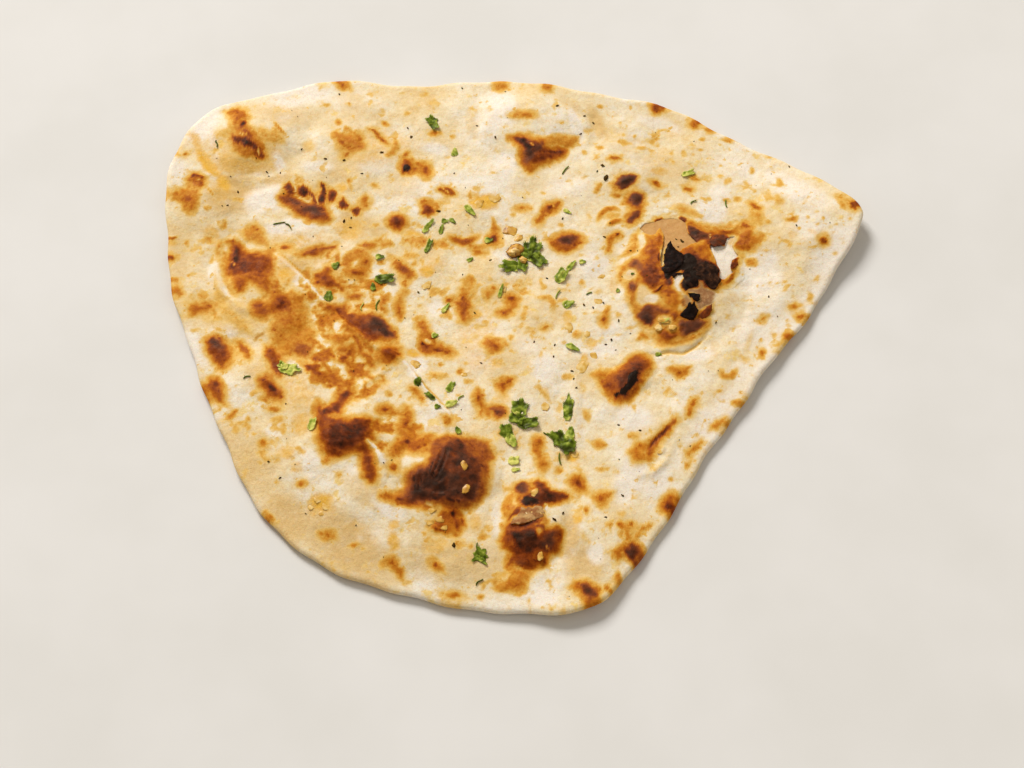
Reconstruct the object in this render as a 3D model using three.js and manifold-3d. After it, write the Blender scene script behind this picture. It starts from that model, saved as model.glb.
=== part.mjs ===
// A tandoor-baked naan with coriander and garlic, lying flat with its blistered side up.
// Millimetres, +Z up, +X along the longest side. The origin is the middle of the underside's
// bounding box. The bread and the toppings that stick to it are one solid, named naan.

import * as THREE from 'three';
import { mergeVertices } from 'three/addons/utils/BufferGeometryUtils.js';
import Module from 'manifold-3d';

const wasm = await Module();
wasm.setup();

// ---------------------------------------------------------------------------
// Driving dimensions
// ---------------------------------------------------------------------------

const LENGTH = 282; // along X, left edge to right tip
const WIDTH = 245; // along Y, top edge to bottom tip
const THICKNESS = 4.2; // of the bread between its puffs
const EDGE_THICKNESS = 2.6; // just inside the rim
const EDGE_FADE = 16; // how far in from the rim the bread reaches its full thickness
const RIM_BEVEL = 2; // how far the rounded rim stands out past its upper and lower edge
const RIM_LIFT = 0.6; // how far the rim curls up off the surface
const SKIN = 1.1; // the roof of a burst blister

const GRID = 42; // cells across the upper face
const UNDER_RINGS = [ // rings of the underside: share of the way out, share of the rim's points
  [1, 1],
  [0.93, 1 / 2],
  [0.8, 1 / 2],
  [0.6, 1 / 4],
  [0.4, 1 / 8],
  [0.2, 1 / 8],
];

// The outline runs anticlockwise from the right tip. It is an irregular teardrop that was
// stretched by hand: a long straight flank at the lower right and a blunt left side.
const OUTLINE = [
  [139.5, 43], [140.2, 56], [128, 68.5], [100, 86.5], [64, 107.5], [30, 115],
  [-5, 121.8], [-40, 119.3], [-74, 122], [-106, 114.5], [-130, 103], [-141, 80],
  [-141.8, 50], [-135.5, 13], [-121, -27], [-104, -66], [-83, -95], [-48, -113],
  [-8, -121.5], [24, -122], [45, -104], [66, -70], [92, -30], [120, 9],
];
const RIM_WAVES = [[17, 0.45, 1.3], [41, 0.3, 4.0]]; // waves round the rim, depth, start

// Swells lift the whole sheet off the surface. Between them it lies flat.
const SWELLS = [
  { x: -62, y: -52, rx: 84, ry: 46, turn: -41.7, rise: 5.5 }, // shoulder along the lower left
  { x: -150, y: 76, rx: 52, ry: 60, turn: 0, rise: 4.5 }, // upper left corner
  { x: 150, y: 52, rx: 62, ry: 50, turn: 0, rise: 5 }, // right tip
  { x: 34, y: 128, rx: 60, ry: 34, turn: -10, rise: 3 }, // top edge
  { x: 30, y: -132, rx: 40, ry: 34, turn: 0, rise: 3 }, // bottom tip
  { x: -146, y: 2, rx: 34, ry: 44, turn: 15, rise: 2.5 }, // left edge
  { x: 104, y: -22, rx: 40, ry: 22, turn: 52, rise: 1.5 }, // straight flank
];

// Low waves of the upper face: how fast they run along X and Y, height, start
const RIPPLES = [[0.11, 0.09, 0.22, 0.5], [0.21, -0.17, 0.16, 1]];

// Puffs are pockets of steam under the upper crust. They raise the upper face only.
const BURST = { x: 67, y: 20.5, rx: 27, ry: 31, turn: 0, rise: 5.5 }; // the big torn one
const SMALL_BURST = { x: 8, y: -86, rx: 14, ry: 20, turn: -12, rise: 4 };
const CHARRED = { x: -23, y: -66, rx: 18, ry: 17, turn: -20, rise: 4 };
const PUFFS = [
  BURST,
  SMALL_BURST,
  CHARRED,
  { x: 6, y: 100, rx: 26, ry: 20, turn: 0, rise: 3 },
  { x: -105, y: 92, rx: 21, ry: 20, turn: 0, rise: 3.2 },
  { x: -100, y: 15, rx: 24, ry: 27, turn: 0, rise: 3 },
  { x: -62, y: -50, rx: 15, ry: 12, turn: 0, rise: 1.8 },
  { x: 44.7, y: -24, rx: 11, ry: 8, turn: 45, rise: 1.8 },
  { x: 9, y: 83, rx: 13, ry: 9, turn: 10, rise: 1.2 },
  { x: -70, y: 84, rx: 24, ry: 20, turn: 0, rise: 1.4 },
  { x: 45, y: 76, rx: 22, ry: 16, turn: -20, rise: 1.4 },
  { x: -20, y: 60, rx: 28, ry: 20, turn: 15, rise: 1.2 },
  { x: 108, y: 48, rx: 22, ry: 26, turn: 30, rise: 1.4 },
  { x: -56, y: -6, rx: 20, ry: 14, turn: -45, rise: 1.3 },
  { x: 0, y: -22, rx: 24, ry: 26, turn: 0, rise: 1.2 },
  { x: -99, y: -25, rx: 20, ry: 15, turn: -50, rise: 1.4 },
  { x: 34, y: -92, rx: 15, ry: 20, turn: 0, rise: 1.2 },
  { x: -122, y: 55, rx: 15, ry: 15, turn: 0, rise: 1.3 },
];

const PUFF_ROUNDNESS = 1.3; // 1 is a plain dome with a sharp foot, 2 fades out softly
const HOLLOW_SHARE = 0.82; // how much of a burst blister's width is hollow
const TEAR_DEPTH = 9; // of the cuts through its roof, more than the roof's height
const TEAR_SUNK = 0.2; // how far they cut into the floor under it

// A crease crosses the left half. The bread on its lower left stands a step higher.
const CREASE = [[-95, 33], [-82, 20.5], [-65, 0], [-43, -16], [-24, -40], [-18, -46]];
const CREASE_STEP = 1.8;
const CREASE_REACH = 14; // how far the step takes to die away
const CREASE_RAMP = 1.5; // how wide the step itself is
const CREASE_LIP = 1.3; // half width of the fine rounded lip along it
const CREASE_LIP_FLATTENED = 0.6; // its height as a share of that

// Toasted blisters: x, y, half length, half width, turn in degrees, height
const BLISTERS = [
  [-110.7, 88.7, 6, 4.2, -25, 0.9], [-84, 56, 11, 5, -32, 1.2], [-46.7, 48.3, 4.5, 4.8, 0, 0.8],
  [8, 84.5, 9.5, 6.5, 10, 1.3], [22, 39.3, 7.2, 4.6, 0, 1], [45.3, 68.3, 4.6, 4.4, 0, 0.9],
  [49.8, 59.5, 3.8, 4.2, 0, 0.8], [-51.7, -2.7, 7.4, 5, -50, 1.2], [-114.7, -12, 5.6, 8.6, 20, 1],
  [-113.7, -30, 3.6, 7.2, 25, 0.9], [-93, -28.7, 4.4, 7, 35, 0.9], [-43.7, 25.7, 4.4, 7, 35, 0.8],
  [-68.3, 6.7, 6.6, 3.8, -40, 0.8], [-77.7, -19.3, 4.8, 3.6, 0, 0.8], [-64.3, -32, 4.5, 3.8, 0, 0.8],
  [43.6, -96.4, 3.8, 3.2, 60, 0.8], [25.6, -111.2, 4.2, 3.8, 0, 0.8], [24, -69.7, 4.6, 3.8, -30, 0.8],
  [9, -56, 3.4, 8, 15, 0.7], [56, -76.8, 3.4, 2.4, 60, 0.7], [-26, -87, 6.5, 5, 0, 1.6],
];

const BLISTER_DEPTH = 1.2; // how far a blister's solid reaches down into the bread

// Garlic: x, y, length, width, height
const GARLIC = [
  [0.3, 33, 6.6, 6.2, 2.6], [-0.7, 43.7, 5, 5, 1.6], [-18.7, -62.7, 3.4, 4.2, 1.6],
  [-17.5, -72, 3.4, 4, 1.6], [8, -74, 3.6, 4, 1.6], [9.7, -99.3, 3, 3.6, 1.4],
  [59.3, 1.3, 5, 3.4, 1.6], [57, -1.6, 3.4, 3.2, 1.4], [62.3, -1.7, 3.2, 3.2, 1.5],
  [-30, -81, 3.4, 3, 1.4], [-83.3, -59.3, 5, 4, 1.4], [-7.3, 60, 4, 3, 1.2],
];

// Coriander leaflets: x, y, length, width, turn in degrees, lobes
const LEAVES = [
  [8.6, 37, 9, 8, 35, 5], [3, 27.4, 8.5, 6, 200, 5], [10, 30.5, 7, 6, -60, 4],
  [2.5, -37, 7.5, 7, 80, 5], [5.8, -44.4, 8, 4.6, 10, 4], [-2, -47.3, 6, 6, 95, 4],
  [-0.2, -52.2, 7, 4, -60, 3], [17, -50.8, 7, 6, 120, 4], [20.6, -54.5, 8, 7, -70, 5],
  [21.6, -48.6, 5, 3.4, 80, 3], [21, -37.3, 12, 3.8, 88, 5], [19.3, 22.3, 7, 4.6, 60, 4],
  [23.3, 27.3, 5, 2, 50, 3], [22, 9.3, 5, 4.2, 20, 3], [23.3, -11, 6, 2.5, -35, 3],
  [-50.7, 20.7, 8, 5, 0, 4], [-72.7, 13, 3.6, 4.4, 90, 3], [-85.7, -20.7, 9, 6, -10, 5],
  [-33.3, 98, 6, 5, 90, 4], [-24, 83.1, 4, 2.6, 90, 3], [-17.3, 53.7, 6.4, 3, 40, 3],
  [-34, 46.3, 7, 2.5, 55, 3], [71.7, 72.3, 6, 2.6, 25, 3], [-23.3, -35.7, 5, 3, 30, 3],
  [0.3, -60, 4, 3.5, 0, 3], [-12, -98.4, 7, 5.4, -60, 4], [-76.3, -44.7, 5, 3, 90, 3],
  [-36.3, -25.7, 3.6, 3, 60, 3], [-26.3, 7.3, 5, 1.8, 60, 3], [-53, 31.3, 3.4, 3, 0, 3],
];
const LEAF_THICKNESS = 0.9;
const LEAF_SUNK = 0.35; // of the end that sticks to the bread
const LEAF_LIFT = 1.1; // of the other end above it
const LEAF_WAVE = 0.25;

// Openings torn in the roof of the two burst blisters
const BURST_TEARS = [
  [
    [54.5, 44.5], [58, 48.5], [64, 50], [69.5, 48.5], [70, 45], [73.5, 40.5], [74, 37.5], [69, 36],
    [66, 34], [63.6, 36.6], [62.2, 39], [60.6, 34], [59.6, 29], [58.8, 33], [59.6, 38.5], [57, 44],
  ],
  [
    [79.5, 36], [83, 36.6], [87.5, 35], [88.5, 31], [86, 26], [83.2, 21.5], [82.2, 24.5],
    [80.6, 28], [80.2, 32],
  ],
  [[63.8, 20.5], [67.4, 22.2], [66.2, 18], [67.6, 14.4], [66, 12.8], [64.2, 14.6]],
];
const SMALL_BURST_TEARS = [
  [
    [-1, -86.6], [5, -86], [10.2, -83.9], [11.6, -81], [9.4, -79.4], [5, -80.2], [2.4, -79.8],
    [1.6, -82.6], [-1.4, -84.6],
  ],
];

// ---------------------------------------------------------------------------
// Small helpers
// ---------------------------------------------------------------------------

const radians = THREE.MathUtils.degToRad;
const smooth = (t) => THREE.MathUtils.smoothstep(t, 0, 1);

// Seeded random numbers, the same on every run
function makeRandom(seed) {
  let state = seed;
  return () => {
    state = (state * 1664525 + 1013904223) % 4294967296;
    return state / 4294967296;
  };
}

// How far inside an ellipse a place is: 1 at its middle, 0 at its border and beyond
function inside(x, y, oval) {
  const turn = radians(oval.turn);
  const dx = x - oval.x;
  const dy = y - oval.y;
  const along = (dx * Math.cos(turn) + dy * Math.sin(turn)) / oval.rx;
  const across = (dy * Math.cos(turn) - dx * Math.sin(turn)) / oval.ry;
  return Math.max(0, 1 - along * along - across * across);
}

// ---------------------------------------------------------------------------
// Outline
// ---------------------------------------------------------------------------

const RIM_POINTS = 4 * GRID;

// The rim's points, evenly spaced, centred on the origin and stretched to LENGTH x WIDTH
function makeRim() {
  const corners = OUTLINE.map(([x, y]) => new THREE.Vector3(x, y, 0));
  const curve = new THREE.CatmullRomCurve3(corners, true, 'catmullrom', 0.5);
  curve.arcLengthDivisions = 2000;
  const points = curve.getSpacedPoints(RIM_POINTS).slice(0, RIM_POINTS);
  points.forEach((point, k) => {
    const turn = (2 * Math.PI * k) / RIM_POINTS;
    const wobble = RIM_WAVES.reduce((sum, [n, depth, start]) => sum + depth * Math.sin(n * turn + start), 0);
    point.multiplyScalar(1 + wobble / point.length());
  });
  const box = new THREE.Box3().setFromPoints(points);
  const middle = box.getCenter(new THREE.Vector3());
  const size = box.getSize(new THREE.Vector3());
  const stretch = new THREE.Vector3(LENGTH / size.x, WIDTH / size.y, 1);
  return points.map((point) => point.sub(middle).multiply(stretch));
}

const rim = makeRim();

// A place inside the outline: the way to rim point k, covered by the given share
function toward(k, share) {
  const point = rim[((k % RIM_POINTS) + RIM_POINTS) % RIM_POINTS];
  const inset = 1 - RIM_BEVEL / point.length();
  return [point.x * inset * share, point.y * inset * share];
}

function distanceToRim(x, y) {
  return Math.min(...rim.map((point) => Math.hypot(point.x - x, point.y - y)));
}

// ---------------------------------------------------------------------------
// Heights of the lower and upper face
// ---------------------------------------------------------------------------

const creaseCurve = new THREE.CatmullRomCurve3(CREASE.map(([x, y]) => new THREE.Vector3(x, y, 0)));
const creasePoints = creaseCurve.getSpacedPoints(60);

// The step beside the crease. It fades out toward both ends.
function creaseHeight(x, y) {
  let best = 0;
  const far = creasePoints.map((point) => Math.hypot(point.x - x, point.y - y));
  far.forEach((distance, i) => {
    if (distance < far[best]) best = i;
  });
  const share = best / (creasePoints.length - 1);
  const along = creaseCurve.getTangentAt(share);
  const side = along.y * (x - creasePoints[best].x) - along.x * (y - creasePoints[best].y);
  const step = smooth(0.5 + side / (2 * CREASE_RAMP));
  return CREASE_STEP * step * Math.exp(-Math.abs(side) / CREASE_REACH) * Math.sin(Math.PI * share)
    * smooth(2 - far[best] / (2 * CREASE_REACH));
}

function lowerHeight(x, y) {
  const edge = 1 - smooth(distanceToRim(x, y) / EDGE_FADE);
  const swells = SWELLS.reduce((sum, swell) => sum + swell.rise * inside(x, y, swell) ** 2, 0);
  return swells + RIM_LIFT * edge * edge;
}

function ripple(x, y) {
  return RIPPLES.reduce((sum, [nx, ny, height, start]) => sum + height * Math.sin(nx * x + ny * y + start), 0);
}

function thickness(x, y) {
  const fade = smooth(distanceToRim(x, y) / EDGE_FADE);
  return EDGE_THICKNESS + (THICKNESS - EDGE_THICKNESS + ripple(x, y)) * fade;
}

function upperHeight(x, y, leftOut = []) {
  const puffs = PUFFS.filter((puff) => !leftOut.includes(puff));
  const raised = puffs.reduce((sum, puff) => sum + puff.rise * inside(x, y, puff) ** PUFF_ROUNDNESS, 0);
  return lowerHeight(x, y) + thickness(x, y) + raised + creaseHeight(x, y);
}

// ---------------------------------------------------------------------------
// The sheet of bread
// ---------------------------------------------------------------------------

// The grid's border cell number k, counted anticlockwise from the right
function borderCell(k) {
  const half = GRID / 2;
  const step = (k + half) % RIM_POINTS;
  const side = Math.floor(step / GRID);
  const along = step % GRID;
  if (side === 0) return [GRID, along];
  if (side === 1) return [GRID - along, GRID];
  if (side === 2) return [0, GRID - along];
  return [along, 0];
}

// Where a grid vertex lies. Square rings of the grid become rings of the outline's shape.
function gridPlace(i, j) {
  const a = (2 * i) / GRID - 1;
  const b = (2 * j) / GRID - 1;
  const share = Math.max(Math.abs(a), Math.abs(b));
  if (share === 0) return [0, 0];
  const eighth = RIM_POINTS / 8;
  let k;
  if (Math.abs(a) >= Math.abs(b)) {
    k = eighth * (b / a) + (a > 0 ? 0 : 4 * eighth);
  } else {
    k = 2 * eighth - eighth * (a / b) + (b > 0 ? 0 : 4 * eighth);
  }
  const whole = Math.floor(k);
  const [x0, y0] = toward(whole, share);
  const [x1, y1] = toward(whole + 1, share);
  const part = k - whole;
  return [x0 + (x1 - x0) * part, y0 + (y1 - y0) * part];
}

// Triangles between an outer ring and an inner one that has as many points or half as many
function stitch(outer, inner) {
  const triangles = [];
  const ratio = outer.length / inner.length;
  for (let n = 0; n < inner.length; n += 1) {
    const next = (n + 1) % inner.length;
    const start = outer[n * ratio];
    const end = outer[(n * ratio + ratio) % outer.length];
    if (ratio === 1) {
      triangles.push(start, inner[n], end, end, inner[n], inner[next]);
    } else {
      const between = outer[n * ratio + 1];
      triangles.push(start, inner[n], between, between, inner[n], inner[next], between, inner[next], end);
    }
  }
  return triangles;
}

function makeSheet() {
  const positions = [];
  const triangles = [];
  const addVertex = (x, y, z) => positions.push(x, y, z) / 3 - 1;

  // Upper face
  const vertexAt = (i, j) => i * (GRID + 1) + j;
  for (let i = 0; i <= GRID; i += 1) {
    for (let j = 0; j <= GRID; j += 1) {
      const [x, y] = gridPlace(i, j);
      addVertex(x, y, upperHeight(x, y));
    }
  }
  for (let i = 0; i < GRID; i += 1) {
    for (let j = 0; j < GRID; j += 1) {
      const [a, b, c, d] = [vertexAt(i, j), vertexAt(i + 1, j), vertexAt(i + 1, j + 1), vertexAt(i, j + 1)];
      const slanted = (i < GRID / 2) === (j < GRID / 2);
      triangles.push(...(slanted ? [a, b, c, a, c, d] : [a, b, d, b, c, d]));
    }
  }

  // Rounded rim
  const upperEdge = rim.map((_, k) => vertexAt(...borderCell(k)));
  const middle = rim.map(({ x, y }) => addVertex(x, y, lowerHeight(x, y) + EDGE_THICKNESS / 2));
  triangles.push(...stitch(middle, upperEdge).reverse());

  // Underside
  const rings = UNDER_RINGS.map(([share, part]) => {
    const count = RIM_POINTS * part;
    return Array.from({ length: count }, (_, n) => {
      const [x, y] = toward(n / part, share);
      return addVertex(x, y, lowerHeight(x, y));
    });
  });
  triangles.push(...stitch(middle, rings[0]));
  for (let n = 1; n < rings.length; n += 1) {
    triangles.push(...stitch(rings[n - 1], rings[n]));
  }
  const last = rings[rings.length - 1];
  const centre = addVertex(0, 0, lowerHeight(0, 0));
  last.forEach((vertex, n) => triangles.push(vertex, centre, last[(n + 1) % last.length]));

  const sheet = new THREE.BufferGeometry();
  sheet.setAttribute('position', new THREE.Float32BufferAttribute(positions, 3));
  sheet.setIndex(triangles);
  return sheet;
}

// ---------------------------------------------------------------------------
// What stands on the sheet
// ---------------------------------------------------------------------------

// Lays a small shape on the bread: turned, moved, and each point raised by its place's height
function drape(shape, x, y, turn, height = upperHeight) {
  const place = shape.getAttribute('position');
  const cos = Math.cos(radians(turn));
  const sin = Math.sin(radians(turn));
  for (let n = 0; n < place.count; n += 1) {
    const px = x + place.getX(n) * cos - place.getY(n) * sin;
    const py = y + place.getX(n) * sin + place.getY(n) * cos;
    place.setXYZ(n, px, py, height(px, py) + place.getZ(n));
  }
  return shape;
}

function makeBlister([x, y, halfLength, halfWidth, turn, rise]) {
  const dome = new THREE.SphereGeometry(1, 10, 4).rotateX(Math.PI / 2);
  const place = dome.getAttribute('position');
  for (let n = 0; n < place.count; n += 1) {
    const z = place.getZ(n);
    place.setXYZ(n, place.getX(n) * halfLength, place.getY(n) * halfWidth, z * (z > 0 ? rise : BLISTER_DEPTH));
  }
  return drape(dome, x, y, turn);
}

function makeGarlic([x, y, length, width, rise], n) {
  const random = makeRandom(100 + n);
  const chunk = mergeVertices(bare(new THREE.IcosahedronGeometry(1, 0)));
  const place = chunk.getAttribute('position');
  for (let k = 0; k < place.count; k += 1) {
    const size = 0.85 + 0.3 * random();
    place.setXYZ(k, place.getX(k) * size * length / 2, place.getY(k) * size * width / 2, place.getZ(k) * rise);
  }
  return drape(chunk, x, y, 360 * random());
}

// A coriander leaflet: round lobes about a stalk end, thin and slightly wavy
function makeLeaf([x, y, length, width, turn, lobes], n) {
  const random = makeRandom(500 + n);
  const shape = new THREE.Shape();
  const points = 2 * lobes + 2;
  for (let k = 0; k < points; k += 1) {
    const angle = Math.PI * (2 * k / points - 1);
    const notch = k % 2 === 0 ? 0.62 : 1;
    const reach = notch * (0.85 + 0.25 * random());
    const [px, py] = [Math.cos(angle) * reach * length / 2, Math.sin(angle) * reach * width / 2];
    if (k === 0) shape.moveTo(px, py);
    else shape.lineTo(px, py);
  }
  const leaf = new THREE.ExtrudeGeometry(shape, { depth: LEAF_THICKNESS, bevelEnabled: false });
  const place = leaf.getAttribute('position');
  for (let k = 0; k < place.count; k += 1) {
    const wave = LEAF_WAVE * Math.sin(1.3 * place.getX(k) + 0.9 * place.getY(k) + n);
    const lift = LEAF_LIFT * (0.5 + place.getX(k) / length);
    place.setZ(k, place.getZ(k) - LEAF_SUNK + lift + wave);
  }
  return drape(leaf, x, y, turn);
}

// The rounded lip along the crease: a flattened tube that follows it
function makeLip() {
  const section = new THREE.Shape(
    Array.from({ length: 6 }, (_, n) => {
      const angle = (Math.PI * n) / 3;
      return new THREE.Vector2(Math.cos(angle) * CREASE_LIP, Math.sin(angle) * CREASE_LIP);
    }),
  );
  const lip = new THREE.ExtrudeGeometry(section, { steps: 18, bevelEnabled: false, extrudePath: creaseCurve });
  return drape(lip.scale(1, 1, CREASE_LIP_FLATTENED), 0, 0, 0);
}

// The hollow under the roof of a burst blister
function makeHollow(burst) {
  const floorHeight = (x, y) => upperHeight(x, y, [burst]);
  const lens = new THREE.SphereGeometry(1, 18, 8).rotateX(Math.PI / 2);
  const place = lens.getAttribute('position');
  for (let n = 0; n < place.count; n += 1) {
    const [u, v, w] = [place.getX(n), place.getY(n), place.getZ(n)];
    const [x, y] = [u * burst.rx * HOLLOW_SHARE, v * burst.ry * HOLLOW_SHARE];
    const share = 1 - (x / burst.rx) ** 2 - (y / burst.ry) ** 2;
    const headroom = Math.max(burst.rise * share ** PUFF_ROUNDNESS - SKIN, TEAR_SUNK);
    place.setXYZ(n, x, y, w > 0 ? headroom * Math.min(1, 2 * w) : TEAR_SUNK * w);
  }
  return drape(lens, burst.x, burst.y, burst.turn, floorHeight);
}

// A ragged opening through that roof
function makeTear(corners, burst) {
  const outline = new THREE.Shape(corners.map(([x, y]) => new THREE.Vector2(x, y)));
  const tear = new THREE.ExtrudeGeometry(outline, { depth: TEAR_DEPTH, bevelEnabled: false });
  return drape(tear, 0, 0, 0, () => upperHeight(burst.x, burst.y, [burst]) - TEAR_SUNK);
}

// ---------------------------------------------------------------------------
// Joining
// ---------------------------------------------------------------------------

function bare(geometry) {
  geometry.deleteAttribute('normal');
  geometry.deleteAttribute('uv');
  return geometry;
}

function toSolid(geometry) {
  const merged = mergeVertices(bare(geometry), 1e-4);
  return new wasm.Manifold(new wasm.Mesh({
    numProp: 3,
    vertProperties: new Float32Array(merged.getAttribute('position').array),
    triVerts: new Uint32Array(merged.getIndex().array),
  }));
}

function toGeometry(solid) {
  const { vertProperties, triVerts, numProp } = solid.getMesh();
  const geometry = new THREE.BufferGeometry();
  const positions = [];
  for (let n = 0; n < vertProperties.length; n += numProp) {
    positions.push(vertProperties[n], vertProperties[n + 1], vertProperties[n + 2]);
  }
  geometry.setAttribute('position', new THREE.Float32BufferAttribute(positions, 3));
  geometry.setIndex(Array.from(triVerts));
  geometry.computeVertexNormals();
  return geometry;
}

function makeNaan() {
  let bread = toSolid(makeSheet()).add(toSolid(makeLip()));
  BLISTERS.forEach((blister) => { bread = bread.add(toSolid(makeBlister(blister))); });
  [[BURST, BURST_TEARS], [SMALL_BURST, SMALL_BURST_TEARS]].forEach(([burst, tears]) => {
    bread = bread.subtract(toSolid(makeHollow(burst)));
    tears.forEach((tear) => { bread = bread.subtract(toSolid(makeTear(tear, burst))); });
  });
  GARLIC.forEach((chunk, n) => { bread = bread.add(toSolid(makeGarlic(chunk, n))); });
  LEAVES.forEach((leaf, n) => { bread = bread.add(toSolid(makeLeaf(leaf, n))); });
  return toGeometry(bread);
}

const naan = new THREE.Mesh(
  makeNaan(),
  new THREE.MeshStandardMaterial({ color: 0xe9cfa0, roughness: 0.7, metalness: 0 }),
);
naan.name = 'naan';

const group = new THREE.Group();
group.add(naan);

export default group;
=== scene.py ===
"""Looks of the naan bread: crust, underside, torn skins, coriander, garlic, herb specks and stage."""

import math

import bmesh
import bpy
import numpy as np
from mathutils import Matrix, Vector
from mathutils.geometry import delaunay_2d_cdt


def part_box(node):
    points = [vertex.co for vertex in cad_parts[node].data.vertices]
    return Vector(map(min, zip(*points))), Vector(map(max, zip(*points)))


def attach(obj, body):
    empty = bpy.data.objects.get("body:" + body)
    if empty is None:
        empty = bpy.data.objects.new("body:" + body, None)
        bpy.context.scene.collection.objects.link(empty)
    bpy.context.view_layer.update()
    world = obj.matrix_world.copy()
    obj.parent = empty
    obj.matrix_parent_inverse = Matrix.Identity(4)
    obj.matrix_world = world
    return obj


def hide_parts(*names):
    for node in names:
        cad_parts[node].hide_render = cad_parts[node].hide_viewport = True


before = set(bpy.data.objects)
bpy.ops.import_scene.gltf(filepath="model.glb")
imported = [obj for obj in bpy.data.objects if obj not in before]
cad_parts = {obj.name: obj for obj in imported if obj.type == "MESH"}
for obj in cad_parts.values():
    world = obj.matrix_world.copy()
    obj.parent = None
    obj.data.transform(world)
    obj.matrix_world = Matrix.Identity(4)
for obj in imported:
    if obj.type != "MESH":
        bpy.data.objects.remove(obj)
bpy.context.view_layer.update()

MM = 0.001

# ---------------------------------------------------------------------------------------------
# The bread's form, in millimetres: the same sizes as the CAD solid
# ---------------------------------------------------------------------------------------------

LENGTH = (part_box("naan")[1][0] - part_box("naan")[0][0]) / MM
WIDTH = (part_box("naan")[1][1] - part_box("naan")[0][1]) / MM
THICKNESS = 4.2
EDGE_THICKNESS = 2.6
EDGE_FADE = 16.0
RIM_BEVEL = 2.0
RIM_LIFT = 0.6
SKIN = 0.35

OUTLINE = [
    (139.5, 43), (140.2, 56), (128, 68.5), (100, 86.5), (64, 107.5), (30, 115),
    (-5, 121.8), (-40, 119.3), (-74, 122), (-106, 114.5), (-130, 103), (-141, 80),
    (-141.8, 50), (-135.5, 13), (-121, -27), (-104, -66), (-83, -95), (-48, -113),
    (-8, -121.5), (24, -122), (45, -104), (66, -70), (92, -30), (120, 9),
]
RIM_WAVES = [(17, 0.45, 1.3), (41, 0.3, 4.0)]  # how many, depth, start

# Ellipses: x, y, half length, half width, turn in degrees, rise
SWELLS = [
    (-62, -52, 84, 46, -41.7, 5.5), (-150, 76, 52, 60, 0, 4.5), (150, 52, 62, 50, 0, 5),
    (34, 128, 60, 34, -10, 3), (30, -132, 40, 34, 0, 3), (-146, 2, 34, 44, 15, 2.5),
    (104, -22, 40, 22, 52, 1.5),
]
BURST = (67, 20.5, 27, 31, 0, 5.5)
SMALL_BURST = (8, -86, 14, 20, -12, 4)
CHARRED = (-23, -66, 18, 17, -20, 4)
PUFFS = [
    CHARRED,
    (6, 100, 26, 20, 0, 3), (-105, 92, 21, 20, 0, 3.2), (-100, 15, 24, 27, 0, 3),
    (-62, -50, 15, 12, 0, 1.8), (44.7, -24, 11, 8, 45, 1.8), (9, 83, 13, 9, 10, 1.2),
    (-70, 84, 24, 20, 0, 1.4), (45, 76, 22, 16, -20, 1.4), (-20, 60, 28, 20, 15, 1.2),
    (108, 48, 22, 26, 30, 1.4), (-56, -6, 20, 14, -45, 1.3), (0, -22, 24, 26, 0, 1.2),
    (-99, -25, 20, 15, -50, 1.4), (34, -92, 15, 20, 0, 1.2), (-122, 55, 15, 15, 0, 1.3),
]
PUFF_ROUNDNESS = 1.3
CREASE = [(-95, 33), (-82, 20.5), (-65, 0), (-43, -16), (-24, -40), (-18, -46)]
CREASE_STEP = 1.8
CREASE_REACH = 14.0
CREASE_RAMP = 1.2
RIPPLES = [(0.11, 0.09, 0.22, 0.5), (0.21, -0.17, 0.16, 1)]  # turns along x and y, height, start
FINE_RIPPLES = [(17, 0.46, 11), (7, 0.26, 12), (2.8, 0.11, 13)]  # size, height, seed
PUFF_WARPS = [(26, 3, 15), (10, 1.2, 16)]  # size, shift, seed

# ---------------------------------------------------------------------------------------------
# What the oven did, in millimetres on the bread, with painted shade and light among it
# ---------------------------------------------------------------------------------------------

# Round marks: x, y, half length, half width, turn, toast 0 to 1, purple 0 to 1, char 0 to 1
SPOTS_UPPER_LEFT = [
    (-115.5, 98, 1.6, 3.4, 0, .4), (-112, 97, 1.5, 2, 0, .92, 0, .3), (-118.5, 93, 4, 3, 0, .22),
    (-123.5, 55, 1.4, 1.6, 0, .3), (-131.2, 60, 1.8, 3, 0, .56), (-130.4, 55.6, 1.4, 2.4, 0, .5),
    (-137.6, 62.6, 1.6, 1.4, 0, .5), (-129, 69.2, 1.5, 1.1, 0, .7), (-70.4, 88, 2.2, 2, 0, .52),
    (-63.6, 90, 1.6, 3, 0, .46), (-66.6, 85, 3.2, 1.2, 10, .5), (-68.6, 81.6, 1.6, 1, 30, .5),
    (-72.6, 98.6, 1.8, 1.6, 0, .34), (-53, 97.8, 2.2, 1.4, -40, .4), (-77.6, 107.6, 1.8, 1.2, 0, .28),
    (-84, 86.6, 3.4, 3, 0, .13), (-136.6, 89.4, 1.2, 1.2, 0, .34), (-135, 82, .9, .9, 0, .5),
    (-102.6, 44.8, .9, .9, 0, .62), (-91, 35.8, 3, 1.9, 0, .54), (-56.6, 66.3, 2, 1.6, 0, .25),
    (-137, 38.6, 3.6, 2.4, 0, .2), (-46.6, 48, 2.4, 2.4, 0, .82, 0, .1), (-71.4, 118, 1, 1.4, -40, .7),
]
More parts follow.
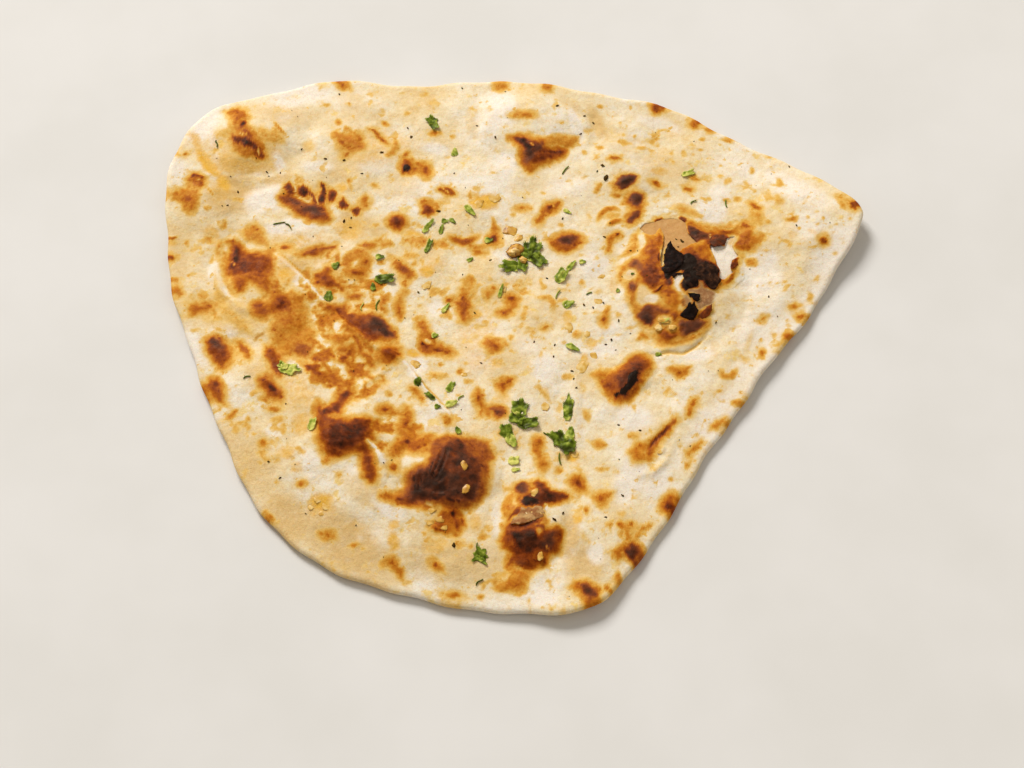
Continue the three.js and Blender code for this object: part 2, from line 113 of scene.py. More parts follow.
SPOTS_TOP = [
    (4.6, 102.6, 2.6, 1, 0, .52), (-4, 117.6, 2.4, 2, 0, .42), (-4, 118.2, .5, .5, 0, .8),
    (-43.8, 82, 1.6, 2, 0, .46), (-35.8, 73.8, 2, 3, 0, .56), (-24.9, 91, 1.3, 1.6, 0, .2),
    (3.2, 54.8, 1.4, .8, 0, .5), (0, 51.6, 1.3, 1.3, 0, .26), (15.2, 55.4, 2.2, 1.7, 30, .82),
    (42, 61.6, 2.2, 1.8, 0, .4), (42.4, 41.8, 1, 1.1, -20, .98, 0, .8), (-7.6, 40, 1.9, 2.4, 0, .76, .2),
    (-44, 103, 1.8, 1.2, 0, .25), (36.6, 106.4, 1.6, 1.2, -30, .28), (45, 81.6, 1.6, 1, 0, .2),
    (36.3, 85.6, 1.2, 1.2, 0, .28), (29.4, 83, 1.3, 1.5, 0, .22), (40, 51.4, 4, 2, 15, .24),
    (20, 98.6, 3, 1.2, -10, .12), (-17.6, 50.8, 1, 2, 0, .14), (6, 62.5, 1, 1, 0, .16),
    (12, 62.6, 1.2, 1, 0, .18), (19, 46.6, 1.2, 1.1, 0, .2),
]
SPOTS_RIGHT = [
    (102.6, 48.6, 1.6, 1.4, 0, .3), (91, 59.6, 1.8, 1.6, 0, .28), (107.4, 59, 2.2, 3.2, 0, .26),
    (109, 67.6, 1.4, 2.8, 25, .26), (97.4, 73.6, 1, 1.8, 0, .3), (111.6, 49.8, 2.2, 1.2, 0, .28),
    (124.4, 39.6, 1.9, 2.5, 0, .62), (120, 36.6, 1.6, .9, 0, .26), (109, 38.6, 2.2, .9, -25, .3),
    (133.4, 60.5, 1.4, .6, -25, .5), (94.6, 29.2, 2.8, 2.1, 0, .36), (130.4, 28.4, 1.6, 1.3, 0, .3),
    (128.4, 33, 1.2, 1, 0, .24), (107.6, 19.8, 1, 1, 0, .26), (104.6, 19, 1, .7, 0, .18),
    (96.7, -13, 1.3, 1.9, 0, .4), (96.6, -7.6, 1, .8, 0, .2), (64.4, -21.8, 1.3, 1.2, 0, .66),
    (78.8, -30, 1.6, 1, 0, .26), (85, 76.3, 1, 1, 0, .26), (59.6, 86.7, 1, 1, 0, .26),
    (57.4, 88.6, 1.7, 1.4, 0, .26), (53.4, 85, 2.3, .9, 0, .26), (57, 83.6, 1.2, .8, 0, .2),
    (77.2, 84.2, 1.3, 1, 0, .28), (78, 89.8, 1.1, 1, 0, .28), (88.6, 88.6, 2.4, 1.2, -30, .26),
    (65.3, 78, 1.2, 1.3, 0, .26), (70.3, 82.2, 1.2, 2, 0, .22), (84.6, 71, 1.2, .8, 0, .3),
    (87.6, 68.4, 1.2, 2.4, -30, .24), (50.6, 91.4, .8, 1, 0, .3), (49, 105.6, .8, 1.4, 0, .22),
    (114.8, 45.2, .9, .9, 0, .28), (118.6, 50.6, .9, .9, 0, .2), (124.8, 50.5, .8, .9, 0, .24),
    (122.6, 47.6, 1, .9, 0, .2), (110.8, 37, 1, 1.4, 0, .24), (100.6, 35, 2.2, .9, 0, .2),
    (98, 63.6, 1.1, 1, 0, .22), (62.6, 61, 1.6, 1.1, 0, .18), (68, 56, 1.8, 1.5, 0, .22),
    (46, -49.4, 3, 2, 0, .24), (120.6, 21.5, 2, 1, 40, .18), (130, 47, 1, 1, 0, .14),
    (135.4, 50, 1, 1, 0, .2), (103, 42.6, 1.6, .7, 0, .2), (91.6, 52, 1.2, 1, 0, .2),
    (105, 80.6, 1.2, .7, -30, .2), (93, 77, 1.2, .7, 40, .18), (117.6, 57.6, 1, .8, 0, .16),
    (120, 61, .8, .9, 0, .16),
]
SPOTS_LEFT = [
    (-90.5, 9.8, 2.2, 2.4, 30, .68), (-86, -1, 7, 7, 0, .42), (-48.5, -13.5, 3, 3, 0, .62),
    (-64, -31.4, 2.8, 2.2, 30, .82, .2), (-112.2, -14, 1.8, 3.6, 20, .76), (-114, -27, 1.8, 2.6, 25, .74),
    (-92.6, -28.8, 1.7, 4.4, 40, .84, 0, .1), (-91, -37.8, 2.4, 1.3, 0, .44), (-89, -42, 3, 1.6, 20, .24),
    (-131, 1.6, 2.2, 2.4, 0, .36), (-136.4, 31, 1.9, 1.7, 0, .64), (-79, 34.6, 2.4, 1, 10, .74),
    (-77, 19.6, 1.6, 1.6, 0, .7), (-63, 23.8, 2.6, 1.1, 0, .74), (-58.6, 29, 1.2, 1.6, 0, .7),
    (-108, 8.6, 3, 1.6, -20, .12), (-124, -2.6, 2.2, 1, 0, .2), (-114.6, -2.4, 2.8, .8, -35, .26),
    (-97.8, 36.6, 1.4, 1, 0, .3), (-66, -11, 4, 3, 0, .34), (-72, 12.5, 2, 1.4, 0, .3),
    (-86, 33, 2.4, 1.6, 0, .3), (-120, 30, 1.3, 2.4, 0, .22), (-130.5, 38, 1, 2, 30, .3),
    (-106, 27.6, 6, 3.4, -8, .7), (-104, 32.6, 4, 1.2, 0, .62), (-100, 26, 3, 3, 0, .6),
]
SPOTS_MIDDLE = [
    (-41, 32, 3, 2, 0, .3), (-44.6, 7, 1.2, 2.8, 0, .56), (-42.7, 15.3, 2, 1.8, 0, .34),
    (-25.2, 11, 1.8, 1.7, 0, .54), (-7.6, 16.4, 1.2, 1.1, 0, .5), (-9.8, 12.4, 1.3, 2, 0, .42),
    (-0.6, 11.6, 2, 2.2, 0, .74), (-3.8, 5.4, 1.8, 1, 10, .56), (-.8, -6, 1.4, 1.2, 0, .28),
    (1.2, -3, 1, 1, 0, .2), (25, -4.6, 2.1, 2, 0, .32), (27, 19.4, 1.2, 1.4, 0, .28),
    (35.4, 2, 1.3, 1.7, 0, .58), (34, 15, 2.4, 2, 0, .12), (-.8, -24.8, 1.2, 1, 0, .62),
    (-20.4, -21.4, 1.5, 1.4, 0, .4), (-47.6, -31, 1.6, 1.8, 0, .32), (-29, -12.2, 3.6, 1.1, -18, .7),
    (-33.4, -10, 1.4, 1.1, 0, .74), (-32.4, -6.2, .8, .7, 0, .9), (-31.4, -9.6, .8, .6, 0, .9),
    (-35.1, -8.8, .5, 1.5, 15, .95, 0, .6), (-13.4, -33.5, 1.2, 2.2, 10, .64),
    (-7, -9.6, 2.2, 1.8, 0, .62), (-49, -38, 1.8, 1.2, 0, .74), (-40.6, -43.6, 1.6, 3.6, 10, .54),
    (-27.8, -18.4, 1.4, 1, 0, .24), (-14.6, -6, 2.4, 1.5, 0, .13), (12.6, -1.6, 1.2, .9, 0, .46),
    (-3.6, -27, 1.8, 1.6, 0, .66), (-6, -39, 2.2, 1.6, 0, .82, .5), (9.4, 2.6, 1.4, 2, 0, .12),
    (-18.4, -17.6, 1.1, 1.2, 0, .26), (-36.5, 8.6, 1.2, 1.2, 0, .16), (20, 16, 2.4, 1.6, 0, .14),
    (-4, -48.4, 2.4, 2, 0, .2),
]
SPOTS_LOWER = [
    (-45, -63, 1.9, 1.8, 0, .56), (-39.8, -52.3, 2, 2.2, 0, .8, .1), (-35.6, -54.6, 1.4, 1.2, 0, .7),
    (-44.4, -55.6, 1.6, 1.2, 0, .6), (-34, -51, 1.6, 1.1, 0, .62),
    (-22.3, -82.7, 1.3, 2.8, 15, .9, 0, .3), (-58.4, -95.3, 2.4, 1.3, 0, .42),
    (-94.4, -53, 1.9, 2.1, 0, .48), (-79, -70, 2.2, 1.7, 0, .42), (-90, -83, 2.4, 1.4, -45, .38),
    (-105, -47, 1.8, 2.8, 0, .2), (33, -53.4, 2.6, 2.4, 0, .32), (33, -63.6, 2.2, 1.1, 0, .3),
    (27.2, -81, 1.3, 1.5, 0, .44), (59, -68.4, 1.1, 1, 0, .28), (48.6, -53.6, 1.5, 1.2, 0, .6),
    (43.4, -87, .8, .8, 0, .72), (35.4, -86.6, 2, 1.4, 40, .26), (37.6, -108, 1.8, 2.8, 0, .38),
    (34, -112.6, 2, 1.4, 0, .44), (-22, -115.4, 3, 1.3, -10, .5), (-12, -115.8, 1.8, 1.4, 0, .28),
    (5.6, -118, 1, 2, 0, .16), (9.6, -52.4, 1.4, 1.8, 0, .52), (11, -61.6, 1.2, 1.6, 0, .56),
    (24.4, -70.2, 2, 1.6, -40, .7), (33, -76, 1.6, 2.2, 0, .54), (58, -78.6, 2.6, 2.2, 40, .66),
    (-68.4, -91, 1.6, 1, 0, .56), (-44.6, -102, 1.4, 1.4, 0, .56), (-28.8, -103, 1.2, 1.6, 30, .54),
    (-42, -76.6, 2.4, 1, -10, .76), (26, -92, 1.6, 3, 0, .12), (-65, -66, 2, 2, 0, .16),
    (60, -72.8, 1.4, 1, 0, .18), (69.4, -49.6, 1, .7, 0, .3), (40, -82.6, 2.6, 1.6, 0, .2),
]

# Marks of any shape: toast, softness of their edge, purple, char, then their outline
PATCHES_UPPER_LEFT = [
    (.5, 1, 0, 0,
     "-121,104 -118,104.4 -115.4,106.4 -112,105.8 -110.6,103 -109,101 -112,100 -113.4,97.6 -115,95 "
     "-116.8,96 -117,99 -118.6,101.6"),
    (.44, 1.2, 0, 0,
     "-118,93 -114,94.6 -110,95.6 -106,95 -104,91 -102,87 -100.8,80 -105,78.6 -110,80 -113,80.6 "
     "-116,84"),
    (.7, .8, 0, 0, "-111.6,95.4 -108.6,94.8 -106.8,92 -107.6,89 -111,90.6 -112.6,93"),
    (.97, .8, .1, .6,
     "-116.2,92 -114.4,91 -113,91.4 -110.6,91.6 -109,90.2 -107,88.2 -105,86.4 -104,85 -106.4,84.4 "
     "-108.8,84.8 -111,85.4 -113,87 -115.6,88.6"),
    (.78, .7, .1, 0, "-106,86 -104,85.8 -102.8,83 -101.4,81 -102.6,79.2 -105,79.6 -107.4,82.6"),
    (.24, 2, 0, 0, "-107,95 -104,97.4 -101,95 -98,98 -96,95 -94,91 -94,87 -99,86.6 -104,88"),
    (.58, .8, 0, 0,
     "-132.8,69.6 -131.2,72.4 -128,72.6 -125.6,70.4 -125.2,66.4 -127.4,65.2 -129,66.6 -131.6,66.8"),
    (.42, 1.2, 0, 0,
     "-139.4,62 -136,64.8 -132,66 -128,65 -126.6,60 -126.4,57 -128.6,53.6 -130.8,52.6 -132.4,56 "
     "-135,57.4 -138,59.4"),
    (.64, 1.1, .1, 0,
     "-95.4,60.6 -94,62.6 -91.6,61.6 -89,60 -86,58.8 -83,58 -80.6,58.4 -78.6,56.4 -76.6,54.8 -74.4,53 "
     "-72.8,50 -73.4,47.6 -76,47.2 -79,48.4 -83,50.2 -87,51.6 -90,54 -93.6,57"),
    (.86, .8, .75, 0,
     "-92,60.6 -88,59.4 -84,57.2 -80,57 -77.4,54.6 -75.4,52 -77,50.6 -81,51.8 -85,53.4 -88.8,56.4 "
     "-91.6,59"),
    (.94, .5, 0, .6, "-93,61.2 -90,60.8 -86.6,58 -84.6,54.8 -87.6,56.4 -91,59.4"),
    (.92, .5, .2, .5, "-92.8,66.6 -90.6,67.6 -88.8,65.2 -88.6,61.4 -90.8,61.4 -92.4,64"),
    (.92, .5, .1, .5, "-87.8,65.8 -85.6,66.8 -83.2,64.8 -83.4,61 -85,60 -87.4,61.8"),
    (.94, .4, .2, .6, "-82.6,63.2 -80.8,62.2 -79.6,59 -77.4,56 -76,53.6 -78,53 -80.2,56 -81.8,59.4"),
    (.95, .4, .3, .55,
     "-78.8,67.6 -76.6,67.4 -75.8,63.6 -75.8,60 -76.4,57.4 -78.8,58.2 -79.2,61 -78.2,64"),
    (.9, .5, 0, .2, "-75.4,64 -73,64.2 -71.4,62.6 -71.8,59.2 -74.6,58 -75.6,60.6"),
    (.9, .4, 0, .2, "-70.2,58 -68.6,60 -66.8,57 -65.8,55 -68,55 -70,56"),
    (.94, .4, .3, .5, "-64.8,53.6 -62.8,56.4 -61.6,54.6 -62.2,51.4 -64.2,51.4"),
    (.52, .8, 0, 0, "-62,60 -60,62 -57.8,60 -57.2,57 -58.6,54.6 -60.8,56"),
    (.68, 1, 0, 0, "-51,49 -49,52 -45.6,52 -43.4,50 -43.2,46 -45,43.8 -48,44.4 -50.6,46.6"),
    (.3, .8, 0, 0, "-68,70.8 -66,70 -65,66 -64.6,63.2 -66.6,65 -67.8,68"),
    (.38, 1, 0, 0,
     "-75.8,93 -74,95.2 -70.6,93.6 -67.6,93.2 -65,94.2 -62.4,92 -60.8,88 -60.4,84.4 -63,82.8 -66,83 "
     "-68,81 -70,79.6 -69.6,83 -67.4,85 -70,86.6 -73,87.6 -75.2,90.6"),
    (.7, .8, 0, 0, "-59.6,95.2 -57,94.8 -55,92.6 -53,90.4 -51.8,87.4 -54,88.4 -57,91"),
    (.36, 1, 0, 0, "-49.4,90.4 -47,90.2 -46.4,86 -48,82 -50.8,80.4 -53,82 -51,85 -50.2,88"),
    (.56, .8, 0, 0, "-76.4,120.6 -73.6,121.6 -71,120.6 -69.2,118 -68,115.6 -71.6,116.4 -74,118.8"),
    (.34, 1.8, 0, 0,
     "-110.4,43.6 -107,46.8 -104,49.4 -101,46.8 -99.4,43 -97.8,39 -97,36 -101,36.4 -104,37.4 "
     "-108,39.4"),
    (.52, 1, 0, 0,
     "-114,39.8 -111.6,40.4 -109.4,37.4 -107.4,33 -110,30 -111.6,35 -113,37.4 -115.6,38 -117,35 "
     "-117.2,30 -118.6,34 -117.6,38.4"),
    (.5, 1, 0, 0, "-62,37 -59.4,39 -55,39 -53.4,36.8 -56,34.6 -60,35.4"),
]
PATCHES_TOP = [
    (.34, 1.4, 0, 0,
     "-2.6,90.2 0,91.2 4,91.6 6.5,94 9,92 13,91.8 18,93 23,92.4 27.4,91.4 27.4,87 25,84.6 22,84 18,86 "
     "12,84 6,86"),
    (.46, 1.2, 0, 0, "2.2,84 3,78 4.2,74.6 5.6,72.2 8.2,72 11,75 15,76.4 18,78.6 21.4,81 22,84.4 12,86"),
    (.68, .9, .1, 0,
     "-2,90 2,91 5,91.2 8,90 11,89 12.6,86 10.4,84.6 14,84.8 18,85 21.8,84.4 20.8,81 17,79.2 13,77.4 "
     "9,76.4 5.6,76.2 3.4,79 3,83 2.6,86 0.4,88.4"),
    (.78, 1, .9, 0, "4,84.4 8,86 11.8,88.4 13,85.8 10.4,83 9,80 6.6,76.8 4.6,79 3.6,82"),
    (.92, .6, .1, .5,
     "-1.6,90.6 1.6,91 4.8,91.4 6.8,89.8 8.6,88.2 10.2,86 9.2,84 7,82 5,82.4 4,84.6 3,86.8 1.4,88.4"),
    (.93, .6, 0, .5, "9.6,84.4 13,84.2 17,84.8 21.4,84.6 20.8,82.2 17,81.6 13,81.8 10,82.2"),
    (.42, .8, 0, 0, "-1.6,102 1,103.8 5,104.6 8.4,103.6 8.2,100.8 4,100.2 0,100.6"),
    (.32, 1.5, 0, 0, "-9.2,117 -8,120.4 -5,121.6 -2,120.4 -.8,117.6 -3,114.8 -6,113.4 -8.6,114.8"),
    (.52, .6, 0, 0, "12,114.8 12.4,118.4 15.6,118.8 17,117 15.6,114.6 13.2,114.4"),
    (.72, .9, 0, 0, "-46.4,77 -45.2,80 -42,79.8 -40.4,77 -40.4,73 -42,71.4 -44.8,72.2 -46.4,75"),
    (.98, .5, .1, .9, "-44.8,76.6 -43,77.4 -41.2,76 -41,74 -42.2,72.2 -44.2,72.8 -45,74.6"),
    (.42, 1, 0, 0, "-41,78.4 -38,78.4 -34,76.4 -32.4,73 -34,70.2 -36.6,70.2 -38.8,72 -39.8,75"),
    (.7, .5, 0, 0, "-30.6,64.4 -28.6,66.4 -26.2,65.8 -24.2,63.4 -23.4,61.4 -25.6,60.8 -28.2,62.4"),
    (.76, .6, 0, 0, "-37.2,56 -36,58 -33.4,56.8 -31.8,55 -31.8,52.4 -34.4,51 -36.6,52.6"),
    (.6, .4, 0, 0, "-38.4,58.6 -36,59.6 -33.6,59 -35,57.8 -37.6,57.8"),
    (.48, .5, 0, 0, "-32.8,58.4 -30.4,58.2 -29.4,56 -30.4,54.4 -32,56.2"),
    (.4, .8, 0, 0, "-35.4,93 -33,94.6 -30,94.2 -29.2,92.4 -31.6,91.2 -34.8,91.4"),
    (.4, .5, 0, 0, "-19,61.6 -17.2,63.6 -15.8,61.6 -17.4,60.2"),
    (.4, .6, 0, 0, "0.6,55 3,56.2 6.6,55.6 7.8,54.4 4,53.4 1.8,53.6"),
    (.66, .6, 0, 0, "12,55.4 14,57.2 16.4,57.6 18,59.4 19,58 18.4,55.4 16.6,52.8 14.6,52 12.8,53.6"),
    (.6, .6, 0, 0, "8.2,48.6 9.6,50.6 11.6,52.2 12.8,50.6 11.8,48 10,46.4 8.6,47"),
    (.58, .9, 0, 0,
     "14.4,38.6 17,41.6 20,43.2 24,43.2 27.2,41.6 28.8,39.4 26,35.8 22,33.4 18,34 15.2,36"),
    (.88, .8, .5, 0, "17,40 20,42.4 24,42.6 26.8,41.4 25.8,38.6 23,36.6 19,36.8"),
    (.52, .6, 0, 0, "38.4,79.4 40,81 43,81 44.6,79.8 42.6,78.4 40,78.2"),
    (.42, 1, 0, 0, "40,67 41,63.4 46,62 50,64 53,62 54,58 52,54 48,54 45,58 46,61 42,65"),
    (.92, .6, .8, 0, "41.2,66.6 42.4,70 45,72 48,72.2 50.8,71 50.2,68 47.6,65.4 44,64.6"),
    (.38, .6, 0, 0, "32.4,63 33.6,66.2 35.8,68.2 36.6,66.4 35.2,64 33.6,62.2"),
    (.9, .7, .75, 0, "46.4,58.8 48,62.2 50.6,63.2 53,61.6 53,57.4 50.6,55.6 47.8,56.2"),
    (.4, .8, 0, 0, "44,48 45,52 48,55 52,55.6 53,52 50.6,48.4 47,46.4"),
    (.88, .6, .5, 0, "45.2,48.2 46.6,51 49,53.8 51,54.6 51.6,52 49.6,49 47,47.2"),
    (.44, .8, 0, 0, "37.2,41.8 41,42.8 42.8,41 40.8,38.6 39.6,35 38.4,32.4 36.8,33 37,37"),
    (.36, .9, 0, 0, "-20,37.6 -14,37.8 -9,38.4 -7.6,36 -12,34.6 -17,35.4"),
    (.52, .8, 0, 0, "-17.2,35.4 -13,35.8 -10.4,33.4 -12.6,32 -15.4,32.8"),
    (.42, .8, 0, 0,
     "-8.6,50.4 -6.8,48.4 -5.2,45 -4.8,41 -5.2,38 -7.4,36.8 -10,37.8 -10.6,41 -9.2,43 -8.6,46"),
]
PATCHES_LEFT = [
    (.3, 1.2, 0, 0, "-117.4,36 -113,33 -112.4,26 -110.6,18 -107,13 -110,12.6 -113.4,16 -116,24"),
    (.64, 1.2, 0, 0,
     "-114,30 -112,36 -110,37.4 -108,34 -104,33.4 -100,33 -96.6,34.6 -95.6,30 -95.2,27 -96.6,25 "
     "-101,24 -104,22.5 -108,21 -111,21.5 -113.5,24.5 -115,27"),
    (.54, 1.8, 0, 0,
     "-112,25 -104,26.4 -97,26.4 -95,20 -95.4,14 -98,12.6 -100.6,17 -103.6,19 -105.6,15 -109,13.4 "
     "-111,17"),
    (.56, 1.2, 0, 0,
     "-103,9.6 -99,10 -96,8.6 -93,11.6 -90,12.6 -88.6,9 -91,6.4 -95,5 -98,3 -102,3.6 -103.6,6.6"),
    (.78, .9, 0, 0, "-94.6,7 -92,11 -90,12 -88.8,9 -91,7 -93.6,6.2"),
    (.5, 1.4, 0, 0, "-124.6,9 -120,10 -116.6,9.6 -117.6,7 -120,5.6 -124,5"),
    (.92, .6, .1, .3,
     "-111.8,38 -109.4,37 -107.8,32 -108.2,29 -110,26 -112.6,24 -113.6,27 -113,30 -111.8,34"),
    (.36, 2.4, 0, 0,
     "-97,24 -94,20 -90,16 -86,16.6 -83,14 -80,9 -79,2 -76,-4 -77,-9 -79,-13 -84,-15 -90,-16 -94,-10 "
     "-96,-3 -95,2 -100,1 -103,6 -102,10 -98,12 -96,17"),
    (.55, 1.2, 0, 0, "-93,13.4 -88.4,13 -87.8,9 -91,6.4 -94.5,6.6 -97,2.6 -100.4,3.4 -101.6,8 -97,9.8"),
    (.62, 1.1, 0, 0,
     "-96.2,-10 -92,-10 -89.4,-13 -88.8,-17 -87.8,-21 -89,-24.4 -92.2,-23 -94,-19 -96,-15"),
    (.54, 1.4, .25, 0, "-85,-9 -80,-8.4 -76.8,-10 -77.3,-14 -80,-16 -84,-15.2 -86.4,-12"),
    (.62, .9, 0, 0,
     "-84.8,33 -81,35.2 -77,36.7 -73,37.2 -70,37.8 -70.8,35 -76,33.8 -77,31.4 -81,31.2 -84.8,31.4"),
    (.62, .9, 0, 0,
     "-79.4,24 -76,25.2 -74,27.2 -72,27.2 -71.3,23.6 -69,20.2 -66,18.2 -65.4,15.4 -68,14.8 -70,16.8 "
     "-73,16.3 -76,17.8 -78.8,21"),
    (.6, .8, 0, 0, "-66.4,25.5 -62,26.7 -58.3,25 -58.8,22.4 -62,21.6 -65.2,23.2"),
    (.58, .8, 0, 0, "-61.2,30.5 -58.6,32.2 -56.8,30 -57.2,27.3 -60,27.8"),
    (.5, .9, 0, 0, "-66,13 -63,14.7 -59.3,13.8 -59.8,10.8 -62.5,10.2 -65,10.8"),
    (.66, 1, .1, 0,
     "-74.7,8.5 -71.5,9.2 -69,8.4 -66.5,8.7 -64,6.4 -61.5,5.9 -58,4.4 -56,5 -53.4,4.2 -50.4,1 "
     "-47.8,-1.6 -45.6,-4.6 -45.6,-6.8 -50,-7.2 -53,-8.6 -56.8,-8.6 -58.7,-5.8 -60.7,-3.2 -63.8,-2.2 "
     "-66.7,1.8 -70.2,4.8 -73.2,6.3"),
    (.88, .8, .85, 0,
     "-56.8,1.6 -55.2,4.2 -52.2,3.2 -49.4,.2 -46.6,-4 -46.2,-6.2 -49.6,-6.8 -53,-5.2 -55.8,-2.8 "
     "-57.6,-1"),
    (.82, .7, 0, 0, "-70.8,7.6 -68,8.2 -65.4,5.8 -67.5,3.4 -70.2,5.2"),
    (.55, 1, 0, 0,
     "-65.2,-3 -61,-4.4 -57.8,-8 -56.8,-12 -53.8,-15 -53.4,-20.2 -55.8,-20.8 -57.2,-16 -60.2,-13.8 "
     "-61.8,-8.8 -64.2,-6.2"),
    (.6, .9, 0, 0, "-67.8,-14 -64,-13.8 -61.8,-17 -60.8,-20.8 -63.2,-21 -65.2,-18.2 -68.2,-16.8"),
    (.55, 1.2, 0, 0, "-52.2,-12 -48,-8.8 -43.8,-10 -42.8,-14 -45.4,-18.2 -49,-18.6 -52.2,-15.8"),
    (.3, 2, 0, 0, "-74,-8 -72,-5.6 -66,-3.6 -62.6,-8 -66,-12 -70,-10.4"),
    (.74, .8, 0, 0,
     "-80.2,-18.6 -77,-17.2 -74.4,-17.8 -74.4,-21 -71.8,-23.4 -74.6,-24.2 -77.8,-22.2 -80.2,-21"),
    (.68, 1, 0, 0,
     "-75.2,-35 -73.6,-38 -70,-36 -68,-33 -65,-29.4 -62.4,-28.8 -60.8,-30.6 -61.8,-33 -64.4,-36 "
     "-65.8,-40 -70,-41.4 -73,-41.4 -75.6,-39"),
    (.55, .9, 0, 0, "-108.2,-7 -105.6,-7.4 -102.8,-10 -100.8,-14 -101.4,-16.6 -104.2,-15.8 -106.2,-12.6"),
    (.66, 1.1, 0, 0,
     "-119.8,-7.6 -117,-5 -113.4,-5.6 -110.6,-9 -109,-13 -108.8,-16.6 -111,-20.4 -113.6,-19.8 "
     "-116.2,-16.8 -119.2,-12.6"),
    (.8, .9, .75, 0, "-118,-7 -115.6,-5.8 -112.8,-8 -111.8,-11.4 -114,-13.4 -117,-10.8"),
    (.62, 1.1, 0, 0,
     "-118.2,-25.6 -116,-23.6 -113.2,-24.4 -111.2,-28.6 -109.6,-33 -109.4,-36.2 -112,-35.8 "
     "-115.2,-32.8 -117.8,-29.8"),
    (.62, .9, 0, 0,
     "-98.2,-24 -95,-22.8 -92.4,-25.4 -89.8,-28.2 -87.6,-31 -88.2,-34.2 -91.6,-33.8 -95.2,-31.2 "
     "-97.8,-28.2"),
    (.44, .8, 0, 0, "-110.2,-43 -107,-38.4 -104.8,-38.8 -106.2,-41.6 -108,-43.8"),
    (.34, .6, .5, 0, "-101,-7 -99.4,-4 -97,-2.4 -96.4,-4 -98.6,-6 -100,-7.8"),
    (.46, 1.2, 0, 0, "-127.2,9.8 -122,9.2 -116.8,9.6 -117.8,6.8 -122,5.4 -124,3.4 -127.2,3.2 -127.8,6.4"),
    (.5, .7, 0, 0, "-135.6,13 -135,16.6 -133.4,17.6 -131.2,16.6 -129.8,13.6 -131.4,12 -133.4,14"),
    (.4, .6, 0, 0, "-136.4,19.6 -135.4,22.2 -132.6,22 -131.4,18.6 -133,19 -134.4,20"),
    (.16, 4.5, 0, 0, "-128,16 -118,14 -112,6 -108,2 -112,-1 -120,-1 -128,4 -133,10"),
    (.2, 2.4, 0, 0, "-118,27 -116,18 -110,8 -103,2 -98,-8 -106,-4 -114,2 -120,12"),
]
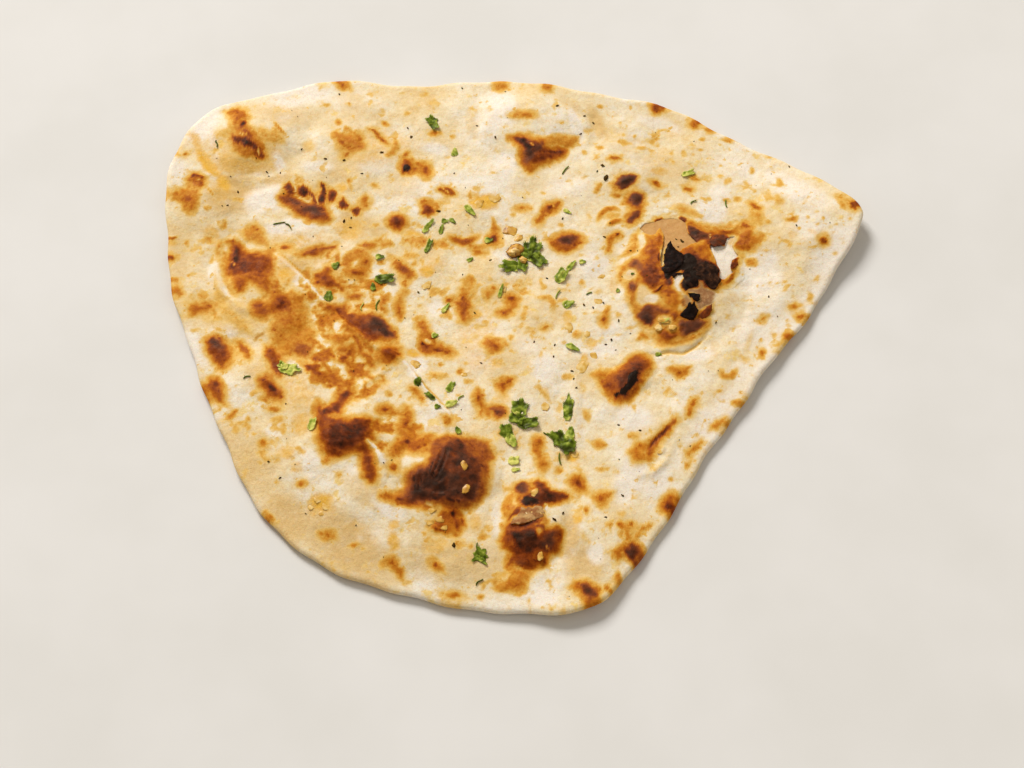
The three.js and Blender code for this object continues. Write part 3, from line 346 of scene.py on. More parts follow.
PATCHES_MIDDLE = [
    (.62, .9, .1, 0,
     "-48.2,32 -46,30.8 -42.8,28 -39.8,25 -38.4,22.4 -41,20.6 -44.2,22.4 -46.8,26 -48.2,29"),
    (.42, .8, 0, 0, "-45.2,21 -42,21 -41.2,17 -41.8,13.6 -42.4,16 -44.2,18"),
    (.44, .8, 0, 0, "-46.8,9 -45.4,13.2 -42.2,14.4 -42.8,11 -42.8,6 -44,3.8 -46.6,4.4"),
    (.38, 1.2, 0, 0,
     "-22.2,17 -19,19 -16.8,14 -15.4,9 -15.8,4 -14.6,1 -18,.2 -21.2,.8 -23,6 -23.2,10 -21.2,13"),
    (.64, .8, 0, 0, "-20.8,13 -18.4,14.2 -16.6,9 -17.4,4 -18.2,.8 -20.8,1.8 -21.2,7"),
    (.34, 1, 0, 0, "-12.8,16 -10,15.8 -8,17.8 -6,16.6 -6.8,14.4 -8.4,11.4 -10.4,9.2 -12.2,11"),
    (.46, .8, 0, 0,
     "-3.6,12 -1.6,14.4 1.2,14 2.4,11.4 1.8,8 0,4.8 -2,3.8 -5,3.8 -6.2,5.6 -4,7 -2,8.6 -3.2,10"),
    (.52, .7, 0, 0, "-37.6,1.4 -35,2.2 -32.8,-.6 -32.2,-4 -33.4,-6.2 -35.8,-3.8 -37.4,-1"),
    (.58, .7, 0, 0,
     "-35.8,-6.4 -33,-4.8 -30.4,-7.8 -27,-9.6 -24,-10.8 -22.8,-12.6 -25,-14.8 -28,-13.2 -31,-12.8 "
     "-33.8,-10.8 -35.2,-8.6"),
    (.54, .8, 0, 0, "-12.4,-9 -10.4,-6.8 -7,-6.4 -4.6,-8 -4.4,-10.6 -6.4,-12.8 -8.6,-12.2 -10.8,-10.8"),
    (.36, .6, 0, 0, "10.2,-2 11.6,0 14.4,-.2 14.2,-2.4 12,-3.4"),
    (.38, .8, 0, 0, "34,0 34.2,4 36.4,8.8 38.2,8.2 37.8,4 37.4,0 35.4,-1.8"),
    (.56, .6, 0, 0, "-6.8,-26 -4.6,-24.4 -1.6,-25.2 -1.8,-28 -3.4,-31.6 -4.8,-31.2 -5.8,-28.6"),
    (.54, .6, 0, 0,
     "-15,-32 -13.2,-30.8 -11.6,-33 -10.8,-36.4 -11.2,-38.6 -12.6,-40.8 -13.8,-41.2 -13,-38.6 "
     "-14.2,-36"),
    (.72, .6, .4, 0, "-9.6,-38 -7.6,-36.4 -4.4,-37 -2.4,-39 -2.4,-41.2 -4.6,-41.8 -7.2,-40.8"),
    (.34, .7, 0, 0, "-19.2,-24 -17,-24.4 -14.8,-26 -16.6,-27 -18.8,-26.2"),
    (.26, .9, 0, 0, "-33.2,-21 -30,-21.2 -26.6,-21.8 -24.4,-23.6 -28,-25.2 -32.2,-24.2"),
    (.47, .8, 0, 0, "-40.2,-28 -37.6,-27.8 -34.8,-31 -33.2,-33.6 -34.6,-35.4 -37.2,-33"),
    (.5, .6, 0, 0, "-27.8,-41 -25,-41.2 -22.8,-43.4 -22.8,-45.2 -25.8,-44.8"),
    (.46, 1, 0, 0,
     "-41.8,-36.6 -39,-36.8 -37.8,-40 -38.8,-43 -38.6,-47 -40.6,-49.2 -43.6,-47.8 -43.8,-44 -42,-40.6"),
    (.68, .6, 0, 0, "-51.2,-37 -48.6,-35.8 -46.4,-38 -48,-39.8 -50.2,-39.4"),
    (.25, .9, 0, 0, "7.4,-28.6 10,-27 12.4,-29.4 13.8,-32 14.4,-35 12,-34 10.4,-30.6"),
    (.3, .8, 0, 0, "26.4,-38 28.4,-37.8 29.8,-41 28.6,-43.8 26.8,-41.6"),
    (.42, .8, 0, 0, "28.8,-22.6 32,-20.4 36,-20.8 37.2,-24 34,-25.6 31,-24.6"),
    (.58, .9, .05, 0,
     "32.8,-25 36,-22.4 39,-20.8 42,-17.8 45,-14.8 49,-13.4 53.2,-15.4 54,-20 50.2,-25 47.2,-30 "
     "44.2,-34.2 41,-35.8 37.8,-34.2 34.6,-30"),
    (.76, .9, .3, 0, "38,-24 42,-20 46,-16.6 51,-15.8 52.2,-19.6 49.2,-25 46.2,-30 43.2,-33.8 40,-33.4"),
    (.97, .4, 0, 1,
     "46.6,-21 48.8,-21.4 48.2,-25 46.2,-28.6 43,-31.8 39.6,-33.4 37.2,-32.6 40,-30.6 42.6,-27.6 "
     "44.4,-24"),
    (.42, .8, 0, 0, "47.8,-8 48.4,-5 50.6,-2.8 52.6,-5 52.2,-8.2"),
    (.2, 1.6, 0, 0, "8,13.4 14,13.6 18,12 17,6 14.6,5 14,9.6 9,11.4"),
]
PATCHES_LOWER = [
    (.42, .8, 0, 0, "-74.8,-46 -73,-45.8 -71.8,-52 -70,-58 -68.6,-62.4 -71.6,-60.2 -73.8,-54"),
    (.64, 1.2, 0, 0,
     "-75.8,-40 -74.4,-34.8 -72,-38 -69,-41 -62,-42 -57,-40.8 -54,-41.4 -52.2,-46 -51.4,-52 -54,-52.4 "
     "-52.8,-57 -51.2,-61 -50.4,-66 -50.8,-69.8 -54,-70.4 -56.8,-66 -57.8,-61 -57.2,-57.8 -61,-57 "
     "-65,-59.2 -70.2,-60 -72.2,-55 -73.8,-50 -75.2,-45"),
    (.8, 1.4, .1, 0,
     "-70.6,-43.8 -64,-43.4 -56,-42.8 -53.2,-46 -54.4,-50 -55.2,-53.6 -60,-56.2 -66,-57.2 -70.2,-54.6 "
     "-71.8,-49"),
    (.88, 1.4, .3, .05, "-61,-43.4 -56.6,-43.8 -54.4,-47 -56.8,-50 -57.4,-54.4 -60,-52.4 -60.8,-47"),
    (.78, .9, 0, 0, "-55.8,-56 -53,-58 -51.4,-63 -52.4,-67.8 -55.2,-66.2 -56.2,-60"),
    (.56, 1, .3, 0,
     "-30,-50 -26,-49.4 -20,-49.8 -14,-50.2 -9.8,-52.3 -7.4,-55.5 -6.8,-58.5 -8.4,-62 -8.4,-66 "
     "-8.8,-70 -10.3,-75 -12.8,-78.7 -17,-79.8 -21,-80.2 -26,-79.2 -30,-79.2 -33.6,-79.8 -35,-78.2 "
     "-39,-78.2 -42,-77.7 -42,-73.4 -40.2,-71 -41.2,-68 -40,-64.4 -37,-62.4 -32.8,-61.8 -31.8,-57 "
     "-31.8,-52"),
    (.78, .9, .5, 0,
     "-27,-53 -24.6,-50.4 -20.6,-50.4 -17,-52.8 -14.8,-56.5 -12.2,-58.4 -10.6,-62 -10.8,-67 -11.2,-72 "
     "-12.8,-76.6 -17,-78.6 -24,-78.2 -28,-77.2 -32,-78.7 -35,-78 -38.8,-77.6 -39.2,-72 -38.8,-66 "
     "-36,-63.2 -32,-62.4 -30,-58.8 -28.8,-56"),
    (.88, .8, .4, .15,
     "-26.8,-55 -24,-53.6 -21.4,-57 -21.8,-60 -23.8,-63 -25.2,-66 -22.8,-70 -18.8,-73.4 -19.8,-76.6 "
     "-26,-77.2 -33,-78.2 -38.2,-77.6 -38.6,-72 -38.4,-67 -35,-64.2 -31,-63.4 -29.2,-60 -28.2,-57"),
    (.84, 1.2, .9, 0,
     "-24.4,-64 -19,-65.6 -16.6,-69.6 -15.6,-73 -17.6,-76.4 -23,-75.6 -25.6,-72 -25.4,-67"),
    (.82, 1, .8, 0, "-21,-54.6 -16.8,-57.6 -15.6,-62 -19.8,-63.8 -22.6,-60"),
    (.86, .9, .8, 0, "-16.4,-70.6 -13.4,-68.6 -11.8,-72 -12.6,-76 -15,-77 -17,-74"),
    (.52, 1, 0, 0,
     "-30,-86 -31.2,-88 -29.2,-90.2 -24,-91.2 -20.4,-91.2 -19.6,-89 -17.6,-88.2 -17.6,-86 -19.6,-83 "
     "-19.8,-80 -26,-79.6 -27.8,-82.6 -29,-84.6"),
    (.66, .8, 0, 0, "-22,-80.6 -20.2,-83 -19,-86.4 -19.8,-90 -22,-90.6 -22.6,-86 -24.4,-83"),
    (.5, 1.2, 0, 0,
     "-44,-45 -38,-47 -34,-49.6 -31,-49.6 -31.5,-53.7 -34,-56.2 -37,-57.7 -41,-57.2 -44,-59.4 "
     "-47.2,-58.2 -46.2,-53 -43,-50"),
    (.6, .7, 0, 0, "-49.6,-74 -46,-73.8 -41,-74.4 -38,-75 -38,-77.8 -42,-78 -46,-77 -49.8,-75.6"),
    (.46, .8, 0, 0, "-71.2,-90.6 -69,-89.4 -66.2,-89.8 -65.4,-91.4 -68,-92.8 -70.6,-92.2"),
    (.46, .9, 0, 0, "-47.2,-101 -44.6,-99.6 -41.8,-102 -39.4,-106 -39.8,-110.2 -42.8,-107.2 -45.2,-104"),
    (.44, .8, 0, 0, "-31.2,-100.4 -28.6,-100.8 -25.8,-103.6 -24.8,-106.2 -27.4,-105.2 -30.2,-103.2"),
    (.48, .7, 0, 0,
     "7.2,-51 9.4,-49.8 11.4,-51 11,-54 10.8,-57 12.2,-59.4 13.6,-61.4 12.2,-63.8 10.4,-64.2 "
     "9.4,-61.4 8.2,-58.4 6.8,-56.4 7.6,-54"),
    (.58, .8, 0, 0,
     "20.4,-68.6 22.6,-66.4 25.2,-66.4 26.2,-68.4 27.6,-70.6 27,-72.8 24.4,-73.2 22.2,-71"),
    (.46, .8, 0, 0, "30.4,-75 33,-73.4 37.2,-73.2 36.2,-75.4 34.6,-79 32.6,-79.8 31.2,-77.6"),
    (.54, 1, 0, 0, "54.2,-80 56,-75.8 59.6,-73.8 62,-74 60.6,-78 57.8,-81.6 55,-82"),
    (.42, .6, 0, 0, "64.2,-63.6 64.4,-61 67.2,-59.8 66.6,-62 65,-64.2"),
    (.48, .7, 0, 0, "64.4,-58 67,-53.8 71,-51.4 72.4,-52.4 69.6,-55.6 66.6,-58.2"),
    (.62, .8, .1, 0,
     "49,-56 51,-58.8 54.2,-55 56.6,-51 60.2,-46 62.8,-43 61.8,-41.4 58,-44.8 54.4,-48.8 50.8,-53"),
    (.46, 1.2, 0, 0, "42.6,-56 44.8,-61.2 48,-61.2 51,-59 50,-55 47,-53.4"),
    (.52, .7, 0, 0, "65.8,-41.2 67.4,-41.4 70.2,-36 70.6,-33 68.6,-33.2 66.2,-37.4"),
    (.47, .8, 0, 0, "74.8,-47 77.6,-47.2 80.8,-43.4 80.4,-41.2 77,-42.8 75.2,-45"),
    (.38, .8, 0, 0, "83.2,-34 86.8,-33.4 88,-35 85.6,-37.4 83.4,-36"),
    (.8, 1, .3, 0,
     "40.4,-97 41.2,-100 43.6,-103.4 46.2,-100 47.6,-97.6 46.8,-95 44.4,-93.8 43,-93.2 41.4,-95.4"),
    (.46, .8, 0, 0, "34.8,-98 38,-96.2 41,-95.8 41.2,-99.6 38,-101.8 36.8,-99.4"),
    (.44, .7, 0, 0, "41.4,-94 40,-90 37.6,-87 39.6,-85 42.2,-87 43.2,-91 43.8,-94"),
    (.44, .7, 0, 0, "45,-93.4 47.4,-90.2 50,-88.2 51.8,-86 50,-85.4 47,-87.6 44.4,-91"),
    (.54, .7, 0, 0, "46,-95.8 49.8,-98 47.6,-101"),
    (.52, 1, 0, 0,
     "20.4,-112 23,-110.2 26,-109.4 29.2,-111.6 31.2,-114 30.8,-117 28,-119.4 25.4,-118.8 24.4,-114.6 "
     "22,-113.8"),
    (.92, 1, .5, 0, "24,-110.8 27,-110.2 30,-112.6 30.2,-116 27.6,-117.6 25.2,-115"),
    (.42, .9, 0, 0,
     "-2,-104 1,-104.4 4,-105 6.8,-104.6 5.8,-110 4.8,-112.8 2,-114.4 -2,-113.8 -5,-113.6 -8.2,-112 "
     "-5,-109.4 -2,-108.8 -1.2,-106.6"),
]
PATCHES_RIGHT = [
    (.6, .9, 0, 0, "56.4,110 59,110 62,108.4 65,105.4 62,103.4 58.6,102.4 57.4,105.6"),
    (.54, .8, 0, 0, "72.8,98.6 75.6,99.8 78,97.6 76.8,95.6 74.6,94.8 72.8,96.4"),
    (.56, .6, 0, 0, "80,95.4 82.6,96.4 85,94.8 83.8,93.2 81,93"),
    (.64, .6, 0, 0, "55.4,69 58.4,69 60.8,66 58.4,65 56.4,67"),
    (.56, .6, 0, 0, "69.2,66 71.8,66.2 73.8,64.6 72.2,62.6 69.8,63.6"),
    (.48, .6, 0, 0, "70.6,71.8 74.4,71.6 76.8,69.8 76.2,68.2 73.2,69.2"),
    (.28, 1.8, 0, 0, "95,55 101,54 102,50 100,46 96,46 94,50"),
    (.68, .8, 0, 0, "95.2,58.6 98,57.8 100.6,55.4 99.8,53.8 97.2,54.4"),
    (.36, .8, 0, 0, "131.4,60 133,60.8 135.6,57 135.2,54.4 132.4,54.8"),
    (.8, .5, .1, 0, "136.4,57.6 138.2,58.6 140,56.6 139,54.4 136.8,54.8"),
    (.62, .6, 0, 0, "90.2,45.8 93,48.2 95.8,46.4 94,44.6"),
    (.5, 1.4, 0, 0, "88.4,39 90,43.4 93,44.8 96,45.2 97.8,42 98.8,38 96,34.4 92,33.2 89,34.4 87.4,36"),
    (.44, .7, 0, 0, "107.8,9 111,10.2 113.2,8.6 111,6.6 108.4,6.8"),
    (.54, .6, 0, 0, "110.8,4 113.4,5.4 114.8,3.8 112.4,1.8"),
    (.34, .8, 0, 0, "116,15.2 118.2,12 117.2,9.4 115.2,11.6"),
    (.52, .6, 0, 0, "105.2,-5 107.6,-4.4 108.6,-6 106.4,-8.8 105,-7.4"),
    (.47, .7, 0, 0, "104.2,-9.8 104.8,-11.6 102.8,-14.8 101.8,-12.6"),
    (.52, .6, 0, 0, "95.6,1.4 98,4.4 99.6,3.4 97.6,.8"),
    (.43, .8, 0, 0, "59.4,-19.4 64,-18.8 68.8,-18.8 68.2,-22 66,-23.8 64.4,-25.6 62.2,-23 59.8,-22"),
]
# Patches that come loose as flaps too
MIDDLE_CHAR = "69,14.2 71.5,14.2 73.7,13.4 73.4,11 72.6,10.2 71,11 69.8,12.4"
LOWER_FLAP = "77.8,8.8 78,6 76.6,3.6 74,2.4 72.2,3.4 73.6,5.2 75,6.2 76,7.6"
RIGHT_FLAP = "90.2,31.6 88.6,30.8 86.8,29 86.2,26.6 86.4,25 88,25.8 89.4,28"
# The big burst blister's skin, and what lies round it
PATCHES_BURST = [
    (.5, .7, 0, 0,
     "53,42 56.8,41.8 59.2,45.2 60.4,41 60,37 59.2,33 58.8,28 59,22 58.8,19 57.4,17.2 54.6,15.6 "
     "52.4,17 50.8,20 49.4,23.5 51.4,27 51.8,30 50.8,33 51.4,36 52.8,39"),
    (.6, .8, 0, 0, "53.4,41.6 56,40.8 57.4,38 58.4,34 57.6,30 55,28 52.6,31 53.6,36"),
    (.5, .7, 0, 0, "57,42.6 59.2,45.4 60.4,41.4 59.6,38.8 57.6,40"),
    (.72, 1, .15, 0, "50.4,27 55,29 58.4,26 59,20 58.4,17.6 55,15.6 52.4,17.4 50.6,21"),
    (.64, 1, .7, 0, "45.8,28 47.4,30.8 50.4,30.4 52.4,27.6 52,24.6 49.6,23.6 48,25.6 46,25.4"),
    (.5, .5, 0, 0, "44.8,28.2 42.6,27 41.4,23.6 41.6,20 43,19.6 43.4,22.6 44.6,24.8 45.6,26.6"),
    (.93, .3, 0, .3, "46.6,24.4 48.2,24.4 48,23 47,22.4"),
    (.74, .7, .7, 0, "44.8,18.6 47,20.4 49.6,19.4 50.2,17 48.6,15 46,15.2"),
    (.52, .6, .1, 0, "45.6,15.6 47.8,15.2 48,12 48.4,9 48.6,6.8 46.8,7.4 45.6,10"),
    (.7, .7, .5, 0, "48.2,6 50,8.6 53,9.8 56.8,9.4 59.6,8 62.2,5.6 60,4.2 57,4 55.4,1.8 50,4"),
    (.9, .8, .8, .1, "48.2,5.4 50.6,7 53.6,6 55.6,3.4 55.4,0 54,-1.4 51.8,-.8 49.8,.6 48.4,2.6"),
    (.5, .8, 0, 0,
     "57.2,14.2 59,16.2 61.4,16.4 63.8,15.4 65.4,13.4 66.2,11 66.2,8 65.4,5 63,5 60,8 59.4,11 "
     "58.2,12.6"),
    (.72, .6, .1, 0, "57,14.2 59,16.4 61.4,16.6 64,15.4 65.4,13 63,13.2 60,14"),
    (.9, .4, .2, .2, "60.6,5.8 64.8,4.8 64,2.4 62.6,.6 62,3.2"),
    (.64, .9, .1, 0, "55.8,-5 57.4,-3 59.4,-.6 61.4,-3.6 64,-2.4 65.2,-5 63.2,-7.2 60,-8.8 57.2,-7.8"),
    (.46, 1, 0, 0,
     "54.6,-5 57,-2.6 62,-7 66,-7.2 70,-5.4 74,-2.6 76.6,1 77.4,-.6 74,-5 69,-8.4 62,-10 57,-9"),
    (.82, .8, .9, 0,
     "64.6,1.6 66,3.2 68.4,2 70.4,2.4 73.2,3.2 75,1 75,-1 72.6,-2.8 69.8,-4.2 67.4,-6.6 65.4,-5.6 "
     "65.4,-3 64.2,-.4"),
    (.4, .7, .6, 0,
     "66.8,12.6 69,11.6 73.6,10.2 74.2,13.6 77.6,13.8 78,11 76.6,8.8 74,7.4 72.4,8.2 68.4,8.4 "
     "66.8,9.6"),
    (.66, .5, 0, 0, LOWER_FLAP),
    (.62, .5, 0, 0, "55.6,47.8 57.6,50.8 61,51 63.2,51.8 63.4,50.4 60.6,49.4 57.6,48.8"),
    (.86, .4, .5, 0, "66.2,50 68,51 70.2,49.8 70,48.4 67.8,48"),
    (.28, 1.2, 0, 0, "64,56.4 68,57 73,54.6 77,51 76,49.4 71,50.6 67,51.6"),
    (.88, .6, .75, 0,
     "69.6,46.6 71.4,47.4 73.8,45.4 76.4,43.6 79.2,42.8 79.6,39.6 77,39.2 75,38.8 73.2,38 71.6,40 "
     "70,43"),
    (.86, .5, .3, 0, "79,41.4 78.4,38.4 79.2,35.8 83,35.8 85.4,38 85.8,40.8 84,42.6 81,42.4"),
    (.9, 1.4, .4, .2, "66,30 68.5,33.6 72,34 75,31.4 78,30.4 81,28.4 82.6,24 80,18 76,16 70,17.6 66,24"),
    (.9, 1, .3, .1, "59.4,19.6 61,22 63.4,22 63.6,19 62.6,17.4 60.4,17.6"),
    (.6, .9, 0, 0,
     "71.4,47.8 75,45.4 79,44 84,44.4 89,45.4 90.4,43.4 87,41.8 84,41.2 80.4,41.4 79,42.4 76,43"),
    (.4, 1.6, 0, 0, "71.6,48 75,48.4 82,46.6 90,47.4 91,45 84,43.6 76,44.4"),
    (.84, .6, .6, 0, "79,41.2 78.4,38.4 79.8,36.2 82.8,36.2 85.2,38 85.6,40.6 84,42.2"),
    (.7, .5, 0, 0, RIGHT_FLAP),
    (.54, .6, 0, 0, "83,20.2 85.4,22.4 88,24.4 87.2,21.4 85,18.4 82.6,17.4 80.8,17.2 82.4,19.2"),
    (.46, .8, 0, 0,
     "66.6,35.2 69,36.2 71,37.2 74,38.6 77,39.2 78.8,38 79.6,34.6 80.8,31 81,28 79,27 73,28 72,32"),
    (.62, .8, 0, 0, "66.8,35 69,36 72,36.4 73,34 72,32 69,32.6"),
    (.97, .5, 0, 1,
     "62.9,38.6 63.8,36.2 65,34.8 66.8,33.4 67.8,32.4 69,33.4 70.6,33.6 72,32.6 73,30.8 73.4,28.8 "
     "75.4,28.2 76.4,29.6 77.4,29 78,27.6 80.2,27.2 82,24 81,23.2 82.6,20.2 79.8,15.6 78,15.6 "
     "74.8,19.8 74,18.6 74.2,16.8 70,16 68.6,14.8 67.4,15.2 66.4,17 66,19.4 68,22 67.2,23.8 65.6,24.2 "
     "62.8,22.2 62,20.2 60.4,20 59.2,24 58.4,25.4 60,26.8 60.1,31.4 61.2,36"),
    (.96, .4, 0, 1, MIDDLE_CHAR),
    (.97, .4, 0, 1,
     "69.4,9.8 70.2,8.8 71.2,10 71.8,7.6 72.8,6 72.2,4.4 70.4,2 68.6,1.8 67.4,2.8 65.2,3.8 64.6,4.6 "
     "66.4,5.6 68,7.2 68.6,8.8"),
    (.4, 1, 0, 0, "45.6,13 46,18 48,14 50,17 51.6,15.6 56,14.4 57.6,12.2 55,9.8 49,9.8"),
    (.3, 1.2, 0, 0, "41.4,30 45,31.4 50,33 52.6,40 50.6,46 47,42 45.6,36 42,32"),
]
# Cream or tan gaps between the marks: amount, softness, pale, tan, purple, then their outline
GAPS = [
    (.95, .35, .6, .12, .1,
     "66.4,23 67.8,22.6 67.4,20.4 66.2,19 66,17 66.6,15 67.8,13.6 66.6,13 65,14.8 64.2,17 63.4,18.6 "
     "63.4,20.6 64.8,22.4"),
    (.92, .6, .1, .5, .95,
     "73.6,19.6 75,19.6 75.6,17.2 77.6,15.4 79.6,14.4 78.6,12 77.8,9.4 76.2,8.6 74.6,7.4 73,6 72.2,8 "
     "71.6,10 73.4,11 73.8,13 71.6,14.4 69.2,14.9 69,15.8 72,16.4 74,17.4"),
    (.85, .5, 0, .5, .9, "67,12.8 68.4,13.4 69.6,12 70.4,10.2 69,9.6 68.2,7.6 67.2,8.6 67,10.6"),
    (.5, .6, 0, .5, 0, "65,9 66.6,9.4 67,7 65.6,5.4 64.6,6.6"),
    (.85, 1.3, 0, .35, 0,
     "49,15.4 50,18.2 52,18.4 53.2,16.4 55,14.8 57,14.2 57.4,12.4 56,10 52,9.6 49.6,9 48.4,10.6 "
     "48.4,13"),
    (.85, 1, 0, .45, 0, "45.2,24.6 46.6,26 49,25 49.8,22.8 48.2,21 46,20.4 44.6,21.6"),
    (.85, .9, .2, .15, 0, "50.2,42 52.6,42.2 53,39 52.6,36.2 51.2,35.6 50.2,38"),
    (.8, .4, .4, .2, .3, "58.7,35 59.8,35 59.8,30 59.3,26.4 58.5,26.2 58.3,29 58.5,32"),
    (.8, .7, 0, .6, 0, "60.6,51.4 64,52 66.6,51.2 66.4,49.2 63,49 60.6,49"),
    (.7, .6, 0, .4, .3, "85.8,41.6 88.8,42 89.8,41 88.4,38 87.4,35.6 86,37 86,39.6"),
    (.6, .7, 0, .3, 0, "8.4,-88 10.4,-88 11,-90 9.4,-92.4 8.4,-91"),
    (.8, .7, .2, .2, 0, "12.2,-79 13.8,-79.4 14.2,-82 13,-84.2 11.8,-82"),
]
PATCHES_SMALL_BURST = [
    (.86, .8, .75, 0, "0.4,-70.8 3,-69.1 5.6,-69.4 6.8,-71 6.2,-73.6 3.6,-74.6 1.4,-73.6 -.2,-72.4"),
    (.84, .8, .2, 0,
     "7.4,-69 9.6,-67.6 11.6,-69 12.8,-71 14.2,-72.8 16,-73.2 19,-73.4 20.8,-74.6 19.8,-77 17.4,-77.6 "
     "14.6,-77.6 12.4,-78.6 10.6,-79.8 9,-79.4 6,-80 4.4,-78.8 3,-77 3.2,-75.1 6,-74.2 8.4,-71.6"),
    (.97, .6, 0, .85, "2.8,-77 4,-75 7,-75.2 9.4,-76.6 9.6,-79 7,-79.8 4.6,-79.4 3,-78.4"),
    (.96, .6, .1, .6, "9.6,-76.6 11,-73.6 14,-73.8 16.6,-75.2 16.4,-77.4 12.8,-78.2 10.4,-78"),
    (.4, .8, 0, 0,
     "-2.2,-74.4 .4,-72.8 1.6,-75 .2,-78 2.2,-79.6 2.6,-81 .2,-83.6 -1.4,-85.6 -4,-84.2 -4.8,-80.6 "
     "-3.6,-77"),
    (.3, 1, 0, 0, "-4,-71 0,-71 -1,-73 -4,-74"),
    (.92, .5, .1, .1, "-1.4,-84.6 -1,-82.4 .6,-80.6 1.6,-79.6 2.8,-80.2 2.6,-82 1,-83.4 -.6,-84"),
    (.4, .8, .3, 0, "10.4,-79 12,-79 12.4,-83 12,-86 10.4,-85.6 10.6,-82"),
    (.66, 1, 0, 0,
     "-3.6,-88 -1.4,-87.4 2,-87.4 6,-86.4 9,-85.4 11.8,-85.6 12.6,-88 13.8,-88 16.2,-86.8 18.8,-90 "
     "18.6,-93 17.6,-96 17.2,-99.2 14.6,-98.8 13,-97.6 12,-99 11.6,-102.2 9.6,-103.7 7,-105.7 "
     "3,-105.2 .6,-103 -1.8,-104.8 -2.2,-102 -1.2,-99 -3.8,-97 -4.6,-94 -3.8,-91"),
    (.88, 1, 0, .15,
     "-2.2,-89 1,-87.8 6,-87.2 9,-88 10.8,-91 12.2,-94 10.2,-97 7,-99.8 4.4,-100.2 2,-98.8 -.2,-96 "
     "-2.2,-93"),
    (.95, .6, 0, .4, "-1.6,-89.4 1.6,-88 5.8,-88 4.6,-90 1.6,-91.2 -.8,-91"),
    (.9, .6, 0, .2, "2,-97 4.6,-96.4 7,-98 5,-100 3,-99.2"),
    (.9, .8, .7, 0, "10.6,-96 11.4,-92 14,-88.6 16.2,-89.6 15.6,-93.6 13.6,-97"),
    (.94, .5, 0, .4,
     "-1.8,-86.6 2,-86.8 5,-85.8 8,-84.8 11,-83.4 11.4,-84.8 8.6,-86.4 5,-87.8 1.6,-88.8 -1.6,-88.4"),
    (.95, .6, .3, .5, "8,-94 10,-92.8 12.4,-93 14,-95 14.2,-97.4 12.4,-98.6 9.4,-98.2"),
    (.3, .8, .5, 0, "8.4,-87 11,-86.6 12.4,-88 11.6,-90.6 9.4,-90"),
    (.3, .7, .5, 0, "0,-101.4 3,-100.6 5,-102.2 3,-103.6 .6,-103"),
    (.8, .4, .1, 0, "-1,-100.4 .6,-100 .4,-102.6 -1.6,-104 -2,-102.4"),
    (.78, .4, 0, 0, "10.6,-99.6 12,-99.8 11.8,-101.8 10.2,-102.4 10.4,-100.8"),
]
# On the crumb under the roofs
PATCHES_FLOOR = [
    (.5, 1.4, .1, 0, "61,36 66,33 72,34 79,33 80,22 76,16 70,15 66,24 60,21 59,28"),
    (0, 3, .1, 0, "53,48 60,50 69,49 72,40 67,34 62,36 56,41"),
    (.14, .7, .2, 0, "85.4,37 85.6,40.6 88.8,41.4 89.6,41 88,37.6 87,35.6"),
]
# Mottled areas: x, y, half length, half width, turn, how much of them is toasted, and how far
MOTTLES = [
    (-76, 4, 36, 20, -42, .5, .4), (-66, -18, 24, 18, -35, .58, .42), (-120, 28, 18, 34, 0, .34, .2),
    (-46, -48, 16, 14, 0, .5, .42), (-68, 90, 12, 10, 0, .34, .3), (-42, 38, 24, 14, -20, .42, .28),
    (48, 58, 16, 18, 0, .26, .24), (56, -46, 22, 26, 0, .2, .26), (96, 52, 34, 28, -30, .24, .22),
    (42, -94, 14, 14, 0, .34, .3), (46, 6, 16, 20, 0, .3, .24), (8, 6, 44, 26, 0, .3, .24),
    (-106, -38, 20, 16, 30, .3, .24), (-40, 62, 24, 24, 0, .26, .22), (60, 88, 40, 14, -20, .26, .2),
    (-22, -90, 20, 12, 0, .34, .26), (-118, 60, 22, 20, 0, .26, .2), (-20, 12, 20, 14, 0, .5, .24),
    (-62, 26, 22, 14, -30, .5, .36), (96, 6, 30, 30, 30, .22, .2), (20, -60, 30, 26, 0, .24, .2),
    (-88, -50, 20, 16, 0, .36, .22), (-56, 6, 14, 22, 30, .48, .36), (92, 42, 12, 10, 0, .6, .3),
    (-8, 84, 40, 30, 0, .14, .16), (34, -20, 26, 18, 0, .26, .2), (0, -110, 20, 8, 0, .4, .24),
    (-28, 60, 14, 10, 0, .36, .26),
]
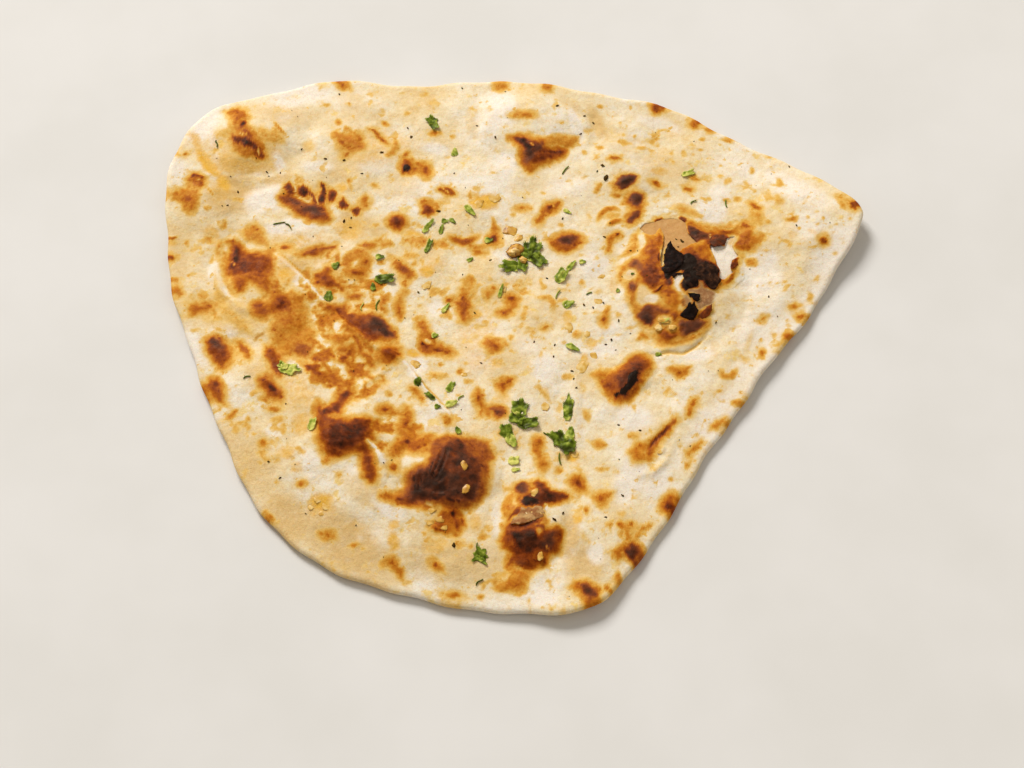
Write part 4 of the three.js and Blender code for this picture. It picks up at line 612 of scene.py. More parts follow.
# Soft ovals, for stains and for painted shade and light: x, y, half length, half width, turn, amount
# Tan stains, together with painted shade: the lower left margin, the left side and the foot of puffs are
# darkened as if shaded
TAN_AND_SHADE = [
    (-114, 62, 15, 13, 0, .42), (-108, 79, 17, 9, 10, .5), (-97, 103, 18, 9, -10, .26),
    (-66, 106, 9, 16, 15, .22), (35, 98, 4, 14, 20, .36), (-17.4, 98, 3.4, 13, 5, .18),
    (-30, 90, 16, 16, 0, .14), (46, 88, 20, 8, -15, .18), (62, 76, 16, 10, -20, .24),
    (-108, 46, 14, 6, 0, .2), (-60, 46, 14, 8, -35, .3), (-46, 66, 12, 10, 0, .2),
    (-124, 16, 18, 40, 8, .16), (-100, -12, 14, 20, 30, .2), (30, -22, 12, 10, 0, .2),
    (-2, -14, 14, 12, 0, .16), (-20, -102, 28, 12, -8, .26), (-62, -94, 30, 14, -40, .34),
    (-100, -58, 14, 26, 26, .26), (-124, -18, 6, 22, 20, .2), (26, -104, 10, 14, 0, .3),
    (21, -92, 5, 14, 0, .34), (-52, -74, 18, 8, -30, .24), (-68, 100, 26, 16, 0, .14),
    (-134, 30, 7, 22, 5, .26), (-64, 78, 14, 8, 0, .16), (10, 66, 18, 8, 0, .14),
    (-34, 30, 12, 8, -20, .2), (14, 22, 16, 10, 0, .16), (-86, 28, 7, 6, -40, .24),
    (-66, 52, 6, 5, 0, .3), (-55, -112, 16, 8, -30, .3), (-84, -84, 16, 12, -50, .32),
    (-96, 69, 9, 4, 20, .4), (24, 108, 10, 3, -35, .2), (-46, 24, 7, 5, 0, .2),
]
GOLD = [
    (-125, 77.5, 3, 13, 36, .95), (-131, 89, 3, 7, 25, .6), (-118, 68, 3.4, 6, 30, .8),
    (-17, 101, 2.6, 12, 3, .2), (-112, 84, 22, 18, 0, .44), (-56, 86, 22, 13, 0, .44),
    (-84, 34, 26, 14, 0, .46), (-108, 4, 20, 11, 0, .46), (-88, -28, 22, 13, -30, .46),
    (-14, -6, 13, 26, 0, .4), (-92, 23, 9, 7, 0, .7), (-66, 45, 8, 8, 0, .6), (-119, 63, 8, 9, 20, .35),
    (69, 54, 7, 4, -20, .75), (93, 40, 5, 6, 0, .6), (82, 46, 10, 3, 0, .6), (62, 84, 4, 3, 0, .3),
    (112, 42, 4, 3, 0, .35), (120, 44, 3, 2.4, 0, .4), (104, 60, 2, 4, 0, .4), (72, 12, 2.4, 5, -10, .3),
    (-86, 60, 14, 3, -25, .2), (-104, 76, 12, 7, 0, .35), (-15, 59, 4, 5, 20, .9),
    (-9, 59, 4.6, 3, 0, .95), (-34, 24.6, 4, 4, -20, .8), (-39, 41, 8, 4, -30, .8),
    (-38.7, -13.3, 4.6, 2.4, -20, .8), (30.7, -8.7, 3, 3, 0, .7), (27.6, -16, 2, 4, -20, .8),
    (21.3, 3.3, 2.6, 4, 0, .6), (-6, -17.5, 3.6, 3, 0, .6), (22, -58.2, 3.6, 3.4, 0, .9),
    (-70.6, -79, 7, 4, -20, .6), (-74, -81.6, 3, 2.4, 0, .5), (-85.5, -57, 4.4, 4, -20, .6),
    (-81, -63, 3.4, 3, 0, .5), (-43.6, -94, 3, 5.4, 10, .7), (-71.4, -77.4, 6, 5, 20, .75),
    (-27, -94.4, 5, 3.4, 0, .5), (-58, -88, 6, 3, 0, .35), (-35, -88, 4, 3, 0, .3),
    (-45.6, -98, 3, 2, 0, .4), (-44, -87, 3, 2.6, 0, .6), (-121, 42, 4, 7, 20, .6),
    (-70, 65, 4, 3, 0, .7), (-90, 3, 9, 10, 0, .4), (-52, -26, 7, 6, -30, .5), (-30, -47, 6, 3, 0, .4),
    (-80, -44, 6, 7, 0, .55), (86.6, 12.4, 3.4, 4, 0, .35), (24, -84, 2.6, 4, 0, .7),
    (-29, -96, 6, 4, 0, .5), (60, 73.5, 5, 3, 0, .55), (2, 20, 8, 4, 0, .3), (40, 18, 3, 6, 0, .4),
    (-107, 21, 5, 3, 0, .5), (-96, 5, 3, 3, 0, .6), (-109, 62, 6, 4, 0, .2), (12.6, -31, 2, 4, 0, .5),
    (-4, -33, 5, 4, 0, .5), (16, 3, 4, 5, 0, .3), (-84, 86, 4, 5, 0, .4), (78, -12, 4, 9, -10, .3),
    (-28, -86, 5, 4, 20, .8), (-11, 58, 8, 5.4, 10, .8), (84, 26, 2, 3, 0, .2), (-99, 1, 4, 3, 0, .4),
    (-14, -86, 3, 6, 0, .5), (-46, -8, 4, 3, 0, .3), (-20, -94, 5, 3, 0, .5), (50, 12.4, 4, 3, 0, .5),
    (46, 22, 2, 2.4, 0, .9), (-31, 29, 5, 3, 0, .4), (-9, 30, 6, 3, 0, .3),
]
# Pale dough, together with painted light: highlights on ridges and puffs, and the right side lightened as if
# it faced the light
PALE_AND_LIT = [
    (108, -4, 8, 42, -34, .75), (128, 34, 9, 20, -34, .7), (98, 22, 12, 12, 0, .6),
    (76, -44, 8, 26, -34, .6), (96, 0, 10, 18, -34, .5), (46, 64, 10, 6, 0, .4), (92, 74, 18, 8, -35, .4),
    (18, 40, 8, 8, 0, .4), (46, 30, 5, 8, 0, .6), (118, 62, 14, 8, -35, .6), (-98, 60, 14, 8, 10, .8),
    (-128, 96, 6, 14, -32, .7), (-123.5, 88, 2, 12, 14, .8), (-5, 106, 8, 12, 0, .8),
    (26, 97, 3, 12, 15, .8), (-32, 85, 8, 4, -20, .6), (-90, 112, 18, 6, 10, .6), (-3, 77, 6, 8, 0, .8),
    (-90, 46, 13, 5, 10, .8), (-137, 74, 4, 9, 0, .6), (112, 66, 16, 7, -35, .6), (80, 54, 8, 8, 0, .9),
    (84, 62, 6, 6, 0, .6), (120, 46, 10, 12, 0, .5), (32, 28, 8, 8, 0, .7), (22, 66, 12, 7, 0, .5),
    (46, -42, 10, 7, 0, .7), (12, -20, 6, 9, 0, .7), (-14, -16, 8, 6, 0, .5), (100, 30, 7, 8, 0, .7),
    (-46, -80, 9, 4, -35, .8), (-6, -84, 3, 10, 0, .5), (44, -68, 7, 14, -20, .7),
    (54, -70, 6, 10, -30, .6), (-110, -2, 6, 5, 0, .4), (-124, -10, 4, 12, 24, .95),
    (88, -22, 7, 7, 40, .5), (55, 12, 4, 2.6, 0, .9), (60, 98, 14, 5, -25, .5), (-80, 76, 9, 4, 0, .5),
    (-74, 2, 3, 5, 30, .9), (-71, -16.4, 4, 3.4, 0, .9), (-66, 13, 2.4, 2, 0, .9),
    (-84, 20, 3, 6, 35, .7), (-36, -18, 4, 4, 0, .8), (-118.6, 24, 2.4, 10, 6, .8),
    (-114, 14, 4, 3, -35, .7), (-54, -49, 2, 3, 20, .6), (-49.6, -58, 1.6, 5, -25, .9),
    (36, -12, 6, 4, 0, .7), (-30, 8, 5, 5, 0, .6), (-38, -22, 4, 3, 0, .6), (6, -10, 8, 6, 0, .4),
    (72, -14, 8, 3, 10, .8), (10, -116, 8, 4, 0, .8), (-56, 76, 10, 6, 0, .4), (88, -4, 6, 10, 20, .4),
    (-107, -62, 3, 8, 30, .3), (-76, -62, 5, 10, 20, .5), (-60, -64, 3, 3, 0, .5),
    (-104, 72, 3, 2, 0, .4), (-96, 78, 3, 8, 20, .6), (30, -98, 4, 6, 0, .6), (-90, -47, 4, 4, 0, .7),
    (120, 60, 8, 8, 0, .4),
]

# Lines: points, half width, height, then what they add: toast, char
STROKES = [
    ([(-95, 33), (-82, 20.5), (-75, 11), (-65, 0), (-54, -10), (-43, -16), (-33, -30), (-24, -40)],
     .8, .7, 0, 0),
    # Dark grooves on the upper side of the crease's step: painted shadow, in toast and char
    ([(-94, 34.6), (-80.8, 21.6), (-73.6, 12)], .45, -.7, .3, .1),
    ([(-39, -20.4), (-31.4, -30.6), (-22.6, -40.8)], .45, -.7, .22, .05),
    ([(-64, 1.2), (-53.4, -8.8)], .4, -.5, .5, .1),
    ([(-57, -50), (-52, -55), (-48.6, -61), (-47, -66)], 1, 1.1, 0, 0),
    ([(-117.7, 36), (-117.6, 24), (-115, 15), (-107.7, 8), (-100, 4)], 1.4, .8, 0, 0),
    ([(-118, 69), (-107.7, 64), (-100, 66), (-92, 73)], 2, -.35, .03, 0),
    ([(-131, 91), (-124, 78), (-118, 68)], 1.8, -.9, .05, 0),
    ([(-125.6, 98), (-123.4, 88), (-119.6, 76)], 1.5, .6, 0, 0),
    ([(16.7, 113), (25, 106), (32, 100), (35, 92), (36, 85)], 1.8, -.7, .05, 0),
    ([(29.4, 100), (31, 92), (30, 85)], 1.5, .4, 0, 0),
    ([(-15, 115), (-14, 104), (-15.5, 90)], 1.4, -.5, .04, 0),
    ([(-99.4, 99), (-96.6, 95), (-93.6, 91.4)], .5, .3, .4, 0),
    ([(-132.6, 68), (-130.4, 71.6), (-127, 70.6), (-126.6, 67)], .5, .3, .72, 0),
    ([(-124.8, 66), (-122.6, 63), (-121, 60.6)], .5, .2, .34, 0),
    ([(-138.6, 37), (-137, 40), (-134.4, 41.2)], .6, .3, .5, 0),
    ([(-110.4, 37), (-109.8, 33), (-111.6, 28)], .4, .5, .3, 0),
    ([(-26.4, 42.2), (-24, 39.8), (-20, 38.2), (-17, 39.2), (-13.4, 42)], 1.5, .3, .5, 0),
    ([(34, 48.6), (35.4, 52), (38, 54.6), (41, 55), (43.4, 53.6)], 1, .25, .44, 0),
    ([(38, 46.8), (41, 48.6), (44.4, 49.2)], 1.1, .25, .46, 0),
    ([(9, 12.2), (14, 12.4), (16, 9.6), (15.8, 6)], 1, .15, .3, 0),
    ([(79, -21), (81, -23.6), (84, -23.8), (86.4, -20)], 1.1, .2, .34, 0),
    ([(93.6, -2), (91.4, -9), (89, -14)], 1.2, .15, .1, 0),
    ([(51, -13.2), (56, -14), (60, -12.8), (66, -13.4), (70.4, -10.6), (75, -6), (76.6, -2.6)],
     .6, -.6, .16, 0),
    ([(53, -11), (58, -11.6), (63, -10.8), (69, -9.4), (72.4, -4.6)], 1.1, .35, 0, 0),
    ([(46, -67), (52, -65.8), (57, -61), (59.4, -56)], 1.1, .8, .05, 0),
    ([(50, -57), (53, -52), (57, -48), (60.4, -43.4)], .7, -.5, .8, 0),
    ([(54.4, -54), (56.6, -55), (56, -57.6)], .7, .8, 0, 0), ([(23.7, -22), (23.2, -50)], 2, .6, 0, 0),
    ([(23, -80), (22.5, -108)], 2.4, .7, 0, 0), ([(8, -30), (9, -8), (5, 12)], 2.4, .25, 0, 0),
    ([(-47, -19), (-58, -28), (-62, -26)], .8, .4, .04, 0),
    ([(100.6, 72), (108, 78), (114, 75)], .8, .2, .05, 0),
    ([(-34.9, -76), (-37, -70), (-36.9, -64.4)], .34, -.6, .96, .5),
    ([(-34.4, -75.6), (-34.4, -68.6), (-33.6, -63)], .34, -.6, .96, .6),
    ([(-33.6, -75), (-31.6, -67.2), (-30, -60.8), (-28.8, -57)], .34, -.7, .96, .6),
    ([(-33.2, -74.6), (-30, -66.4), (-27.4, -59.2), (-26.4, -54.2)], .34, -.7, .96, .7),
    ([(-32.6, -74.4), (-28, -66.8), (-25.4, -60), (-24.4, -55)], .34, -.6, .96, .5),
    ([(-33, -76.2), (-27, -76.4), (-20, -77.4)], .34, -.5, .96, .6),
    ([(-32, -75), (-25.4, -72.8), (-19.4, -70.4)], .3, -.4, .92, .3),
    ([(-35.4, -76), (-37.8, -70), (-38, -64.6)], .4, .8, 0, 0),
    ([(-34.8, -75.6), (-36.2, -69), (-35.4, -64)], .4, .8, 0, 0),
    ([(-34.4, -75.2), (-33.4, -68), (-32, -63)], .4, .9, 0, 0),
    ([(-34, -75), (-31.4, -67), (-29, -60), (-28, -56)], .45, 1, 0, 0),
    ([(-33.8, -74.8), (-29.4, -66.5), (-26.4, -59), (-25.6, -54)], .45, 1, 0, 0),
    ([(-33.4, -74.6), (-27.6, -67), (-24.8, -60), (-23.6, -55)], .45, .8, 0, 0),
    ([(-32.6, -74.6), (-27, -70), (-22.6, -66)], .6, .5, 0, 0),
    ([(-34, -75), (-28, -74.6), (-22, -76)], .5, .8, 0, .1),
    ([(-33, -76.6), (-27, -76.4), (-20, -77.6), (-15.4, -77.2)], .5, 1, .95, .2),
    ([(-18.6, -68.4), (-16.6, -69.4), (-15.4, -71)], .4, .5, 0, .3),
    # The dark line under the grey flap's lifted edge: painted shadow
    ([(-1, -87.4), (2, -87.6), (5, -86.6), (8, -85.2), (10.6, -83.8)], .5, -.3, .96, .4),
    ([(-29.8, -86.6), (-28.6, -89), (-25.4, -90)], .6, .5, .62, 0),
    # The dark crescent under the raised tongue of skin: painted shadow
    ([(58.8, 19.4), (58.4, 17.4), (57, 15.4), (54.8, 14.8)], .4, .5, .96, .4),
    ([(66.6, 12.4), (66.9, 9.4), (67.8, 7.4)], .35, .3, .9, .1),
    ([(58.4, 34), (57.8, 31), (58.2, 28)], .4, .3, .75, 0),
    ([(64.8, -3.4), (65.4, -.6), (66.6, 1.4)], .4, .4, .3, 0),
]
# Thin pale lines and flecks: torn skin, and painted highlights where the crease's lip and the blisters catch
# the light. Points and half width
PALE_LINES_AND_GLINTS = [
    ([(-88.7, 65.6), (-88.3, 63), (-88.4, 61)], .28),
    ([(-86.8, 60.6), (-84.6, 58.8), (-82.2, 58), (-81.6, 60)], .45),
    ([(-112.8, 92.6), (-111.6, 92), (-110.6, 92.6)], .5), ([(-105, 84.4), (-104.6, 82.4)], .45),
    ([(7.4, 87.6), (8.4, 86.4)], .4), ([(-79.6, 60), (-78.8, 57)], .25),
    ([(-111.4, 29), (-110.8, 27.4)], .35), ([(-128.8, 69.4), (-127.6, 69.2)], .35),
    ([(78.9, 42.4), (79, 40.4)], .3), ([(16, 56.4), (16.6, 56)], .3), ([(-28.8, 65), (-28, 64.6)], .3),
    ([(12.4, -95.8), (12.8, -97)], .3), ([(-95, 33), (-82, 20.5), (-75, 11)], .45),
    ([(-42, -17), (-33, -30), (-24, -40)], .38), ([(-55, -51.6), (-52, -55), (-48.6, -61)], .7),
    ([(12, -78.2), (12.6, -79.4), (11.8, -80.6)], .4), ([(-27, 63.6), (-26.4, 63.1)], .3),
    ([(-33.6, -7.6), (-32.6, -8.4)], .9), ([(-32, -78), (-30.4, -78.6)], .6),
]

# ---------------------------------------------------------------------------------------------
# Toppings, in millimetres on the bread
# ---------------------------------------------------------------------------------------------

# Coriander leaflets: x, y, length, width, turn, lobes, tone 0 dark to 1 yellow green
LEAVES = [
    (7.4, 35.4, 12.5, 9, 80, 5, .3), (-1.6, 27, 9.4, 6.6, 190, 5, .4), (10, 29.6, 8, 6.4, -50, 4, .25),
    (3.6, 26.8, 6, 4.6, -100, 4, .2), (4.4, 31.4, 6, 4.4, 20, 3, .15), (2.5, -37, 8, 7.4, 80, 5, .4),
    (5.8, -44.4, 8.6, 5.2, 10, 4, .15), (1.4, -42.4, 6.2, 5.4, -30, 4, .25),
    (-2.6, -47.6, 6, 5.8, 95, 4, .35), (-0.4, -52.2, 6.4, 4.4, -60, 3, .65),
    (17, -50.8, 7.6, 6.4, 120, 4, .2), (20.2, -54.5, 8.6, 7.4, -100, 5, .12),
    (21.6, -48.6, 6.4, 3.8, 80, 3, .45), (14.2, -49.6, 4, 2.4, 150, 3, .25),
    (21, -37.3, 12, 4.4, 88, 5, .4), (19.3, 22.3, 7.4, 5, 60, 4, .5), (23.3, 27.3, 5.8, 2.4, 50, 3, .6),
    (27.7, 29, 2.8, 2.2, 0, 3, .7), (22, 9.3, 5.4, 4, 20, 3, .55), (23.3, -11, 6.4, 2.9, -35, 3, .45),
    (-50.7, 20.7, 8.4, 5, 0, 4, .15), (-55.3, 17.3, 4, 2.4, 90, 3, .2), (-72.7, 13, 4.8, 3.8, 90, 3, .3),
    (-70.3, 27.3, 3.8, 3.4, 40, 3, .3), (-85.7, -20.7, 9.4, 6.4, -10, 5, .75),
    (-88.8, -19, 4.4, 3.4, 150, 4, .7), (-33.8, 99.4, 4.8, 4.4, 140, 4, .3),
    (-32.6, 96.6, 5, 3.8, -60, 4, .35), (-24, 83.1, 4.4, 3, 90, 3, .65),
    (-17.3, 53.7, 6.8, 3.2, -50, 3, .6), (-34, 46.3, 7.4, 2.7, 55, 3, .55),
    (-27.3, 48.7, 3, 2.7, 0, 3, .5), (-24.3, 48.7, 3.6, 2.1, -45, 3, .45),
    (-28.7, 44.7, 4.4, 2.3, 75, 3, .5), (-33.7, 36.5, 6.8, 2.4, 70, 4, .25),
    (-9.7, 39.3, 3.6, 3.2, 0, 3, .45), (71.7, 72.3, 6.4, 3, 25, 4, .8), (22, 53.3, 3.8, 2.1, -35, 3, .7),
    (-26.3, 7.3, 5.4, 2.2, 55, 3, .6), (-4.7, 15.3, 6.4, 1.9, 75, 3, .5), (-30.3, -5.3, 3, 2.7, 0, 3, .5),
    (-36.3, -25.7, 4, 3.4, 60, 3, .15), (-31.7, -32.3, 5, 2.3, 140, 4, .15),
    (-28.7, -37, 2.6, 2.3, 0, 3, .25), (-24, -28.3, 5.4, 2.8, 65, 4, .45),
    (-23.3, -35.7, 5.4, 3.4, 20, 3, .85), (-21, -47.3, 3.4, 2.4, 120, 3, .35),
    (0.3, -60.4, 4.6, 4, 0, 4, .9), (1, -64.2, 3.4, 2.1, 0, 3, .8), (-12, -98.8, 6.4, 5.4, 110, 5, .35),
    (-13.6, -100.8, 3.8, 2.2, 215, 3, .3), (-10.8, -102, 3.8, 2, -45, 3, .25),
    (-76.3, -44.7, 5.4, 3.4, 80, 4, .9), (56.3, -13.9, 2.6, 2, 0, 3, .5), (-53, 31.3, 3.6, 3.2, 0, 3, .4),
    (41.3, 15.6, 2.2, 1.6, 100, 3, .3), (-17, 30, 2.8, 2, 30, 3, .4), (59.4, 1.5, 3.6, 2, 10, 3, .85),
    (47.4, 23.4, 1.4, 1.1, 0, 3, .1),
]
# Stems and slivers: x, y, length, turn, tone
STEMS = [
    (-94, 47.2, 5, 5, .3), (-90.2, 46.2, 3.6, -40, .2), (17.9, 13.5, 4.5, 60, .6),
    (21.7, 73.7, 5, 50, .35), (86.5, 57.1, 4, 90, .4), (73, 58.1, 3, 45, .4), (-12.3, -110, 3.5, 50, .2),
    (-102.3, -24, 3, 20, .3), (-122.3, 87, 3.4, -70, .2), (-13, -96, 3.4, 105, .25),
    (17.9, -59.6, 5, 92, .3), (-53, 8.7, 5.4, 80, .35), (-59.3, 8, 4, 90, .9), (12.8, -48.8, 3, 150, .3),
    (-20, -33, 3, 50, .6), (30, 14, 2.6, 20, .4),
]
# Garlic: x, y, length, width, height, turn, tone 0 golden to 1 cream
GARLIC = [
    (0.9, 33.9, 7.6, 6.6, 2, 20, .3), (0.2, 33, 4.6, 3.8, 2.8, 25, .8),
    (-0.7, 43.7, 5.4, 4.8, 0.4, 0, .42), (2.4, 40.2, 3.6, 2.6, .4, 40, .45),
    (4, 29.6, 3, 3.4, 1.6, 30, .6), (-18.5, -62.4, 2.8, 3.8, .5, 20, .34),
    (-17.6, -71.9, 3, 3.8, .5, -20, .34), (8, -73.8, 3.2, 3.6, .6, -20, .55),
    (9.7, -99.6, 2.6, 3.4, .5, 10, .5), (59, 1.6, 5, 3, .5, -20, .45), (56.8, -1.6, 3.2, 3, .8, 0, .75),
    (62.2, -1.6, 3, 2.6, .8, 30, .6), (-30, -81, 3, 2.6, .2, 0, .5), (-8, 60, 6, 4.4, .12, -15, .6),
    (-13.6, 57.4, 4.4, 3, .12, 60, .6), (23, -57.6, 3, 2.4, .15, 0, .65),
    (55.6, -56.6, 2.2, 1.8, .2, 30, .6), (26.8, -19.4, 4, 5.4, .15, -10, .62),
    (31, -14.6, 2.8, 4, .12, 10, .6), (-34.4, 18.6, 4, 4.4, .12, -40, .62),
    (-38.9, -18, 6, 3.6, .15, -20, .6), (21.8, -1.6, 3, 4.4, .12, 0, .62),
    (12, -36.8, 3, 4.6, .12, 20, .62), (-18.8, -23, 2.2, 2, .15, 0, .5),
    (-4.2, 16.6, 3.6, 3.8, .15, 0, .6), (33.2, 10, 3.6, 3.6, .1, 0, .7),
    (28.8, -4.6, 2.4, 2.8, .1, 0, .7), (35.4, 22, 2.4, 2, .1, 0, .65),
    (-72.4, -76.6, 3.6, 2.8, .12, 20, .6), (-69.4, -79.4, 3.2, 2.6, .12, -30, .62),
    (-74.6, -79.6, 2.8, 2.2, .1, 50, .58), (-70.8, -82.2, 2.6, 2, .1, 0, .6),
    (-27, -84.6, 3.6, 2.8, .14, 30, .4), (-25.4, -88, 3, 2.2, .14, -20, .38),
    (-30.6, -86, 2.4, 2.4, .12, 0, .5),
]
# Dark herb specks: x, y, and a share of the usual size
SPECK_SIZE = 1.2
SPECKS = [
    (-111.7, 63, 1), (-115.5, 56.5, .8), (-77, 79.7, 1.1), (-69.3, 79, 1), (-54, 83, 1.2),
    (-68, 48.7, 1.3), (-65.2, 50.4, .8), (-65.4, 45.6, .8), (-61.7, 72.3, .8), (-72.7, 113.1, .9),
    (-42.1, 90.8, 1.3), (-43.6, 95.4, .8), (-21.3, 116.2, .9), (18.5, 107.1, 1.2), (29.7, 101.8, 1),
    (33.3, 98.1, 1), (-7.3, 90.7, 1), (36.7, 76.3, 1.4), (34.5, 73.5, .8), (38, 70.3, 2.3),
    (114, 46.7, .8), (113.1, 75.8, .8), (-37.3, 14.7, .9), (-9, 29.9, .9), (-15, 5.1, .8),
    (-12.3, -17.7, .8), (8.2, -8.1, .8), (16.2, -9.5, .8), (22.7, -21.3, .9), (23.3, -24.7, .8),
    (24.2, -28.7, .8), (38.3, -7.3, 1), (36, -9.3, .8), (27.9, 8.8, 1), (31.5, 7.5, .9), (35.5, 9.8, .8),
    (41.3, 1.5, .9), (15.7, -14.8, .8), (13.5, 21.3, .9), (100.7, 12.7, .8), (79.3, .8, .8),
    (48.1, -47.3, .9), (40.7, -74.9, .9), (34.2, -83.8, .8), (15.2, -84.7, 1.4), (18.5, -82.2, 1.1),
    (40.1, -45, .8), (-87, -67.5, .8), (-91.7, -60.7, .8), (-21.7, -95.3, 1.4), (-30, 53.6, 1.3),
    (20, 50, .9), (36.6, 41, 1), (-14.9, 96.6, .8), (28, 92.4, .8), (-24, 72.4, .7), (67.6, 39.5, 1.3),
    (68, 39.1, .9), (65.4, 40.3, .8), (66.1, 36.7, .6), (-87, 84.6, .7), (-100.6, 73, .8),
    (-95, 72.6, .7), (47, 34.4, .8), (-122.6, 88.6, .9),
]
SCATTER_COUNT = 90  # still finer specks, spread by a seeded rule
SCATTER_SEED = 41
SCATTER_SIZES = (0.25, 0.6)
SCATTER_MARGIN = 5  # how far from the rim they stay
COARSE_SKIP = 16  # one rim point in this many is near enough to tell what is on the bread

# ---------------------------------------------------------------------------------------------
# Torn skin: outlines round the openings in the roofs, and loose flaps on them
# ---------------------------------------------------------------------------------------------

BURST_TEARS = [
    "51,45 53,47.5 57,48.3 60,49.6 64,50 67,49.6 69.5,48 69.6,46 70,44.6 70.2,43 72,40.6 73.5,38.5 "
    "70.5,37 68,35.5 66.5,33.9 64.9,35 64,36.6 63,38.6 61.9,37.4 61.3,35.6 61,34 60.3,31.5 59.8,29 "
    "59,26.6 58.7,30 59,33 59.7,36 60.3,39 60.5,41.5 60,43.5 59,45.6 58,44.2 57,42.4 55,42 53.4,42.6 "
    "52,43.8",
    "79,37.2 80,36.3 82.6,36.6 84.6,36.8 85,38.5 85.6,40 87,41 88.8,41.2 88.4,39.4 87.4,37 88,35 89,33 "
    "90,31.8 88.5,30.5 87.2,29 86.4,27.4 86.3,25.2 87.6,24 85.8,22.8 84,21 82.8,20.9 81.9,21.8 "
    "81.9,23.8 82.2,25.4 81.2,27.2 80.8,29 80.2,31.5 79.4,34 78.8,36",
]

ROOF_REACH = 5.6  # how far a roof is made past its openings
UNDERCUT = (2.2, 4.2)  # where the crumb under a roof starts and ends its rise to meet it
CLOSED_ABOVE = (42.0, 50.5)  # the skin gapes less and less between these, up to its top edge
CRUMB_DEPTH = 0.25  # bare crumb below the skin, at least
CRUMB_SHARE = 0.12  # and this share of the blister's own height

# Flaps: outline, places where it starts and ends, its lift at each, toast, purple, char
LOWER_CHAR = (
    "69.4,9.8 70.2,8.8 71.2,10 71.8,7.6 72.8,6 72.2,4.4 70.4,2 68.6,1.8 67.4,2.8 65.4,3.8 66.4,5.4 "
    "68,7.2 68.6,8.8"
)
UPPER_CHAR = (
    "62.9,38.6 63.8,36.2 65,34.8 66.8,33.4 68.4,32.4 67.6,29 66,26 63.6,24.6 61,23.4 59.2,25 60,27.4 "
    "60.1,31.4 61.2,35.6"
)
RIGHT_CHAR = (
    "73.6,28.6 75.4,28.2 76.4,29.6 77.4,29 78,27.6 80.2,27.2 81.8,24.6 80.8,23 82.4,20.2 80.8,17.6 "
    "79.6,16 78,16.4 76,19 74.6,21.4 72.4,23 71.4,26"
)
LEFT_CHAR = (
    "62.8,22.4 64.6,23.8 67,23.8 70,24.6 71,22.4 73.4,20 73,17.6 70,17 68.4,18 67.6,20.4 67.4,23 65,23 "
    "63.8,21"
)
UPPER_FLAP = "79,41 78.6,38.8 79.8,36.2 82.8,36.2 85.2,38 85.6,40.4 84,41.8 81,41.8"
GREY_FLAP = (
    "-.8,-86.6 -.4,-84.8 1.2,-83.4 2.6,-82 3,-79.6 5,-79.7 8,-79.3 10.6,-79.2 11.8,-80.8 11.8,-82.6 "
    "10.6,-83.9 8,-85 5,-86.2 1.8,-86.9"
)
FLAPS = [
    (LOWER_CHAR, (66, 4), (71, 9), .2, 1, .97, .1, 1),
    (MIDDLE_CHAR, (69.6, 12), (73.4, 13), .15, .7, .97, .1, 1),
    (UPPER_CHAR, (66, 26), (62.6, 38), .2, .9, .97, 0, 1),
    (RIGHT_CHAR, (73, 23), (82, 22), .1, .8, .97, .8, 1),
    (LEFT_CHAR, (70, 22), (64, 22), .1, .5, .97, .4, 1),
    (LOWER_FLAP, (72.4, 3.4), (77.6, 8), .1, 1, .68, .2, 0),
    (UPPER_FLAP, (82, 42), (82.4, 36.2), .1, .9, .8, .6, 0),
    (RIGHT_FLAP, (90, 31), (86.4, 25.4), .1, .8, .68, .2, 0),
    (GREY_FLAP, (6.4, -79), (4, -86.6), .02, .45, .12, .9, 0),
]

# ---------------------------------------------------------------------------------------------
# Helpers
# ---------------------------------------------------------------------------------------------


FAR = 1e9  # farther than any place on the bread
NOISE_CELLS = 256
NOISE_GAIN = 1.5  # brings the noise to about -1 to 1
OTHER_SEEDS = 50  # added to the seeds of noise that shifts y, so that it differs from the one for x


def make_noise(seed):
    """Smooth gradient noise of about -1 to 1, the same on every run."""
    angles = np.random.default_rng(seed).random((NOISE_CELLS, NOISE_CELLS)) * 2 * np.pi

    def noise(x, y, size):
        u, v = np.asarray(x) / size, np.asarray(y) / size
        i, j = np.floor(u).astype(int), np.floor(v).astype(int)
        fu, fv = u - i, v - j

        def corner(di, dj):
            angle = angles[(i + di) % NOISE_CELLS, (j + dj) % NOISE_CELLS]
            return np.cos(angle) * (fu - di) + np.sin(angle) * (fv - dj)

        def eased(t):
            return t ** 3 * (t * (t * 6 - 15) + 10)

        su, sv = eased(fu), eased(fv)
        low = corner(0, 0) * (1 - su) + corner(1, 0) * su
        high = corner(0, 1) * (1 - su) + corner(1, 1) * su
        return NOISE_GAIN * (low * (1 - sv) + high * sv)

    return noise


def layered(x, y, layers, seed_shift=0):
    """Layers of noise added up. Each has its size, its amount and its seed."""
    return sum(amount * make_noise(seed + seed_shift)(x, y, size) for size, amount, seed in layers)


def smooth(value, low=0.0, high=1.0):
    t = np.clip((value - low) / (high - low), 0, 1)
    return t * t * (3 - 2 * t)


def fading(distance, soft, start, end):
    """1 inside a border and 0 outside: it falls between two multiples of the softness."""
    return 1 - smooth(distance, start * soft, end * soft)


def raise_to(mask, near, values):
    """Bring the mask up to the values at the places near."""
    mask[near] = np.maximum(mask[near], values)


def moved(x, y, along, across, angle):
    """The places along and across a direction from x, y. The angle is in radians."""
    cos, sin = math.cos(angle), math.sin(angle)
    return x + along * cos - across * sin, y + along * sin + across * cos


def corners_of(text):
    """Corner points from their text."""
    return [tuple(float(part) for part in pair.split(",")) for pair in text.split()]


